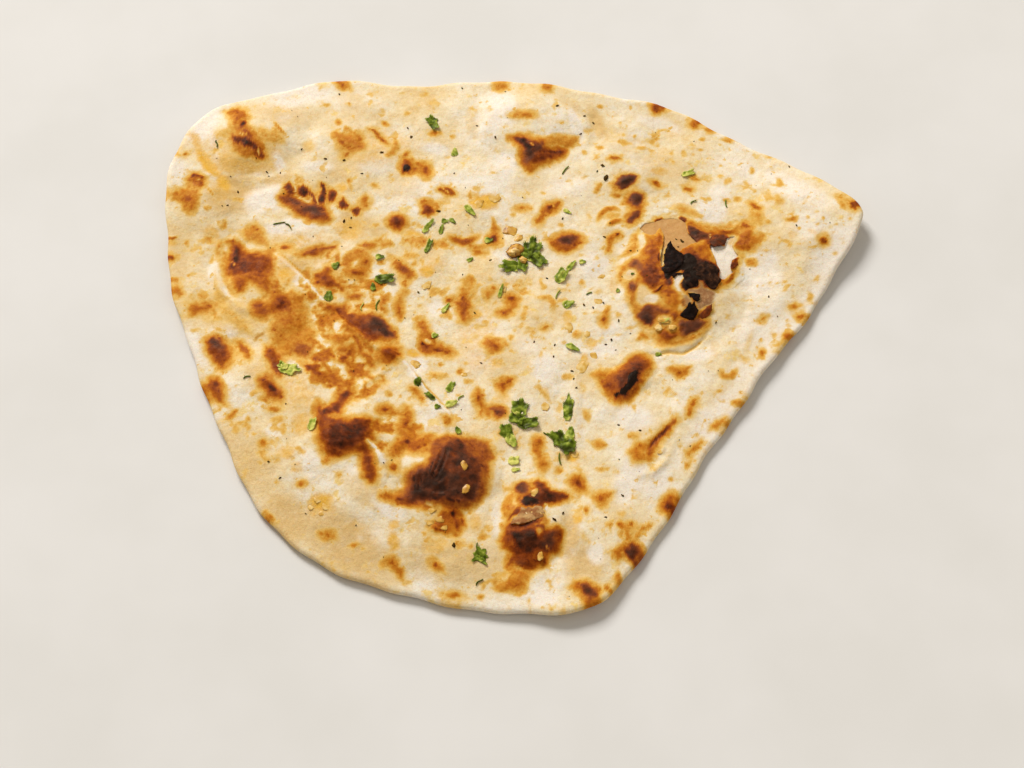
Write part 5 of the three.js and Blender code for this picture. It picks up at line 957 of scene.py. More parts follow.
def ellipse_distance(x, y, oval):
    """1 on the ellipse's border, 0 at its middle."""
    turn = math.radians(oval[4])
    dx, dy = x - oval[0], y - oval[1]
    along = (dx * math.cos(turn) + dy * math.sin(turn)) / oval[2]
    across = (dy * math.cos(turn) - dx * math.sin(turn)) / oval[3]
    return np.sqrt(along ** 2 + across ** 2)


def inside(x, y, oval):
    """1 at the ellipse's middle, 0 from its border outward."""
    return np.clip(1 - ellipse_distance(x, y, oval) ** 2, 0, None)


def line_distance(x, y, points):
    """Distance to a line of points, and how far along it the nearest place is, 0 to 1."""
    best = np.full(np.shape(x), FAR)
    share = np.zeros(np.shape(x))
    lengths = [math.dist(a, b) for a, b in zip(points, points[1:])]
    total = sum(lengths)
    start = 0.0
    for (ax, ay), (bx, by), length in zip(points, points[1:], lengths):
        t = np.clip(((x - ax) * (bx - ax) + (y - ay) * (by - ay)) / length ** 2, 0, 1)
        distance = np.hypot(x - ax - t * (bx - ax), y - ay - t * (by - ay))
        nearer = distance < best
        best = np.where(nearer, distance, best)
        share = np.where(nearer, (start + t * length) / total, share)
        start += length
    return best, share


def in_polygon(x, y, corners):
    hit = np.zeros(np.shape(x), bool)
    for (ax, ay), (bx, by) in zip(corners, corners[1:] + corners[:1]):
        if ay != by:
            crosses = (ay > y) != (by > y)
            hit ^= crosses & (x < ax + (y - ay) * (bx - ax) / (by - ay))
    return hit


def polygon_edge(x, y, corners):
    """Distance to the polygon's border: below 0 inside it."""
    distance, _ = line_distance(x, y, corners + corners[:1])
    return np.where(in_polygon(x, y, corners), -distance, distance)


# ---------------------------------------------------------------------------------------------
# Outline
# ---------------------------------------------------------------------------------------------


SPLINE_STEPS = 200
RIM_SKIP = 3  # one rim point in three is near enough for a distance


def spline(corners, per_side, closed):
    """Catmull-Rom curve through the corners."""
    p = np.array(corners, float)
    if not closed:
        p = np.vstack([2 * p[0] - p[1], p, 2 * p[-1] - p[-2]])
    count = len(p) if closed else len(p) - 3
    t = np.linspace(0, count, count * per_side, endpoint=not closed)
    i = np.minimum(t.astype(int), count - 1)
    f = (t - i)[:, None]
    shift = 0 if closed else 1
    a, b, c, d = (p[(i + shift + n) % len(p)] for n in (-1, 0, 1, 2))
    bend, twist = 2 * a - 5 * b + 4 * c - d, 3 * b - a - 3 * c + d
    return 0.5 * (2 * b + (c - a) * f + bend * f ** 2 + twist * f ** 3)


def evenly(points, count):
    """The closed line resampled to evenly spaced points."""
    loop = np.vstack([points, points[:1]])
    way = np.concatenate([[0], np.cumsum(np.hypot(*np.diff(loop, axis=0).T))])
    at = np.arange(count) / count * way[-1]
    return np.stack([np.interp(at, way, loop[:, 0]), np.interp(at, way, loop[:, 1])], 1)


def make_rim(count):
    points = evenly(spline(OUTLINE, SPLINE_STEPS, True), count)
    turn = 2 * np.pi * np.arange(count) / count
    wobble = sum(depth * np.sin(n * turn + start) for n, depth, start in RIM_WAVES)
    points *= (1 + wobble / np.hypot(*points.T))[:, None]
    low, high = points.min(0), points.max(0)
    return (points - (low + high) / 2) * (np.array([LENGTH, WIDTH]) / (high - low))


GRID = 300  # cells across the crust's mesh
RIM_POINTS = 4 * GRID
rim = make_rim(RIM_POINTS)


def distance_to_rim(x, y):
    best = np.full(np.shape(x), FAR)
    for px, py in rim[::RIM_SKIP]:
        best = np.minimum(best, (x - px) ** 2 + (y - py) ** 2)
    return np.sqrt(best)


# ---------------------------------------------------------------------------------------------
# Heights
# ---------------------------------------------------------------------------------------------

CREASE_STEPS = 8
crease_line = [tuple(point) for point in spline(CREASE, CREASE_STEPS, False)]


def crease_height(x, y):
    distance, share = line_distance(x, y, crease_line)
    index = np.clip((share * (len(crease_line) - 1)).astype(int), 0, len(crease_line) - 2)
    line = np.array(crease_line)
    along = line[index + 1] - line[index]
    along = along / np.hypot(along[..., 0], along[..., 1])[..., None]
    side = along[..., 1] * (x - line[index][..., 0]) - along[..., 0] * (y - line[index][..., 1])
    step = smooth(0.5 + side / (2 * CREASE_RAMP))
    fade = np.sin(np.pi * share) * smooth(2 - distance / (2 * CREASE_REACH))
    return CREASE_STEP * step * np.exp(-np.abs(side) / CREASE_REACH) * fade


def lower_height(x, y, edge_distance):
    edge = 1 - smooth(edge_distance / EDGE_FADE)
    swells = sum(swell[5] * inside(x, y, swell) ** 2 for swell in SWELLS)
    return swells + RIM_LIFT * edge ** 2


def sheet_height(x, y):
    """The upper face without its spots, strokes and burst blisters."""
    edge_distance = distance_to_rim(x, y)
    fade = smooth(edge_distance / EDGE_FADE)
    ripple = sum(height * np.sin(nx * x + ny * y + start) for nx, ny, height, start in RIPPLES)
    ripple = ripple + layered(x, y, FINE_RIPPLES)
    thickness = EDGE_THICKNESS + (THICKNESS - EDGE_THICKNESS + ripple) * fade
    wx, wy = x + layered(x, y, PUFF_WARPS), y + layered(x, y, PUFF_WARPS, OTHER_SEEDS)
    puffs = sum(puff[5] * inside(wx, wy, puff) ** PUFF_ROUNDNESS for puff in PUFFS)
    return lower_height(x, y, edge_distance) + thickness + puffs + crease_height(x, y)


# ---------------------------------------------------------------------------------------------
# Toasting
# ---------------------------------------------------------------------------------------------

SPOTS = SPOTS_UPPER_LEFT + SPOTS_TOP + SPOTS_RIGHT + SPOTS_LEFT + SPOTS_MIDDLE + SPOTS_LOWER
PATCHES = PATCHES_UPPER_LEFT + PATCHES_TOP + PATCHES_LEFT + PATCHES_MIDDLE + PATCHES_LOWER
PATCHES += PATCHES_RIGHT + PATCHES_BURST + PATCHES_SMALL_BURST
MARK_WARPS = [(9, 0.5, 21), (4, 0.45, 22), (1.8, 0.3, 23)]  # size, shift, seed
HALO = 0.22  # how toasted the dough is just outside a dark spot
HALO_LEVELS = (0.25, 0.6)  # a spot's toast where its halo starts, and where it has all of it
HALO_START = -0.5  # a halo fades from here in the spot
HALO_REACH = 3.8  # to here outside it
HALO_FALL = 1.5  # and by this power
SEARCH_REACH = 1.5 * HALO_REACH  # how far round a mark it may change anything
SOFTER = 1.35  # how much softer marks are than their own numbers say
BORDER_SHARE = 0.72  # toast just inside a mark's border, as a share of its middle's
UNEVEN_SHARE = 0.14  # how far a mark's toast wavers
UNEVEN_SIZE = 3
RAG_SIZE = 2.2  # size of the raggedness of a patch's border

# Where each quality fades at a border, in softnesses of it
TOAST_EDGE = (-1, 1)
PURPLE_EDGE = (-1.2, 0.6)
CHAR_EDGE = (-1, 0.8)
GAP_EDGE = (-1, 1.2)
PALE_STROKE_EDGE = (0.4, 1.9)

# Round spots. A pair is a share of the smaller half width, and millimetres added to it
SPOT_RAG = 0.24  # how ragged the border is, as a share of the smaller half width
SPOT_RAG_SIZE = (0.8, 1.2)
SPOT_SOFTNESS = (0.35, 0.3)
SPOT_SOFTNESS_RANGE = (0.45, 2)
SPOT_DEPTH = 0.8  # how far in a spot is fully toasted, as a share of the smaller half width
SPOT_SHIFT = 31  # gives each spot a part of the noise of its own
BLISTER_RISE = 0.16  # height of a toasted spot as a share of its smaller half width

PATCH_RAG = 0.5
PATCH_DEPTH = 2.8  # how far in a patch is fully toasted
PATCH_RISE = 0.75  # height of a toasted patch well inside its border
PATCH_SLOPE = (-0.4, 4)  # where that rise starts and ends, inward from the border


def warped(x, y):
    """The place shifted a little by noise, so that no mark has a clean border."""
    for size, shift, seed in MARK_WARPS:
        layer = [(size, shift, seed)]
        x, y = x + layered(x, y, layer), y + layered(x, y, layer, OTHER_SEEDS)
    return x, y


rough_noise = make_noise(35)


def near_box(x, y, low, high, reach):
    """The places within reach of the box between two corners."""
    wide = (x > low[0] - reach) & (x < high[0] + reach)
    return np.nonzero(wide & (y > low[1] - reach) & (y < high[1] + reach))


class Toasting:
    """What the marks do at each place: toast, purple, char and rise."""

    def __init__(self, x, y):
        self.x, self.y = warped(x, y)
        self.toast, self.halo, self.purple, self.char, self.rise = np.zeros((5, *np.shape(x)))

    def near(self, low, high):
        """The places that a mark between these corners can change."""
        return near_box(self.x, self.y, low, high, SEARCH_REACH)

    def mark(self, near, edge, soft, depth, level, purple, char):
        """Add one mark, given the distance to its border and how far in it is fully toasted."""
        soft = SOFTER * soft
        uneven = level * (BORDER_SHARE + (1 - BORDER_SHARE) * smooth(-edge, 0, depth))
        uneven = uneven * (1 + UNEVEN_SHARE * rough_noise(self.x[near], self.y[near], UNEVEN_SIZE))
        raise_to(self.toast, near, uneven * fading(edge, soft, *TOAST_EDGE))
        strength = HALO * float(smooth(level, *HALO_LEVELS))
        glow = strength * (1 - smooth(edge, HALO_START, HALO_REACH)) ** HALO_FALL
        self.halo[near] = 1 - (1 - self.halo[near]) * (1 - glow)
        raise_to(self.purple, near, purple * fading(edge, soft, *PURPLE_EDGE))
        raise_to(self.char, near, char * fading(edge, soft, *CHAR_EDGE))

    def add_spots(self, spots):
        for n, spot in enumerate(spots):
            cx, cy, half_length, half_width, _, level, *burnt = spot
            purple, char = (burnt + [0, 0])[:2]
            small, big = min(half_length, half_width), max(half_length, half_width)
            near = self.near((cx - big, cy - big), (cx + big, cy + big))
            x, y = self.x[near], self.y[near]
            away = ellipse_distance(x, y, spot)
            rag_size = SPOT_RAG_SIZE[0] * small + SPOT_RAG_SIZE[1]
            edge = (away - 1) * small + SPOT_RAG * small * rough_noise(x + SPOT_SHIFT * n, y, rag_size)
            soft = float(np.clip(SPOT_SOFTNESS[0] * small + SPOT_SOFTNESS[1], *SPOT_SOFTNESS_RANGE))
            self.mark(near, edge, soft, SPOT_DEPTH * small, level, purple, char)
            raise_to(self.rise, near, BLISTER_RISE * small * level * np.clip(1 - away ** 2, 0, None))

    def add_patches(self, patches):
        for level, soft, purple, char, text in patches:
            corners = corners_of(text)
            near = self.near(np.min(corners, 0), np.max(corners, 0))
            edge = polygon_edge(self.x[near], self.y[near], corners)
            edge = edge + PATCH_RAG * rough_noise(self.x[near], self.y[near], RAG_SIZE)
            self.mark(near, edge, soft, PATCH_DEPTH, level, purple, char)
            raise_to(self.rise, near, PATCH_RISE * level * smooth(-edge, *PATCH_SLOPE))


GAP_SEARCH = 3
GAP_RAG = 0.3


def gaps(x, y):
    """Where the skin is cream or tan between its marks: amount, pale, tan and purple."""
    masks = np.zeros((4,) + np.shape(x))
    for share, soft, *tints, text in GAPS:
        corners = corners_of(text)
        near = near_box(x, y, np.min(corners, 0), np.max(corners, 0), GAP_SEARCH)
        edge = polygon_edge(x[near], y[near], corners) + GAP_RAG * rough_noise(x[near], y[near], RAG_SIZE)
        here = share * fading(edge, soft, *GAP_EDGE)
        for mask, tint in zip(masks, [1, *tints]):
            raise_to(mask, near, tint * here)
    return masks


OVAL_FADE = (0.35, 1.2)  # where a soft oval fades, in its own half lengths


def soft_ovals(x, y, ovals):
    """The strongest of the soft ovals at each place: stains, painted shade and painted light."""
    total = np.zeros(np.shape(x))
    for oval in ovals:
        total = np.maximum(total, oval[5] * (1 - smooth(ellipse_distance(x, y, oval), *OVAL_FADE)))
    return total


CLOUDS = [(7, 0.5, 41), (3.2, 0.34, 42), (1.6, 0.2, 43)]  # size, amount, seed
CLOUD_GAIN = 0.75
FAINT_MOTTLE = (0.2, 0.16)  # share of the plain crust that is a little toasted, and how far
FAINT_CUT = (0.86, 1.2)  # clouds thicker than these, less that share, start and end to toast it
MOTTLE_FADE = (0.55, 1.15)  # where a mottled area fades, in its own half lengths
MOTTLE_CUT = 0.84  # clouds thicker than this are toasted where no area is mottled
MOTTLE_FILL = 1.05  # how much a full area lowers that
MOTTLE_SOFT = 0.42
MOTTLE_GAIN = 1.1


def mottled(x, y):
    """Light toasting in clouds: noise cut off at a level set by how full the area is."""
    cloud = 0.5 + CLOUD_GAIN * layered(x, y, CLOUDS)
    share, level = FAINT_MOTTLE
    total = level * smooth(cloud, FAINT_CUT[0] - share, FAINT_CUT[1] - share)
    for oval in MOTTLES:
        weight = 1 - smooth(ellipse_distance(x, y, oval), *MOTTLE_FADE)
        bar = MOTTLE_CUT - MOTTLE_FILL * oval[5] * weight
        total = np.maximum(total, MOTTLE_GAIN * oval[6] * weight * smooth(cloud, bar, bar + MOTTLE_SOFT))
    return total


STROKE_START = 0.08  # how far a stroke's taper has come at its first point
STROKE_SPAN = 0.84  # and how much of the taper it runs through
STROKE_SPREAD = 1.2
STROKE_TOAST = 1.25
PALE_STROKE = 0.85


def stroked(x, y):
    """What the lines add at each place: height, toast, char and pale."""
    height, toast, char, pale = np.zeros((4, *np.shape(x)))
    for points, half_width, rise, add_toast, add_char in STROKES:
        distance, share = line_distance(x, y, points)
        taper = np.sin(np.pi * np.clip(STROKE_START + STROKE_SPAN * share, 0, 1))
        here = np.exp(-(distance / (half_width * STROKE_SPREAD)) ** 2) * taper
        height += rise * here
        toast = np.maximum(toast, add_toast * np.minimum(1, STROKE_TOAST * here))
        char = np.maximum(char, add_char * here)
    # Pale lines: torn skin, and painted highlights on the crease's lip and glints on blisters
    for points, half_width in PALE_LINES_AND_GLINTS:
        distance, _ = line_distance(x, y, points)
        pale = np.maximum(pale, PALE_STROKE * fading(distance, half_width, *PALE_STROKE_EDGE))
    return height, toast, char, pale


# ---------------------------------------------------------------------------------------------
# The crust
# ---------------------------------------------------------------------------------------------

# Marks and toppings are laid out as they are seen from here, on a level sheet at this height
SEEN_FROM = (-0.4, -409.0, 666.6)
SHEET_LEVEL = 5.0
PLACING_ROUNDS = 4  # rounds in which a place settles on the crust

BARE_SEARCH = 1.3  # bare crumb is looked for this far out, in the burst blister's half lengths
CRINKLES = [(2.4, 0.3, 31), (1.3, 0.16, 32)]  # of toasted skin: size, height, seed
CRINKLED = (0.25, 0.85)  # toast at which skin starts to be crinkled, and at which all of it is
PALE_LINE_SHARE = 0.9  # how much of the toast a pale line hides, torn edge and painted highlight alike
SHADED_FLOOR = (79, 26)  # bare crumb left of this x and above this y is painted tan, as shade under the torn skin's upper edge, and pale elsewhere
# how tan that shaded crumb is painted
FLOOR_SHADE_TAN = 0.9


def as_seen(x, y, height):
    """Where a place of this height covers the level sheet."""
    share = (SEEN_FROM[2] - SHEET_LEVEL) / (SEEN_FROM[2] - height)
    return SEEN_FROM[0] + (x - SEEN_FROM[0]) * share, SEEN_FROM[1] + (y - SEEN_FROM[1]) * share


def placed(x, y):
    """The place on the whole crust that covers this place of the level sheet."""
    px, py = x, y
    for _ in range(PLACING_ROUNDS):
        share = (SEEN_FROM[2] - top_of(px, py)) / (SEEN_FROM[2] - SHEET_LEVEL)
        px, py = SEEN_FROM[0] + (x - SEEN_FROM[0]) * share, SEEN_FROM[1] + (y - SEEN_FROM[1]) * share
    return px, py


def tear_distance(x, y, tears):
    """How far each place is from the openings: 0 within them."""
    return np.clip(np.min([polygon_edge(x, y, tear) for tear in tears], 0), 0, None)


def gape(y):
    """How open the burst blister's tears are at each place."""
    return 1 - smooth(y, *CLOSED_ABOVE)


def crust(x, y, roof):
    """The upper crust at each place: its height and the masks that its material reads.

    With roof, burst blisters are whole. Without, the crumb under their roofs is bare.
    """
    height = sheet_height(x, y)
    bare = np.zeros(np.shape(x))
    whole, small = (burst[5] * inside(x, y, burst) ** PUFF_ROUNDNESS for burst in (BURST, SMALL_BURST))
    height = height + whole + small
    if not roof:
        near = np.nonzero(ellipse_distance(x, y, BURST) < BARE_SEARCH)
        bare[near] = 1 - smooth(tear_distance(x[near], y[near], TEARS), *UNDERCUT)
        height -= bare * (CRUMB_DEPTH + CRUMB_SHARE * whole) * gape(y)
    seen = as_seen(x, y, height)
    marks = Toasting(*seen)
    marks.add_spots(SPOTS)
    marks.add_patches(PATCHES)
    lines, line_toast, line_char, line_pale_and_glint = stroked(*seen)
    gap, gap_pale, gap_tan, gap_purple = gaps(marks.x, marks.y)
    left = 1 - gap
    toast = np.maximum(marks.toast, np.maximum(marks.halo, mottled(marks.x, marks.y))) * left
    toast = np.maximum(toast, line_toast) * (1 - PALE_LINE_SHARE * line_pale_and_glint)
    char = np.maximum(marks.char * left, line_char) * (1 - line_pale_and_glint)
    height = height + marks.rise + lines + layered(x, y, CRINKLES) * smooth(toast, *CRINKLED)
    floor = Toasting(*seen)
    floor.add_patches(PATCHES_FLOOR)
    shaded_floor = (x < SHADED_FLOOR[0]) & (y > SHADED_FLOOR[1])
    keep = 1 - bare
    tan = np.maximum(soft_ovals(marks.x, marks.y, TAN_AND_SHADE), gap_tan)
    pale = np.maximum(np.maximum(soft_ovals(marks.x, marks.y, PALE_AND_LIT), line_pale_and_glint), gap_pale)
    # tan holds stains and painted shade; pale holds pale dough and painted light, with the painted highlights
    # and glints of the pale lines
    masks = {
        "toast": toast * keep + floor.toast * bare,
        "purple": np.maximum(marks.purple * left, gap_purple) * keep + floor.purple * bare,
        "char": char * keep + floor.char * bare,
        "tan": tan * keep + FLOOR_SHADE_TAN * bare * shaded_floor,
        "gold": soft_ovals(marks.x, marks.y, GOLD) * left * keep,
        "pale": pale * keep + bare * ~shaded_floor,
        "plain": np.maximum(bare, gap),
    }
    return height, masks


TOP_STEP = 1.0
LAST_CELL = 1.001  # keeps a place just within the table's last cell


def make_top_of():
    xs = np.arange(-LENGTH / 2, LENGTH / 2 + TOP_STEP, TOP_STEP)
    ys = np.arange(-WIDTH / 2, WIDTH / 2 + TOP_STEP, TOP_STEP)
    table = crust(*np.meshgrid(xs, ys, indexing="ij"), roof=True)[0]

    def top_of(x, y):
        u = np.clip((np.asarray(x) - xs[0]) / TOP_STEP, 0, len(xs) - LAST_CELL)
        v = np.clip((np.asarray(y) - ys[0]) / TOP_STEP, 0, len(ys) - LAST_CELL)
        i, j = u.astype(int), v.astype(int)
        fu, fv = u - i, v - j
        low = table[i, j] * (1 - fu) + table[i + 1, j] * fu
        high = table[i, j + 1] * (1 - fu) + table[i + 1, j + 1] * fu
        return low * (1 - fv) + high * fv

    return top_of


top_of = make_top_of()


def placed_corners(text):
    """The corners of an outline on the whole crust."""
    return [tuple(float(part) for part in placed(*corner)) for corner in corners_of(text)]


TEARS = [placed_corners(text) for text in BURST_TEARS]

# ---------------------------------------------------------------------------------------------
# Mesh making
# ---------------------------------------------------------------------------------------------


def make_object(name, vertices, faces, masks=None, uv=None):
    """A smooth mesh with its masks, from places in millimetres."""
    mesh = bpy.data.meshes.new(name)
    places = (np.asarray(vertices) * MM).tolist()
    mesh.from_pydata(places, [], [tuple(int(v) for v in face) for face in faces])
    mesh.update()
    for mask, values in (masks or {}).items():
        layer = mesh.attributes.new(mask, "FLOAT", "POINT")
        layer.data.foreach_set("value", np.asarray(values, np.float32))
    if uv is not None:
        layer = mesh.uv_layers.new(name="OFBake")
        corners = np.empty(len(mesh.loops), np.int32)
        mesh.loops.foreach_get("vertex_index", corners)
        layer.data.foreach_set("uv", np.asarray(uv, np.float32)[corners].ravel())
    mesh.polygons.foreach_set("use_smooth", [True] * len(mesh.polygons))
    made = bpy.data.objects.new(name, mesh)
    bpy.context.scene.collection.objects.link(made)
    return made


def grid_places(cells, points, inset):
    """A square grid mapped to the outline: its rings become rings of the outline's shape."""
    steps = np.arange(cells + 1) * 2 / cells - 1
    a, b = np.meshgrid(steps, steps, indexing="ij")
    share = np.maximum(np.abs(a), np.abs(b))
    safe_a, safe_b = np.where(a == 0, 1, a), np.where(b == 0, 1, b)
    wide = np.abs(a) >= np.abs(b)
    eighths = np.where(wide, b / safe_a + np.where(a > 0, 0, 4), 2 - a / safe_b + np.where(b > 0, 0, 4))
    at = (eighths / 8 % 1) * len(points)
    whole = np.floor(at).astype(int)
    part = (at - whole)[..., None]
    inner = points * (1 - inset / np.hypot(*points.T))[:, None]
    edge = inner[whole % len(points)] * (1 - part) + inner[(whole + 1) % len(points)] * part
    return edge * share[..., None]


def grid_faces(cells):
    i, j = np.meshgrid(np.arange(cells), np.arange(cells), indexing="ij")
    a = (i * (cells + 1) + j).ravel()
    return np.stack([a, a + cells + 1, a + cells + 2, a + 1], 1)


def border_indices(cells):
    """The grid's border vertices, anticlockwise from the middle of the right side."""
    half, last = cells // 2, cells
    loop = [(last, n) for n in range(half, last)] + [(last - n, last) for n in range(last)]
    loop += [(0, last - n) for n in range(last)] + [(n, 0) for n in range(last)]
    loop += [(last, n) for n in range(half)]
    return np.array([i * (cells + 1) + j for i, j in loop])


RIM_ROWS = 6
UV_SPAN = 296.0  # millimetres across the crust's colour map
UV_ROW = 0.9  # millimetres of that map for each row of the rim


def flat_uv(places):
    return places / UV_SPAN + 0.5


def make_crust():
    places = grid_places(GRID, rim, RIM_BEVEL).reshape(-1, 2)
    x, y = places.T
    height, masks = crust(x, y, roof=False)
    vertices = np.column_stack([x, y, height])
    faces = grid_faces(GRID).tolist()
    flat = places.copy()
    border = border_indices(GRID)
    upper = height[border]
    lower = lower_height(rim[:, 0], rim[:, 1], np.full(RIM_POINTS, RIM_BEVEL))
    outward = rim / np.hypot(*rim.T)[:, None]
    ring = border
    for row in range(1, RIM_ROWS + 1):
        angle = np.pi * row / RIM_ROWS
        out = RIM_BEVEL * math.sin(angle)
        z = lower + (upper - lower) * (1 + math.cos(angle)) / 2
        at = rim - outward * (RIM_BEVEL - out)
        next_ring = np.arange(RIM_POINTS) + len(vertices)
        vertices = np.vstack([vertices, np.column_stack([at, z])])
        flat = np.vstack([flat, rim - outward * RIM_BEVEL + outward * row * UV_ROW])
        masks = {key: np.concatenate([mask, mask[border]]) for key, mask in masks.items()}
        after = np.roll(np.arange(RIM_POINTS), -1)
        faces += np.stack([ring, next_ring, next_ring[after], ring[after]], 1).tolist()
        ring = next_ring
    return make_object("naan_crust", vertices, faces, masks, flat_uv(flat))


UNDER_GRID = 140
UNDER_OVERLAP = 0.05  # how far the underside reaches past the crust's rim
UNDER_SPOTS = 130
UNDER_SEED = 7
UNDER_SIZES = (1.2, 4.5, 2.2)  # smallest half length, what is added at most, and how rare that is
UNDER_ROUNDNESS = (0.6, 1)
UNDER_LEVELS = (0.2, 0.42, 1.4)  # the same for how toasted they are
UNDER_MOTTLE_SHIFT = 300  # takes the mottling from a part of the noise that the crust doesn't use
DIMPLES = [(7, 0.12, 61), (3, 0.07, 62)]  # size, depth, seed
UNDER_TAN = (0.25, (38, 0.5, 63))  # everywhere, then clouds of it: size, amount, seed
UNDER_PALE = (0.3, (24, 0.6, 64))


def random_place(random):
    """Anywhere in the bread's box."""
    return random.uniform(-LENGTH / 2, LENGTH / 2), random.uniform(-WIDTH / 2, WIDTH / 2)


def skewed(random, low, span, power):
    """A random number that is more often low than high."""
    return low + span * random.random() ** power


def under_spots():
    """Toasted places where the dough touched the oven wall: many, small and faint."""
    random = np.random.default_rng(UNDER_SEED)
    spots = []
    for _ in range(UNDER_SPOTS):
        x, y = random_place(random)
        size = skewed(random, *UNDER_SIZES)
        level = skewed(random, *UNDER_LEVELS)
        half_width = size * random.uniform(*UNDER_ROUNDNESS)
        spots.append((x, y, size, half_width, random.uniform(0, 180), level))
    return spots


def clouded(x, y, everywhere, layer):
    """A mask of 0 to 1 with soft clouds."""
    return np.clip(everywhere + layered(x, y, [layer]), 0, 1)


def make_underside():
    places = grid_places(UNDER_GRID, rim, RIM_BEVEL - UNDER_OVERLAP).reshape(-1, 2)
    x, y = places.T
    marks = Toasting(x, y)
    marks.add_spots(under_spots())
    z = lower_height(x, y, distance_to_rim(x, y)) + np.clip(layered(x, y, DIMPLES), 0, None)
    mottle = mottled(x + UNDER_MOTTLE_SHIFT, y)
    masks = {
        "toast": np.maximum(marks.toast, np.maximum(marks.halo, mottle)),
        "purple": marks.purple,
        "char": marks.char,
        "tan": clouded(x, y, *UNDER_TAN),
        "gold": np.zeros(len(x)),
        "pale": clouded(x, y, *UNDER_PALE),
    }
    faces = grid_faces(UNDER_GRID)[:, ::-1]
    return make_object("naan_underside", np.column_stack([x, y, z]), faces, masks, flat_uv(places))


# ---------------------------------------------------------------------------------------------
# Thin patches: skins, flaps and leaves
# ---------------------------------------------------------------------------------------------


LEAST_POINTS = 12
# Noise that makes an outline ragged: size, share, and shifts that keep x and y apart
RAGS = [(1.7, 1, 0, 40), (0.8, 0.5, 9, 80)]


def ragged(corners, step, depth, seed):
    """The outline with points every step or so, each pushed in or out by noise."""
    points = np.array(corners, float)
    loop = np.vstack([points, points[:1]])
    length = np.hypot(*np.diff(loop, axis=0).T).sum()
    even = evenly(points, max(LEAST_POINTS, int(length / step)))
    x, y = even.T
    noise = make_noise(seed)
    shift = 0
    for size, share, for_x, for_y in RAGS:
        shift = shift + share * np.stack([noise(x + for_x, y, size), noise(y + for_y, x, size)], 1)
    return even + depth * shift


ROW_SHARE = 0.87  # the rows of equal triangles are this much closer than their corners
BORDER_GAP = 0.55  # no inner corner is nearer to the border, as a share of the spacing
SAME_PLACE = 1e-5


def fill(outer, holes, spacing):
    """Triangles of about one size that fill an outline around its holes."""

    def covered(places):
        within = in_polygon(*places.T, [tuple(p) for p in outer])
        for hole in holes:
            within &= ~in_polygon(*places.T, [tuple(p) for p in hole])
        return within

    low, high = outer.min(0), outer.max(0)
    xs, ys = np.arange(low[0], high[0], spacing), np.arange(low[1], high[1], spacing * ROW_SHARE)
    gx, gy = np.meshgrid(xs, ys)
    gx[1::2] += spacing / 2
    inner = np.stack([gx.ravel(), gy.ravel()], 1)
    inner = inner[covered(inner)]
    loops = [outer] + holes
    border = np.vstack(loops)
    gap = np.full(len(inner), FAR)
    for px, py in border:
        gap = np.minimum(gap, (inner[:, 0] - px) ** 2 + (inner[:, 1] - py) ** 2)
    inner = inner[gap > (BORDER_GAP * spacing) ** 2]
    edges = []
    start = 0
    for loop in loops:
        edges += [(start + n, start + (n + 1) % len(loop)) for n in range(len(loop))]
        start += len(loop)
    points = [Vector(p) for p in np.vstack([border, inner])]
    found = delaunay_2d_cdt(points, edges, [], 0, SAME_PLACE)
    places = np.array([tuple(p) for p in found[0]])
    triangles = np.array([face for face in found[2] if len(face) == 3])
    wanted = covered(places[triangles].mean(1))
    return places, turned_up(places, triangles[wanted])


def turned_up(places, triangles):
    """The triangles, all wound so that they face up."""
    a, b, c = places[triangles].transpose(1, 0, 2)
    flipped = (b[:, 0] - a[:, 0]) * (c[:, 1] - a[:, 1]) < (b[:, 1] - a[:, 1]) * (c[:, 0] - a[:, 0])
    triangles[flipped] = triangles[flipped][:, ::-1]
    return triangles


def only_used(places, triangles):
    """The places that the triangles use, and the triangles numbered to match."""
    used = np.unique(triangles)
    renumber = np.full(len(places), -1)
    renumber[used] = np.arange(len(used))
    return places[used], renumber[triangles]


def thicken(places, triangles, top, thickness):
    """A closed thin solid: the triangles at the top height, again below, and walls between."""
    count = len(places)
    levels = (top, top - thickness)
    vertices = np.vstack([np.column_stack([places, level]) for level in levels])
    sides = np.vstack([triangles[:, [0, 1]], triangles[:, [1, 2]], triangles[:, [2, 0]]])
    known = {(int(a), int(b)) for a, b in sides}
    walls = [(a, a + count, b + count, b) for a, b in sorted(known) if (b, a) not in known]
    faces = triangles.tolist() + (triangles[:, ::-1] + count).tolist() + [list(wall) for wall in walls]
    return vertices, faces


class Collector:
    """Gathers many small meshes into one piece."""

    def __init__(self):
        self.vertices, self.faces, self.masks = [], [], {}
        self.count = 0

    def add(self, vertices, faces, masks):
        self.vertices.append(vertices)
        self.faces += [[index + self.count for index in face] for face in faces]
        for key, values in masks.items():
            self.masks.setdefault(key, []).append(np.broadcast_to(values, len(vertices)))
        self.count += len(vertices)

    def make(self, name):
        masks = {key: np.concatenate(parts) for key, parts in self.masks.items()}
        return make_object(name, np.vstack(self.vertices), self.faces, masks)


def doubled(masks):
    """The masks of a thickened patch, for its upper and its lower places."""
    return {key: np.concatenate([mask, mask]) for key, mask in masks.items()}


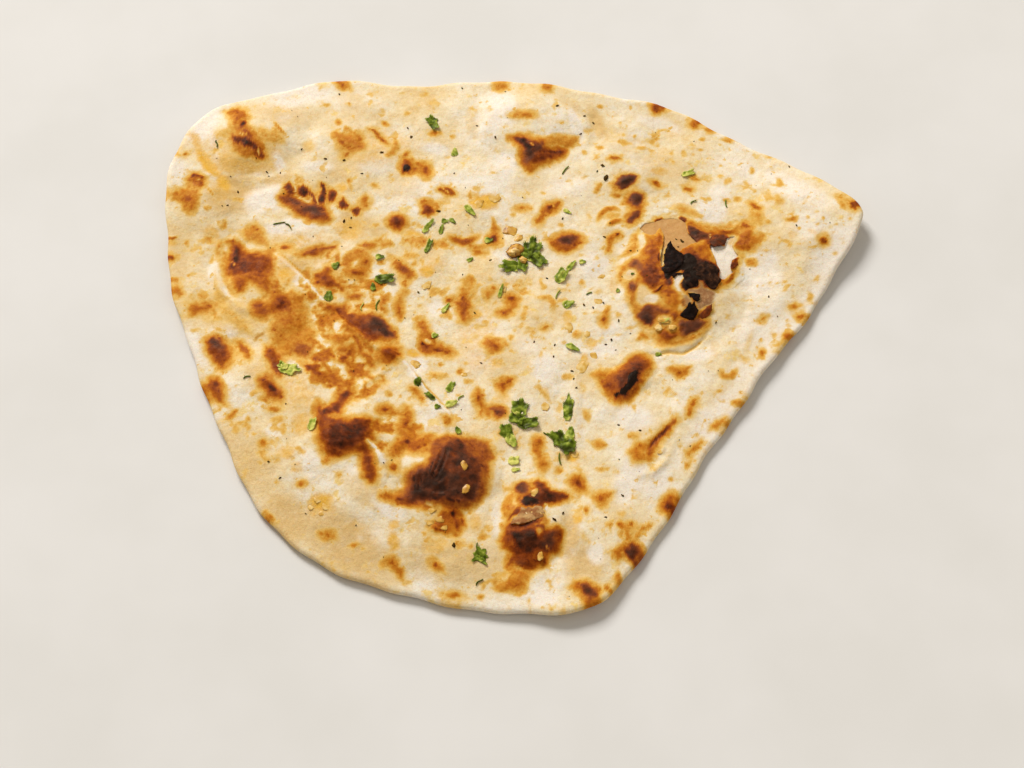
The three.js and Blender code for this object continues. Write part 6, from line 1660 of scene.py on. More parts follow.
ROOF_SPACING = 0.45
ROOF_SIDES = 160
ROOF_SPAN = 1.35  # the roof is cut from an ellipse of this many half lengths of the blister
ROOF_SEED = 300
ROOF_RAG = 0.2
ROOF_GAP = 0.05
ROOF_LIFT = 0.18  # how far a torn edge curls up at least
ROOF_LIFTS = [(5, 0.5, 320)]  # and what is added to it: size, height, seed
ROOF_CRUMPLE = [(3.4, 0.4, 321), (1.7, 0.22, 322)]  # the same
ROOF_SMOOTH_CRUMPLE = 0.25  # the crumple's share where nothing is charred
ROOF_SINK = 0.7  # the roof's outer border sinks this far into the crust
ROOF_SINK_WIDTH = 0.9
CURL_REACH = 1.0  # how far in from an opening the skin curls
CURL_TOAST = 0.22  # how much darker a curled edge is
CURL_TOASTED = (0.3, 0.5)  # toast at which it starts to be darker, and at which it all is


def make_roof():
    """The torn skin over the burst blister, as far as it covers bare crumb."""
    angle = np.linspace(0, 2 * np.pi, ROOF_SIDES, endpoint=False)
    round_burst = np.stack([BURST[2] * np.cos(angle), BURST[3] * np.sin(angle)], 1)
    outer = np.array(BURST[:2]) + ROOF_SPAN * round_burst
    holes = [ragged(tear, ROOF_SPACING, ROOF_RAG, ROOF_SEED + n) for n, tear in enumerate(TEARS)]
    places, triangles = fill(outer, holes, ROOF_SPACING)
    loops = [[tuple(p) for p in hole] for hole in holes]
    away = tear_distance(*places.T, loops)
    places, triangles = only_used(places, triangles[away[triangles].max(1) < ROOF_REACH])
    away = tear_distance(*places.T, loops)
    x, y = places.T
    height, masks = crust(x, y, roof=True)
    curl = np.exp(-away / CURL_REACH)
    lift = ROOF_LIFT + layered(x, y, ROOF_LIFTS)
    crumple = layered(x, y, ROOF_CRUMPLE) * (ROOF_SMOOTH_CRUMPLE + masks["char"])
    free = 1 - smooth(away, *UNDERCUT)
    sunk = ROOF_SINK * smooth(away, ROOF_REACH - ROOF_SINK_WIDTH, ROOF_REACH)
    height = height + ROOF_GAP + free * gape(y) * (curl * lift + crumple) - sunk
    darker = CURL_TOAST * curl * smooth(masks["toast"], *CURL_TOASTED)
    masks["toast"] = np.clip(masks["toast"] + darker, 0, 1)
    vertices, faces = thicken(places, triangles, height, SKIN)
    return make_object("burst_roof", vertices, faces, doubled(masks))


FLAP_THICKNESS = 0.3
FLAP_SPACING = 0.4
FLAP_RAG = 0.34
FLAP_ALONG = (-0.2, 1.2)  # a flap's lift goes on a little past its start and its end
FLAP_SEED = 200
FLAP_SEED_STEP = 10
FLAP_CRUMPLE = [(2.6, 0.22, 1), (1.1, 0.13, 2)]  # size, height, and what is added to the flap's seed
FLAP_MOTTLE = [(2.2, 1, 3)]  # size, amount, the same
FLAP_TOAST_MOTTLE = 0.12
FLAP_TAN = 0.8
BARE_TOAST = 0.2  # a flap that is toasted less shows bare tan dough


def make_flap(gather, flap, seed):
    corners, start, end, low, high, toast, purple, char = flap
    start, end = placed(*start), placed(*end)
    outline = ragged(placed_corners(corners), FLAP_SPACING, FLAP_RAG, seed)
    places, triangles = fill(outline, [], FLAP_SPACING)
    x, y = places.T
    way = np.array(end) - np.array(start)
    along = ((x - start[0]) * way[0] + (y - start[1]) * way[1]) / (way @ way)
    rise = (high - low) * np.clip(along, *FLAP_ALONG) ** 2
    height = top_of(x, y) + low + rise + layered(x, y, FLAP_CRUMPLE, seed)
    mottle = layered(x, y, FLAP_MOTTLE, seed)
    bare = float(toast < BARE_TOAST)
    masks = {
        "toast": np.clip(toast + FLAP_TOAST_MOTTLE * mottle, 0, 1),
        "purple": np.clip(purple * (1 + mottle), 0, 1),
        "char": np.full(len(x), char, float),
        "tan": np.full(len(x), FLAP_TAN * bare),
        "gold": np.zeros(len(x)),
        "pale": np.zeros(len(x)),
        "plain": np.full(len(x), bare),
    }
    vertices, faces = thicken(places, triangles, height, FLAP_THICKNESS)
    gather.add(vertices, faces, doubled(masks))


def make_flaps():
    """The loose skins, and the flakes that are charred through."""
    skins, flakes = Collector(), Collector()
    for n, flap in enumerate(FLAPS):
        charred = flap[-1] == 1
        make_flap(flakes if charred else skins, flap, FLAP_SEED + FLAP_SEED_STEP * n)
    return skins.make("torn_skin"), flakes.make("char_flakes")


# ---------------------------------------------------------------------------------------------
# Toppings
# ---------------------------------------------------------------------------------------------


# A leaf's outline, in shares of its length and of half a turn
LEAF_SIDES = 22  # points for each lobe
LEAF_SWEEP = 0.88
LEAF_HEART = 0.6  # how far it reaches between its lobes
LEAF_ROUGHNESS = 0.045
LOBE_SWEEP = 0.64
LOBE_SPREAD = 0.8
LOBE_TURN = (-0.05, 0.05)
LOBE_SHORTER = 0.3  # how much shorter the outer lobes are
LOBE_SIZES = (-0.1, 0.06)
LOBE_FALL = 0.62
LOBE_FALL_POWER = 2.2
TEETH = 4
TOOTH_SPAN = 1.1
TOOTH_DEPTH = 0.17


def leaf_outline(length, width, lobes, random):
    """A fan of lobes from the stalk's end, each with rounded teeth."""
    count = LEAF_SIDES * lobes
    angle = np.linspace(-LEAF_SWEEP, LEAF_SWEEP, count) * np.pi
    spread = LOBE_SPREAD / lobes
    reach = np.full(count, LEAF_HEART)
    for place in np.linspace(-LOBE_SWEEP, LOBE_SWEEP, lobes):
        middle = (place + random.uniform(*LOBE_TURN)) * np.pi
        size = 1 - LOBE_SHORTER * abs(place) + random.uniform(*LOBE_SIZES)
        away = np.abs(angle - middle) / (spread * np.pi)
        tooth = 1 - TOOTH_DEPTH * np.abs(np.sin(TEETH * away * np.pi / TOOTH_SPAN))
        fall = np.clip(1 - LOBE_FALL * away ** LOBE_FALL_POWER, 0, None)
        reach = np.maximum(reach, size * tooth * fall)
    reach *= 1 + LEAF_ROUGHNESS * random.standard_normal(count)
    points = np.stack([np.cos(angle) * reach, np.sin(angle) * reach], 1)
    low, high = points.min(0), points.max(0)
    return (points - (low + high) / 2) / (high - low) * (length, width)


LEAF_SEED = 600
LEAF_THICKNESS = 0.2
LEAF_SPACING = 0.4
LEAF_GAP = 0.35  # how far over the crust a leaf lies
WHOLE_LEAF = 8  # shorter leaves bend less
LEAF_BEND = (0.3, 1.3)
LEAF_ARCH = (-0.6, 1.0)
LEAF_WAVE = (2.6, 0.5, 700)  # size, height, seed
LEAF_CRINKLE = (1.1, 0.2, 730)  # the same
LEAF_SHADES = (2.2, 0.42, 760)  # size, amount, seed
VEIN_DEPTH = 0.16
VEIN_WIDTH = 0.25
FORK_DEPTH = 0.1
FORK_WIDTH = 0.22
FORK_START = 0.3  # the side veins start this share of the length behind the middle
FORK_SLOPE = 0.6
WAVE_LIGHT_AND_SHADE = 0.7  # how much lighter the crests of the waves are, and darker their troughs: painted light and shade
VEIN_SHADE = 0.9
LEAF_RIM_HIGHLIGHT = 0.34  # how much lighter the leaf's border is: a painted highlight
LEAF_RIM_HIGHLIGHT_FADE = (0.34, 0.5)


def make_leaves():
    gather = Collector()
    wave_size, wave_height, wave_seed = LEAF_WAVE
    for n, (x, y, length, width, turn, lobes, tone) in enumerate(LEAVES):
        random = np.random.default_rng(LEAF_SEED + n)
        outline = leaf_outline(length, width, lobes, random)
        places, triangles = only_used(*fill(outline, [], LEAF_SPACING))
        u, v = places.T
        px, py = moved(*placed(x, y), u, v, math.radians(turn))
        size = min(1, length / WHOLE_LEAF)
        bend = random.uniform(*LEAF_BEND) * size * (u / length + 0.5) ** 2
        arch = random.uniform(*LEAF_ARCH) * size * (v / width) ** 2 * 2
        waves = layered(u, v, [(wave_size, wave_height * size, wave_seed), LEAF_CRINKLE], n)
        vein = -VEIN_DEPTH * np.exp(-(v / VEIN_WIDTH) ** 2)
        start = length * FORK_START
        for side in (-1, 1):
            fork = np.abs(v - side * (u + start) * FORK_SLOPE)
            vein -= FORK_DEPTH * np.exp(-(fork / FORK_WIDTH) ** 2) * (u > -start)
        height = top_of(px, py) + LEAF_GAP + bend + arch + waves + vein
        # A painted highlight round the border, and painted light and shade on the waves
        glow = LEAF_RIM_HIGHLIGHT * smooth(np.hypot(u / length, v / width), *LEAF_RIM_HIGHLIGHT_FADE)
        shade = tone + layered(u, v, [LEAF_SHADES], n) + WAVE_LIGHT_AND_SHADE * waves - VEIN_SHADE * vein + glow
        vertices, faces = thicken(np.stack([px, py], 1), triangles, height, LEAF_THICKNESS)
        gather.add(vertices, faces, {"tone": np.tile(np.clip(shade, 0, 1), 2)})
    return gather.make("coriander_leaves")


STEM_SEED = 900
STEM_RADIUS = 0.3
STEM_SIDES = 7
STEM_RINGS = 9
STEM_TAPER = [0.5, 1, 0.9, 0.35]  # the radius at the first two rings and the last two
STEM_SWAY = 0.12
STEM_SWAY_SPAN = (0.6, 1.6)
STEM_SUNK = 0.8  # height of its middle over the crust, in radii
STEM_LIFT = (0, 0.3)


def make_stems():
    gather = Collector()
    sides, rings = STEM_SIDES, STEM_RINGS
    ring = np.arange(sides) * 2 * np.pi / sides
    radius = STEM_RADIUS * np.interp(np.arange(rings), [0, 1, rings - 2, rings - 1], STEM_TAPER)
    for n, (x, y, length, turn, tone) in enumerate(STEMS):
        random = np.random.default_rng(STEM_SEED + n)
        along = np.linspace(-0.5, 0.5, rings) * length
        sway = STEM_SWAY * length * np.sin(np.linspace(0, np.pi, rings) * random.uniform(*STEM_SWAY_SPAN))
        angle = math.radians(turn)
        px, py = moved(*placed(x, y), along, sway, angle)
        lift = random.uniform(*STEM_LIFT) * np.linspace(0, 1, rings)
        base = top_of(px, py) + STEM_RADIUS * STEM_SUNK + lift
        vertices = []
        for k in range(rings):
            at_x, at_y = moved(px[k], py[k], 0, radius[k] * np.cos(ring), angle)
            vertices.append(np.column_stack([at_x, at_y, base[k] + radius[k] * np.sin(ring)]))
        faces = []
        for k in range(rings - 1):
            for m in range(sides):
                here, beside = k * sides + m, k * sides + (m + 1) % sides
                faces.append([here, beside, beside + sides, here + sides])
        faces += [list(range(sides))[::-1], [(rings - 1) * sides + m for m in range(sides)]]
        gather.add(np.vstack(vertices), faces, {"tone": tone})
    return gather.make("coriander_stems")


def lump(subdivisions):
    """A ball of radius 1 as arrays."""
    ball = bmesh.new()
    bmesh.ops.create_icosphere(ball, subdivisions=subdivisions, radius=1)
    vertices = np.array([v.co[:] for v in ball.verts])
    faces = [[v.index for v in face.verts] for face in ball.faces]
    ball.free()
    return vertices, faces


GARLIC_SEED = 1100
GARLIC_SUBDIVISIONS = 4
GARLIC_SIDE = 0.6  # half its length and width, with some over for what the facets take off
GARLIC_TOP = 0.7  # half its height, the same
GARLIC_SUNK = 0.2  # height of its middle over the crust, as a share of its height
FACETS = 11
FACET_TILT = (1, 1, 0.5)  # more facets look sideways than up
FACET_LEVELS = (0.62, 0.86)  # how far from the middle they cut
GARLIC_ROUGHNESS = (0.16, 1200)  # amount, seed
GARLIC_GRAIN = (0.07, 1250)
GARLIC_LUMPS = 2  # how close together the roughness is, and the grain over it along and up a piece
GARLIC_GRAIN_ALONG = 5
GARLIC_GRAIN_UP = 3
GARLIC_SHADES = (1.8, 0.3, 1300)  # size, amount, seed
FOOT_SHADE = 0.4  # how much darker its lower part is: painted shade
FOOT_RISE = 0.1
FOOT_TOP = 0.7


def make_garlic():
    gather = Collector()
    ball, faces = lump(GARLIC_SUBDIVISIONS)
    bx, by, bz = ball.T
    for n, (x, y, length, width, rise, turn, tone) in enumerate(GARLIC):
        random = np.random.default_rng(GARLIC_SEED + n)
        facets = random.standard_normal((FACETS, 3)) * FACET_TILT
        facets /= np.linalg.norm(facets, axis=1)[:, None]
        level = random.uniform(*FACET_LEVELS, FACETS)
        cut = np.minimum(1, level / np.clip(ball @ facets.T, level, None)).min(1)
        rough = 1 + layered(bx * GARLIC_LUMPS, by * GARLIC_LUMPS + bz, [(1, *GARLIC_ROUGHNESS)], n)
        along, across = bx * GARLIC_GRAIN_ALONG, by * GARLIC_GRAIN_ALONG + bz * GARLIC_GRAIN_UP
        rough += layered(along, across, [(1, *GARLIC_GRAIN)], n)
        half_sizes = np.array([GARLIC_SIDE * length, GARLIC_SIDE * width, rise * GARLIC_TOP])
        shaped = ball * (cut * rough)[:, None] * half_sizes
        x, y = placed(x, y)
        px, py = moved(x, y, shaped[:, 0], shaped[:, 1], math.radians(turn))
        height = float(top_of(x, y)) + rise * GARLIC_SUNK + shaped[:, 2]
        # Painted shade: the lower part of each piece is darker
        foot_shade = FOOT_SHADE * min(1, rise + FOOT_RISE) * (1 - smooth(bz, 0, FOOT_TOP))
        shade = tone + layered(px, py, [GARLIC_SHADES], n) - foot_shade
        gather.add(np.column_stack([px, py, height]), faces, {"tone": np.clip(shade, 0, 1)})
    return gather.make("garlic")


def scattered_specks():
    """Finer specks than the placed ones, kept off the rim."""
    random = np.random.default_rng(SCATTER_SEED)
    coarse_rim = [tuple(point) for point in rim[::COARSE_SKIP]]
    specks = []
    while len(specks) < SCATTER_COUNT:
        x, y = random_place(random)
        here = np.array([x]), np.array([y])
        if in_polygon(*here, coarse_rim)[0] and distance_to_rim(*here)[0] > SCATTER_MARGIN:
            specks.append((x, y, random.uniform(*SCATTER_SIZES)))
    return specks


SPECK_SEED = 1500
SPECK_SUBDIVISIONS = 2
SPECK_SHAPE = (1.1, 0.6, 0.4)  # length, width and height
SPECK_ROUGHNESS = 0.22
SPECK_GAP = 0.1
SPECK_TONE = 0.5


def make_specks():
    gather = Collector()
    ball, faces = lump(SPECK_SUBDIVISIONS)
    specks = SPECKS + scattered_specks()
    at_x, at_y = placed(*np.array(specks).T[:2])
    level = crust(at_x, at_y, roof=False)[0]
    for n, (_, _, size) in enumerate(specks):
        random = np.random.default_rng(SPECK_SEED + n)
        half = SPECK_SIZE * size / 2
        jitter = 1 + SPECK_ROUGHNESS * random.standard_normal(len(ball))
        shaped = ball * jitter[:, None] * np.array([half * share for share in SPECK_SHAPE])
        px, py = moved(at_x[n], at_y[n], shaped[:, 0], shaped[:, 1], random.uniform(0, np.pi))
        height = level[n] + SPECK_GAP + shaped[:, 2]
        gather.add(np.column_stack([px, py, height]), faces, {"tone": random.random() * SPECK_TONE})
    return gather.make("herb_specks")


# ---------------------------------------------------------------------------------------------
# Materials
# ---------------------------------------------------------------------------------------------


def linear(red, green, blue):
    """A colour of 0 to 255, as the shader's linear light."""
    parts = [value / 255 for value in (red, green, blue)]
    return tuple(v / 12.92 if v <= 0.04045 else ((v + 0.055) / 1.055) ** 2.4 for v in parts) + (1.0,)


NOISE_REACH = 4  # noise keeps near 0.5, so a push is this many times as strong as it says
DOT_WARP_SIZE = 0.5  # how dots are made irregular, in cells
DOT_WARP = 0.3
DOT_RAG = 0.6  # raggedness of a dot's border, in its radii
DOT_OUTER = 1.7  # a dot fades from here, in its radii
DOT_INNER = 0.5  # to here
DOT_CUT = (0.95, 1.1)  # cells above these, less the share, start and end to have a dot


class Nodes:
    """Short names for building a material's node tree."""

    def __init__(self, name):
        self.material = bpy.data.materials.new(name)
        self.material.use_nodes = True
        self.tree = self.material.node_tree
        self.tree.nodes.clear()
        self.surface = self.tree.nodes.new("ShaderNodeBsdfPrincipled")
        output = self.tree.nodes.new("ShaderNodeOutputMaterial")
        self.link(self.surface.outputs["BSDF"], output.inputs["Surface"])
        self.place = self.tree.nodes.new("ShaderNodeTexCoord").outputs["Object"]

    def link(self, source, target):
        self.tree.links.new(source, target)

    def feed(self, value, socket):
        if isinstance(value, bpy.types.NodeSocket):
            self.link(value, socket)
        else:
            socket.default_value = value

    def paint(self, colour):
        self.feed(colour, self.surface.inputs["Base Color"])

    def fix(self, values):
        """Values that are the same all over the surface, on the shader's own sockets."""
        for name, value in values.items():
            self.surface.inputs[name].default_value = value

    def mask(self, name):
        node = self.tree.nodes.new("ShaderNodeAttribute")
        node.attribute_name = name
        return node.outputs["Fac"]

    def noise(self, size_mm, detail=3.0, roughness=0.55, shift=0.0):
        """Noise of 0 to 1 whose features are about size_mm wide."""
        node = self.tree.nodes.new("ShaderNodeTexNoise")
        node.noise_dimensions = "4D"
        self.link(self.place, node.inputs["Vector"])
        node.inputs["W"].default_value = shift
        node.inputs["Scale"].default_value = 1 / (size_mm * MM)
        node.inputs["Detail"].default_value = detail
        node.inputs["Roughness"].default_value = roughness
        return node.outputs["Fac"]

    def shifted_place(self, size_mm, amount_mm):
        """The place pushed about by noise, so that shapes made from it are irregular."""
        noise = self.tree.nodes.new("ShaderNodeTexNoise")
        self.link(self.place, noise.inputs["Vector"])
        noise.inputs["Scale"].default_value = 1 / (size_mm * MM)
        noise.inputs["Detail"].default_value = 2.0
        push = self.tree.nodes.new("ShaderNodeVectorMath")
        push.operation = "MULTIPLY_ADD"
        self.link(noise.outputs["Color"], push.inputs[0])
        push.inputs[1].default_value = (NOISE_REACH * amount_mm * MM,) * 3
        self.link(self.place, push.inputs[2])
        return push.outputs["Vector"]

    def dots(self, cell_mm, share, radius, rough, crowding):
        """Soft irregular dots in some of a pattern's cells: share is how many, radius is in cells."""
        node = self.tree.nodes.new("ShaderNodeTexVoronoi")
        place = self.shifted_place(DOT_WARP_SIZE * cell_mm, DOT_WARP * cell_mm)
        self.link(place, node.inputs["Vector"])
        node.inputs["Scale"].default_value = 1 / (cell_mm * MM)
        parts = self.tree.nodes.new("ShaderNodeSeparateColor")
        self.link(node.outputs["Color"], parts.inputs["Color"])
        away = self.plus(node.outputs["Distance"], self.around(rough, DOT_RAG * radius))
        away = self.plus(away, self.times(parts.outputs["Green"], radius))
        dot = self.remap(away, DOT_OUTER * radius, DOT_INNER * radius)
        chosen = self.plus(parts.outputs["Red"], crowding)
        return self.times(dot, self.remap(chosen, DOT_CUT[0] - share, DOT_CUT[1] - share))

    def math(self, operation, first, second=0.0, clamp=False):
        node = self.tree.nodes.new("ShaderNodeMath")
        node.operation = operation
        node.use_clamp = clamp
        self.feed(first, node.inputs[0])
        self.feed(second, node.inputs[1])
        return node.outputs[0]

    def times(self, first, second):
        return self.math("MULTIPLY", first, second)

    def plus(self, first, second, clamp=False):
        return self.math("ADD", first, second, clamp)

    def mean(self, first, share, second, other_share):
        return self.plus(self.times(first, share), self.times(second, other_share))

    def around(self, value, amount):
        """Noise of 0 to 1 as a push of up to the amount either way."""
        return self.times(self.math("SUBTRACT", value, 0.5), amount)

    def remap(self, value, low, high, to_low=0.0, to_high=1.0):
        node = self.tree.nodes.new("ShaderNodeMapRange")
        node.interpolation_type = "SMOOTHSTEP"
        self.feed(value, node.inputs["Value"])
        node.inputs["From Min"].default_value = low
        node.inputs["From Max"].default_value = high
        node.inputs["To Min"].default_value = to_low
        node.inputs["To Max"].default_value = to_high
        return node.outputs["Result"]

    def ramp(self, value, stops):
        node = self.tree.nodes.new("ShaderNodeValToRGB")
        self.feed(value, node.inputs["Fac"])
        elements = node.color_ramp.elements
        while len(elements) < len(stops):
            elements.new(1.0)
        for element, (position, colour) in zip(elements, stops):
            element.position = position
            element.color = linear(*colour)
        return node.outputs["Color"]

    def mix(self, factor, first, second, blend="MIX"):
        node = self.tree.nodes.new("ShaderNodeMix")
        node.data_type = "RGBA"
        node.blend_type = blend
        self.feed(factor, node.inputs["Factor"])
        self.feed(first, node.inputs["A"])
        self.feed(second, node.inputs["B"])
        return node.outputs["Result"]

    def bump(self, height, distance_mm, strength, below=None):
        node = self.tree.nodes.new("ShaderNodeBump")
        node.inputs["Distance"].default_value = distance_mm * MM
        node.inputs["Strength"].default_value = strength
        self.link(height, node.inputs["Height"])
        if below is not None:
            self.link(below, node.inputs["Normal"])
        return node.outputs["Normal"]


# Colours of 0 to 255, most of them at stops of a ramp
DOUGH_STOPS = [
    (0.38, (248, 239, 222)), (0.5, (245, 229, 194)), (0.6, (241, 216, 166)), (0.68, (232, 198, 136)),
]
DAPPLE = (238, 204, 140)
# Tan: stained dough, and painted shade
TAN_AND_SHADE_STOPS = [
    (0.0, (236, 206, 146)), (0.5, (224, 185, 118)), (0.75, (213, 168, 106)), (1.0, (200, 150, 90)),
]
# Pale dough, and painted light
PALE_AND_LIT_DOUGH = (248, 238, 222)
BUTTER = (242, 205, 108)
GHEE = (238, 184, 66)
TOAST_STOPS = [
    (0.0, (238, 212, 162)), (0.1, (238, 203, 130)), (0.2, (231, 183, 90)), (0.3, (218, 153, 53)),
    (0.42, (200, 121, 22)), (0.52, (176, 92, 10)), (0.64, (142, 62, 5)), (0.76, (106, 40, 3)),
    (0.88, (68, 25, 2)), (1.0, (36, 14, 3)),
]
PURPLE_STOPS = [(0.5, (150, 91, 56)), (0.7, (110, 65, 44)), (0.95, (66, 41, 32))]
CHAR_BLACK = (28, 14, 7)
SPECKLE = (214, 180, 134)  # multiplies the colour under it
LEAF_STOPS = [
    (0.0, (52, 58, 4)), (0.25, (82, 97, 12)), (0.5, (118, 134, 33)), (0.75, (164, 172, 64)),
    (1.0, (212, 206, 106)),
]
GARLIC_STOPS = [
    (0.0, (104, 58, 16)), (0.2, (180, 122, 32)), (0.5, (220, 168, 66)), (0.8, (240, 202, 124)),
    (1.0, (246, 222, 166)),
]
CHAR_STOPS = [(0.36, (13, 6, 3)), (0.5, (24, 11, 5)), (0.6, (44, 20, 9)), (0.7, (84, 42, 18))]
BROWN_STOPS = [(0.36, (30, 16, 9)), (0.5, (52, 31, 19)), (0.6, (84, 52, 32)), (0.7, (120, 74, 42))]
SPECK_STOPS = [(0.0, (46, 30, 8)), (0.5, (82, 60, 20)), (1.0, (130, 104, 40))]
FLOOR_DARKER = (226, 224, 220)
FLOOR_LIGHTER = (231, 229, 226)

# Noise: size in millimetres, detail, roughness, and a shift that keeps it apart from the others
BROAD = (26, 4)
PATCHY = (6, 4, 0.6, 3)
GRAIN = (1.8, 4, 0.65, 7)
FINE = (0.5, 3, 0.6, 9)
DAPPLING = (3.6, 4, 0.6, 31)
BUTTERING = (6, 4, 0.6, 41)
DRYNESS = (3, 3, 0.6, 15)
PORES = (2.6, 6, 0.72, 21)
CRACKLE = (0.8, 4, 0.7, 25)
LEAF_TONES = (0.9, 4)
LEAF_GLOSS = (1.5, 3, 0.6, 4)
LEAF_GRAIN = (0.5, 4, 0.6, 8)
GARLIC_TONES = (1.3, 4)
GARLIC_GLOSS = (1, 3, 0.6, 5)
GARLIC_PITS = (0.7, 4, 0.6, 9)
CHAR_GRAIN = (2, 6, 0.72)
CHAR_CLOUDS = (3.4, 4, 0.6, 6)
CHAR_GLOSS = (2.4, 3, 0.6, 5)
CHAR_LUMPS = (1.6, 6, 0.75, 12)
CHAR_PITS = (0.4, 4, 0.7, 14)
SPECK_TONES = (0.6, 3)
SPECK_GLOSS = (0.8, 2, 0.6, 5)
FLOOR_CLOUDS = (60, 3)

# Ranges: where something starts and ends to come in, and for some how strong it is at each
MIDDLING = (0.3, 0.7)
DAPPLED = (0.52, 0.7, 0, 0.48)
BUTTERED = (0.56, 0.68)
TAN_FAINT = (0, 0.4)
TAN_STRONG = (0.5, 0.9)
TAN_PATCHES = (0.1, 0.5)
PALE_RANGE = (0, 0.7)
PALE_PATCHES = (0.85, 0.5)
GHEE_RANGE = (0.0, 0.9)
GHEE_FAINT = (0, 0.45)
GRAIN_WAVER = (0.03, 0.3)
PATCHY_WAVER = (0.1, 0.5)
TOASTED = (0.0, 0.16)
BLOOMING = (0.4, 0.8, 0.45, 1)
BURNT = (0.45, 0.95)
SPECKLED = (0.42, 0.66, 0.0, 0.3)
DRY_RANGE = (0.3, 0.7, 0.55, 0.75)
OILY_TOAST = (0.3, 0.7)
OIL_GLOSS = (0.35, 0.6, 0.15, 0.4)
LEAF_GLOSS_RANGE = (0.3, 0.7, 0.38, 0.62)
GARLIC_GLOSS_RANGE = (0.3, 0.7, 0.28, 0.5)
CHAR_GLOSS_RANGE = (0.3, 0.7, 0.5, 0.8)
CHAR_BROWNED = (0.2, 0.9)
SPECK_GLOSS_RANGE = (0.3, 0.7, 0.6, 0.85)

# How strong the noises and the coverings are
BROAD_SHARE = 0.7
PATCHY_SHARE = 0.3
GRAIN_PUSH = 0.12
BUTTER_PUSH = -0.16
BUTTER_SHARE = 0.8
TAN_PUSH = 0.4
GHEE_PUSH = 0.6
DOTS = (5.6, 0.3, 0.38)  # the width of their cells in millimetres, how many have one, radius in cells
DOTS_CROWDING = 1.2
DOTS_TOAST = 0.15
FINE_DOTS = (2.4, 0.3, 0.3)
FINE_DOTS_CROWDING = 1.6
FINE_DOTS_TOAST = 0.14
GRAIN_WAVER_SHARE = 0.4
PATCHY_WAVER_SHARE = 0.34
BLOOM_FINE = 0.5
BLOOM_SHARE = 0.9
BURNT_PUSH = 0.8
SPECKLE_FINE = 0.6
SPECKLE_GRAIN = 0.4
TOAST_OIL = 0.35
TONE_PUSH = 0.6
CHAR_PUSH = 0.9
SPECK_PUSH = 0.4

# Bumps: depth in millimetres, strength
PORE_BUMP = (0.7, 0.7)
CRACKLE_BUMP = (0.25, 0.7)
TOPPING_BUMP = (0.12, 0.6)
CHAR_LUMP_BUMP = (0.5, 0.7)
CHAR_PIT_BUMP = (0.2, 0.7)

# What is the same all over each surface
DOUGH_SURFACE = {
    "Specular IOR Level": 0.14,
    "Specular Tint": (1.0, 0.86, 0.66, 1.0),
    "Subsurface Weight": 0.1,
    "Subsurface Radius": (0.0022, 0.0012, 0.0006),
    "Subsurface Scale": 1.0,
}
LEAF_SURFACE = {"Specular IOR Level": 0.18, "Specular Tint": (1.0, 0.94, 0.6, 1.0)}
GARLIC_SURFACE = {
    "Subsurface Weight": 0.12,
    "Subsurface Radius": (0.0012, 0.001, 0.0005),
    "Subsurface Scale": 1.0,
    "Specular IOR Level": 0.3,
    "Coat Weight": 0.15,
    "Coat Roughness": 0.25,
}
CHAR_SURFACE = {"Specular IOR Level": 0.07}
SPECK_SURFACE = {"Specular IOR Level": 0.05}
FLOOR_SURFACE = {"Roughness": 0.85, "Specular IOR Level": 0.2}


def freckles(n, broad, patchy, grain, fine, plain):
    """Small golden dots and finer ones, as extra toast. There are none on plain crumb."""
    large = n.times(n.dots(*DOTS, grain, n.around(broad, DOTS_CROWDING)), DOTS_TOAST)
    small = n.times(n.dots(*FINE_DOTS, fine, n.around(patchy, FINE_DOTS_CROWDING)), FINE_DOTS_TOAST)
    return n.times(n.math("MAXIMUM", large, small), n.math("SUBTRACT", 1.0, plain, clamp=True))


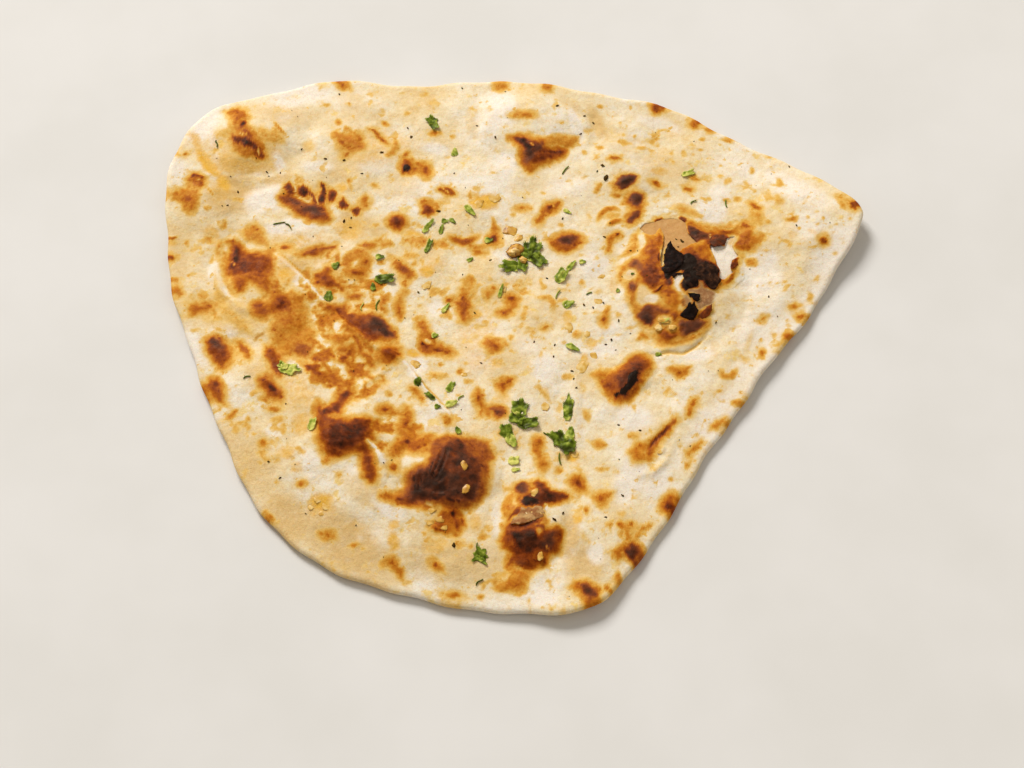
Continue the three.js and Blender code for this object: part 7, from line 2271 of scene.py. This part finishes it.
def dough_material():
    """Baked dough. The masks say where it is toasted, stained or burnt, and where shade and light are
    painted; noise gives the grain.
    """
    n = Nodes("baked_dough")
    toast, purple, char = n.mask("toast"), n.mask("purple"), n.mask("char")
    tan, gold, pale, plain = n.mask("tan"), n.mask("gold"), n.mask("pale"), n.mask("plain")
    broad, patchy, grain, fine = (n.noise(*noise) for noise in (BROAD, PATCHY, GRAIN, FINE))

    cloudy = n.plus(n.mean(broad, BROAD_SHARE, patchy, PATCHY_SHARE), n.around(grain, GRAIN_PUSH))
    dough = n.mix(n.remap(n.noise(*DAPPLING), *DAPPLED), n.ramp(cloudy, DOUGH_STOPS), linear(*DAPPLE))

    # Butter: small yellow patches, more of them in some areas
    butter = n.remap(n.plus(n.noise(*BUTTERING), n.around(broad, BUTTER_PUSH)), *BUTTERED)
    dough = n.mix(n.times(butter, BUTTER_SHARE), dough, linear(*BUTTER))

    # Soft stains, with painted shade in the tan and painted light in the pale
    tan_and_shade_colour = n.ramp(n.plus(tan, n.around(grain, TAN_PUSH)), TAN_AND_SHADE_STOPS)
    dough = n.mix(n.times(n.remap(tan, *TAN_FAINT), n.remap(patchy, *TAN_PATCHES)), dough, tan_and_shade_colour)
    dough = n.mix(n.remap(tan, *TAN_STRONG), dough, tan_and_shade_colour)
    paled_and_lit = n.times(n.remap(pale, *PALE_RANGE), n.remap(patchy, *PALE_PATCHES))
    dough = n.mix(paled_and_lit, dough, linear(*PALE_AND_LIT_DOUGH))
    ghee = n.remap(n.plus(gold, n.around(grain, GHEE_PUSH)), *GHEE_RANGE)
    dough = n.mix(n.times(ghee, n.remap(gold, *GHEE_FAINT)), dough, linear(*GHEE))

    # Toasting
    waver = n.times(n.around(grain, GRAIN_WAVER_SHARE), n.remap(toast, *GRAIN_WAVER))
    patches = n.times(n.around(patchy, PATCHY_WAVER_SHARE), n.remap(toast, *PATCHY_WAVER))
    freckled = freckles(n, broad, patchy, grain, fine, plain)
    level = n.plus(n.plus(toast, n.plus(waver, patches)), freckled, clamp=True)
    colour = n.mix(n.remap(level, *TOASTED), dough, n.ramp(level, TOAST_STOPS))
    bloom = n.times(purple, n.remap(n.plus(grain, n.times(fine, BLOOM_FINE)), *BLOOMING))
    colour = n.mix(n.times(bloom, BLOOM_SHARE), colour, n.ramp(level, PURPLE_STOPS))
    black = n.remap(n.plus(char, n.around(grain, BURNT_PUSH)), *BURNT)
    colour = n.mix(black, colour, linear(*CHAR_BLACK))
    speckled = n.mix(1.0, colour, linear(*SPECKLE), "MULTIPLY")
    n.paint(n.mix(n.remap(n.mean(fine, SPECKLE_FINE, grain, SPECKLE_GRAIN), *SPECKLED), colour, speckled))

    # Gloss, where it is buttered or well toasted
    toast_oil = n.times(n.remap(level, *OILY_TOAST), TOAST_OIL)
    oily = n.math("MAXIMUM", n.math("MAXIMUM", butter, gold), toast_oil)
    gloss = n.times(oily, n.remap(patchy, *OIL_GLOSS))
    dry = n.remap(n.noise(*DRYNESS), *DRY_RANGE)
    n.feed(n.math("SUBTRACT", dry, gloss), n.surface.inputs["Roughness"])
    n.fix(DOUGH_SURFACE)
    pores = n.bump(n.noise(*PORES), *PORE_BUMP)
    n.link(n.bump(n.noise(*CRACKLE), *CRACKLE_BUMP, pores), n.surface.inputs["Normal"])
    return n.material


def topping_material(name, tones, stops, gloss, gloss_range, surface, grain):
    """A mask of tones through a ramp of colours, with uneven gloss and a fine grain."""
    n = Nodes(name)
    tone = n.plus(n.mask("tone"), n.around(n.noise(*tones), TONE_PUSH), clamp=True)
    n.paint(n.ramp(tone, stops))
    n.feed(n.remap(n.noise(*gloss), *gloss_range), n.surface.inputs["Roughness"])
    n.fix(surface)
    n.link(n.bump(n.noise(*grain), *TOPPING_BUMP), n.surface.inputs["Normal"])
    return n.material


def char_material():
    n = Nodes("char")
    grain = n.noise(*CHAR_GRAIN)
    browned = n.plus(n.mask("purple"), n.around(n.noise(*CHAR_CLOUDS), CHAR_PUSH))
    n.paint(n.mix(n.remap(browned, *CHAR_BROWNED), n.ramp(grain, CHAR_STOPS), n.ramp(grain, BROWN_STOPS)))
    n.feed(n.remap(n.noise(*CHAR_GLOSS), *CHAR_GLOSS_RANGE), n.surface.inputs["Roughness"])
    n.fix(CHAR_SURFACE)
    lumps = n.bump(n.noise(*CHAR_LUMPS), *CHAR_LUMP_BUMP)
    n.link(n.bump(n.noise(*CHAR_PITS), *CHAR_PIT_BUMP, lumps), n.surface.inputs["Normal"])
    return n.material


def speck_material():
    n = Nodes("herb_speck")
    tone = n.plus(n.mask("tone"), n.times(n.noise(*SPECK_TONES), SPECK_PUSH), clamp=True)
    n.paint(n.ramp(tone, SPECK_STOPS))
    n.feed(n.remap(n.noise(*SPECK_GLOSS), *SPECK_GLOSS_RANGE), n.surface.inputs["Roughness"])
    n.fix(SPECK_SURFACE)
    return n.material


def floor_material():
    n = Nodes("pale_floor")
    clouds = n.remap(n.noise(*FLOOR_CLOUDS), *MIDDLING)
    n.paint(n.mix(clouds, linear(*FLOOR_DARKER), linear(*FLOOR_LIGHTER)))
    n.fix(FLOOR_SURFACE)
    return n.material


# ---------------------------------------------------------------------------------------------
# Stage, light and camera
# ---------------------------------------------------------------------------------------------

AIM = Vector((-0.0004, -0.027, 0.005))
CAMERA_DISTANCE = 0.764
CAMERA_ELEVATION = 60.0
CAMERA_LENS = 70.0
CAMERA_SENSOR = 36.0
FLOOR_HALF = 3.0
FLOOR_LEVEL = -0.0001  # a hair below the bread, so that no two faces lie in one plane
ROOM_COLOUR = (1.0, 0.93, 0.83, 1.0)
ROOM_STRENGTH = 0.34
# Lamps: azimuth, elevation, distance in metres, size in metres, watts, colour
LAMPS = {
    "window": (-28, 37, 4.8, 1.68, 240.0, (1.0, 0.98, 0.95)),
    "fill": (120, 50, 1.4, 1.0, 1.8, (1.0, 0.92, 0.8)),
}


def make_stage():
    corners = [(x * FLOOR_HALF, y * FLOOR_HALF, FLOOR_LEVEL) for x, y in [(-1, -1), (1, -1), (1, 1), (-1, 1)]]
    mesh = bpy.data.meshes.new("floor")
    mesh.from_pydata(corners, [], [(0, 1, 2, 3)])
    floor = bpy.data.objects.new("floor", mesh)
    bpy.context.scene.collection.objects.link(floor)
    floor.data.materials.append(floor_material())


def make_light(name, azimuth, elevation, distance, size, watts, colour):
    light = bpy.data.lights.new(name, "AREA")
    light.shape = "SQUARE"
    light.size = size
    light.energy = watts
    light.color = colour
    lamp = bpy.data.objects.new(name, light)
    a, e = math.radians(azimuth), math.radians(elevation)
    offset = Vector((math.sin(a) * math.cos(e), math.cos(a) * math.cos(e), math.sin(e)))
    lamp.location = AIM + distance * offset
    lamp.rotation_euler = (-offset).to_track_quat("-Z", "Y").to_euler()
    bpy.context.scene.collection.objects.link(lamp)


def make_lights():
    world = bpy.data.worlds.new("soft_room")
    world.use_nodes = True
    background = world.node_tree.nodes["Background"]
    background.inputs["Color"].default_value = ROOM_COLOUR
    background.inputs["Strength"].default_value = ROOM_STRENGTH
    bpy.context.scene.world = world
    for name, lamp in LAMPS.items():
        make_light(name, *lamp)
    bpy.context.scene.view_settings.view_transform = "Standard"


def make_camera():
    camera = bpy.data.objects.new("camera", bpy.data.cameras.new("camera"))
    camera.data.lens = CAMERA_LENS
    camera.data.sensor_width = CAMERA_SENSOR
    e = math.radians(CAMERA_ELEVATION)
    back = Vector((0, -math.cos(e), math.sin(e)))
    camera.location = AIM + CAMERA_DISTANCE * back
    camera.rotation_euler = (-back).to_track_quat("-Z", "Y").to_euler()
    bpy.context.scene.collection.objects.link(camera)
    bpy.context.scene.camera = camera


# ---------------------------------------------------------------------------------------------
# Putting it together
# ---------------------------------------------------------------------------------------------


def finish_piece(piece, material):
    piece.data.materials.append(material)
    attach(piece, "root")
    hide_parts("naan")


dough = dough_material()
leaf = topping_material(
    "coriander", LEAF_TONES, LEAF_STOPS, LEAF_GLOSS, LEAF_GLOSS_RANGE, LEAF_SURFACE, LEAF_GRAIN
)
garlic = topping_material(
    "garlic", GARLIC_TONES, GARLIC_STOPS, GARLIC_GLOSS, GARLIC_GLOSS_RANGE, GARLIC_SURFACE, GARLIC_PITS
)
finish_piece(make_crust(), dough)
finish_piece(make_underside(), dough)
finish_piece(make_roof(), dough)
torn_skin, char_flakes = make_flaps()
finish_piece(torn_skin, dough)
finish_piece(char_flakes, char_material())
finish_piece(make_leaves(), leaf)
finish_piece(make_stems(), leaf)
finish_piece(make_garlic(), garlic)
finish_piece(make_specks(), speck_material())

make_stage()
make_lights()
make_camera()
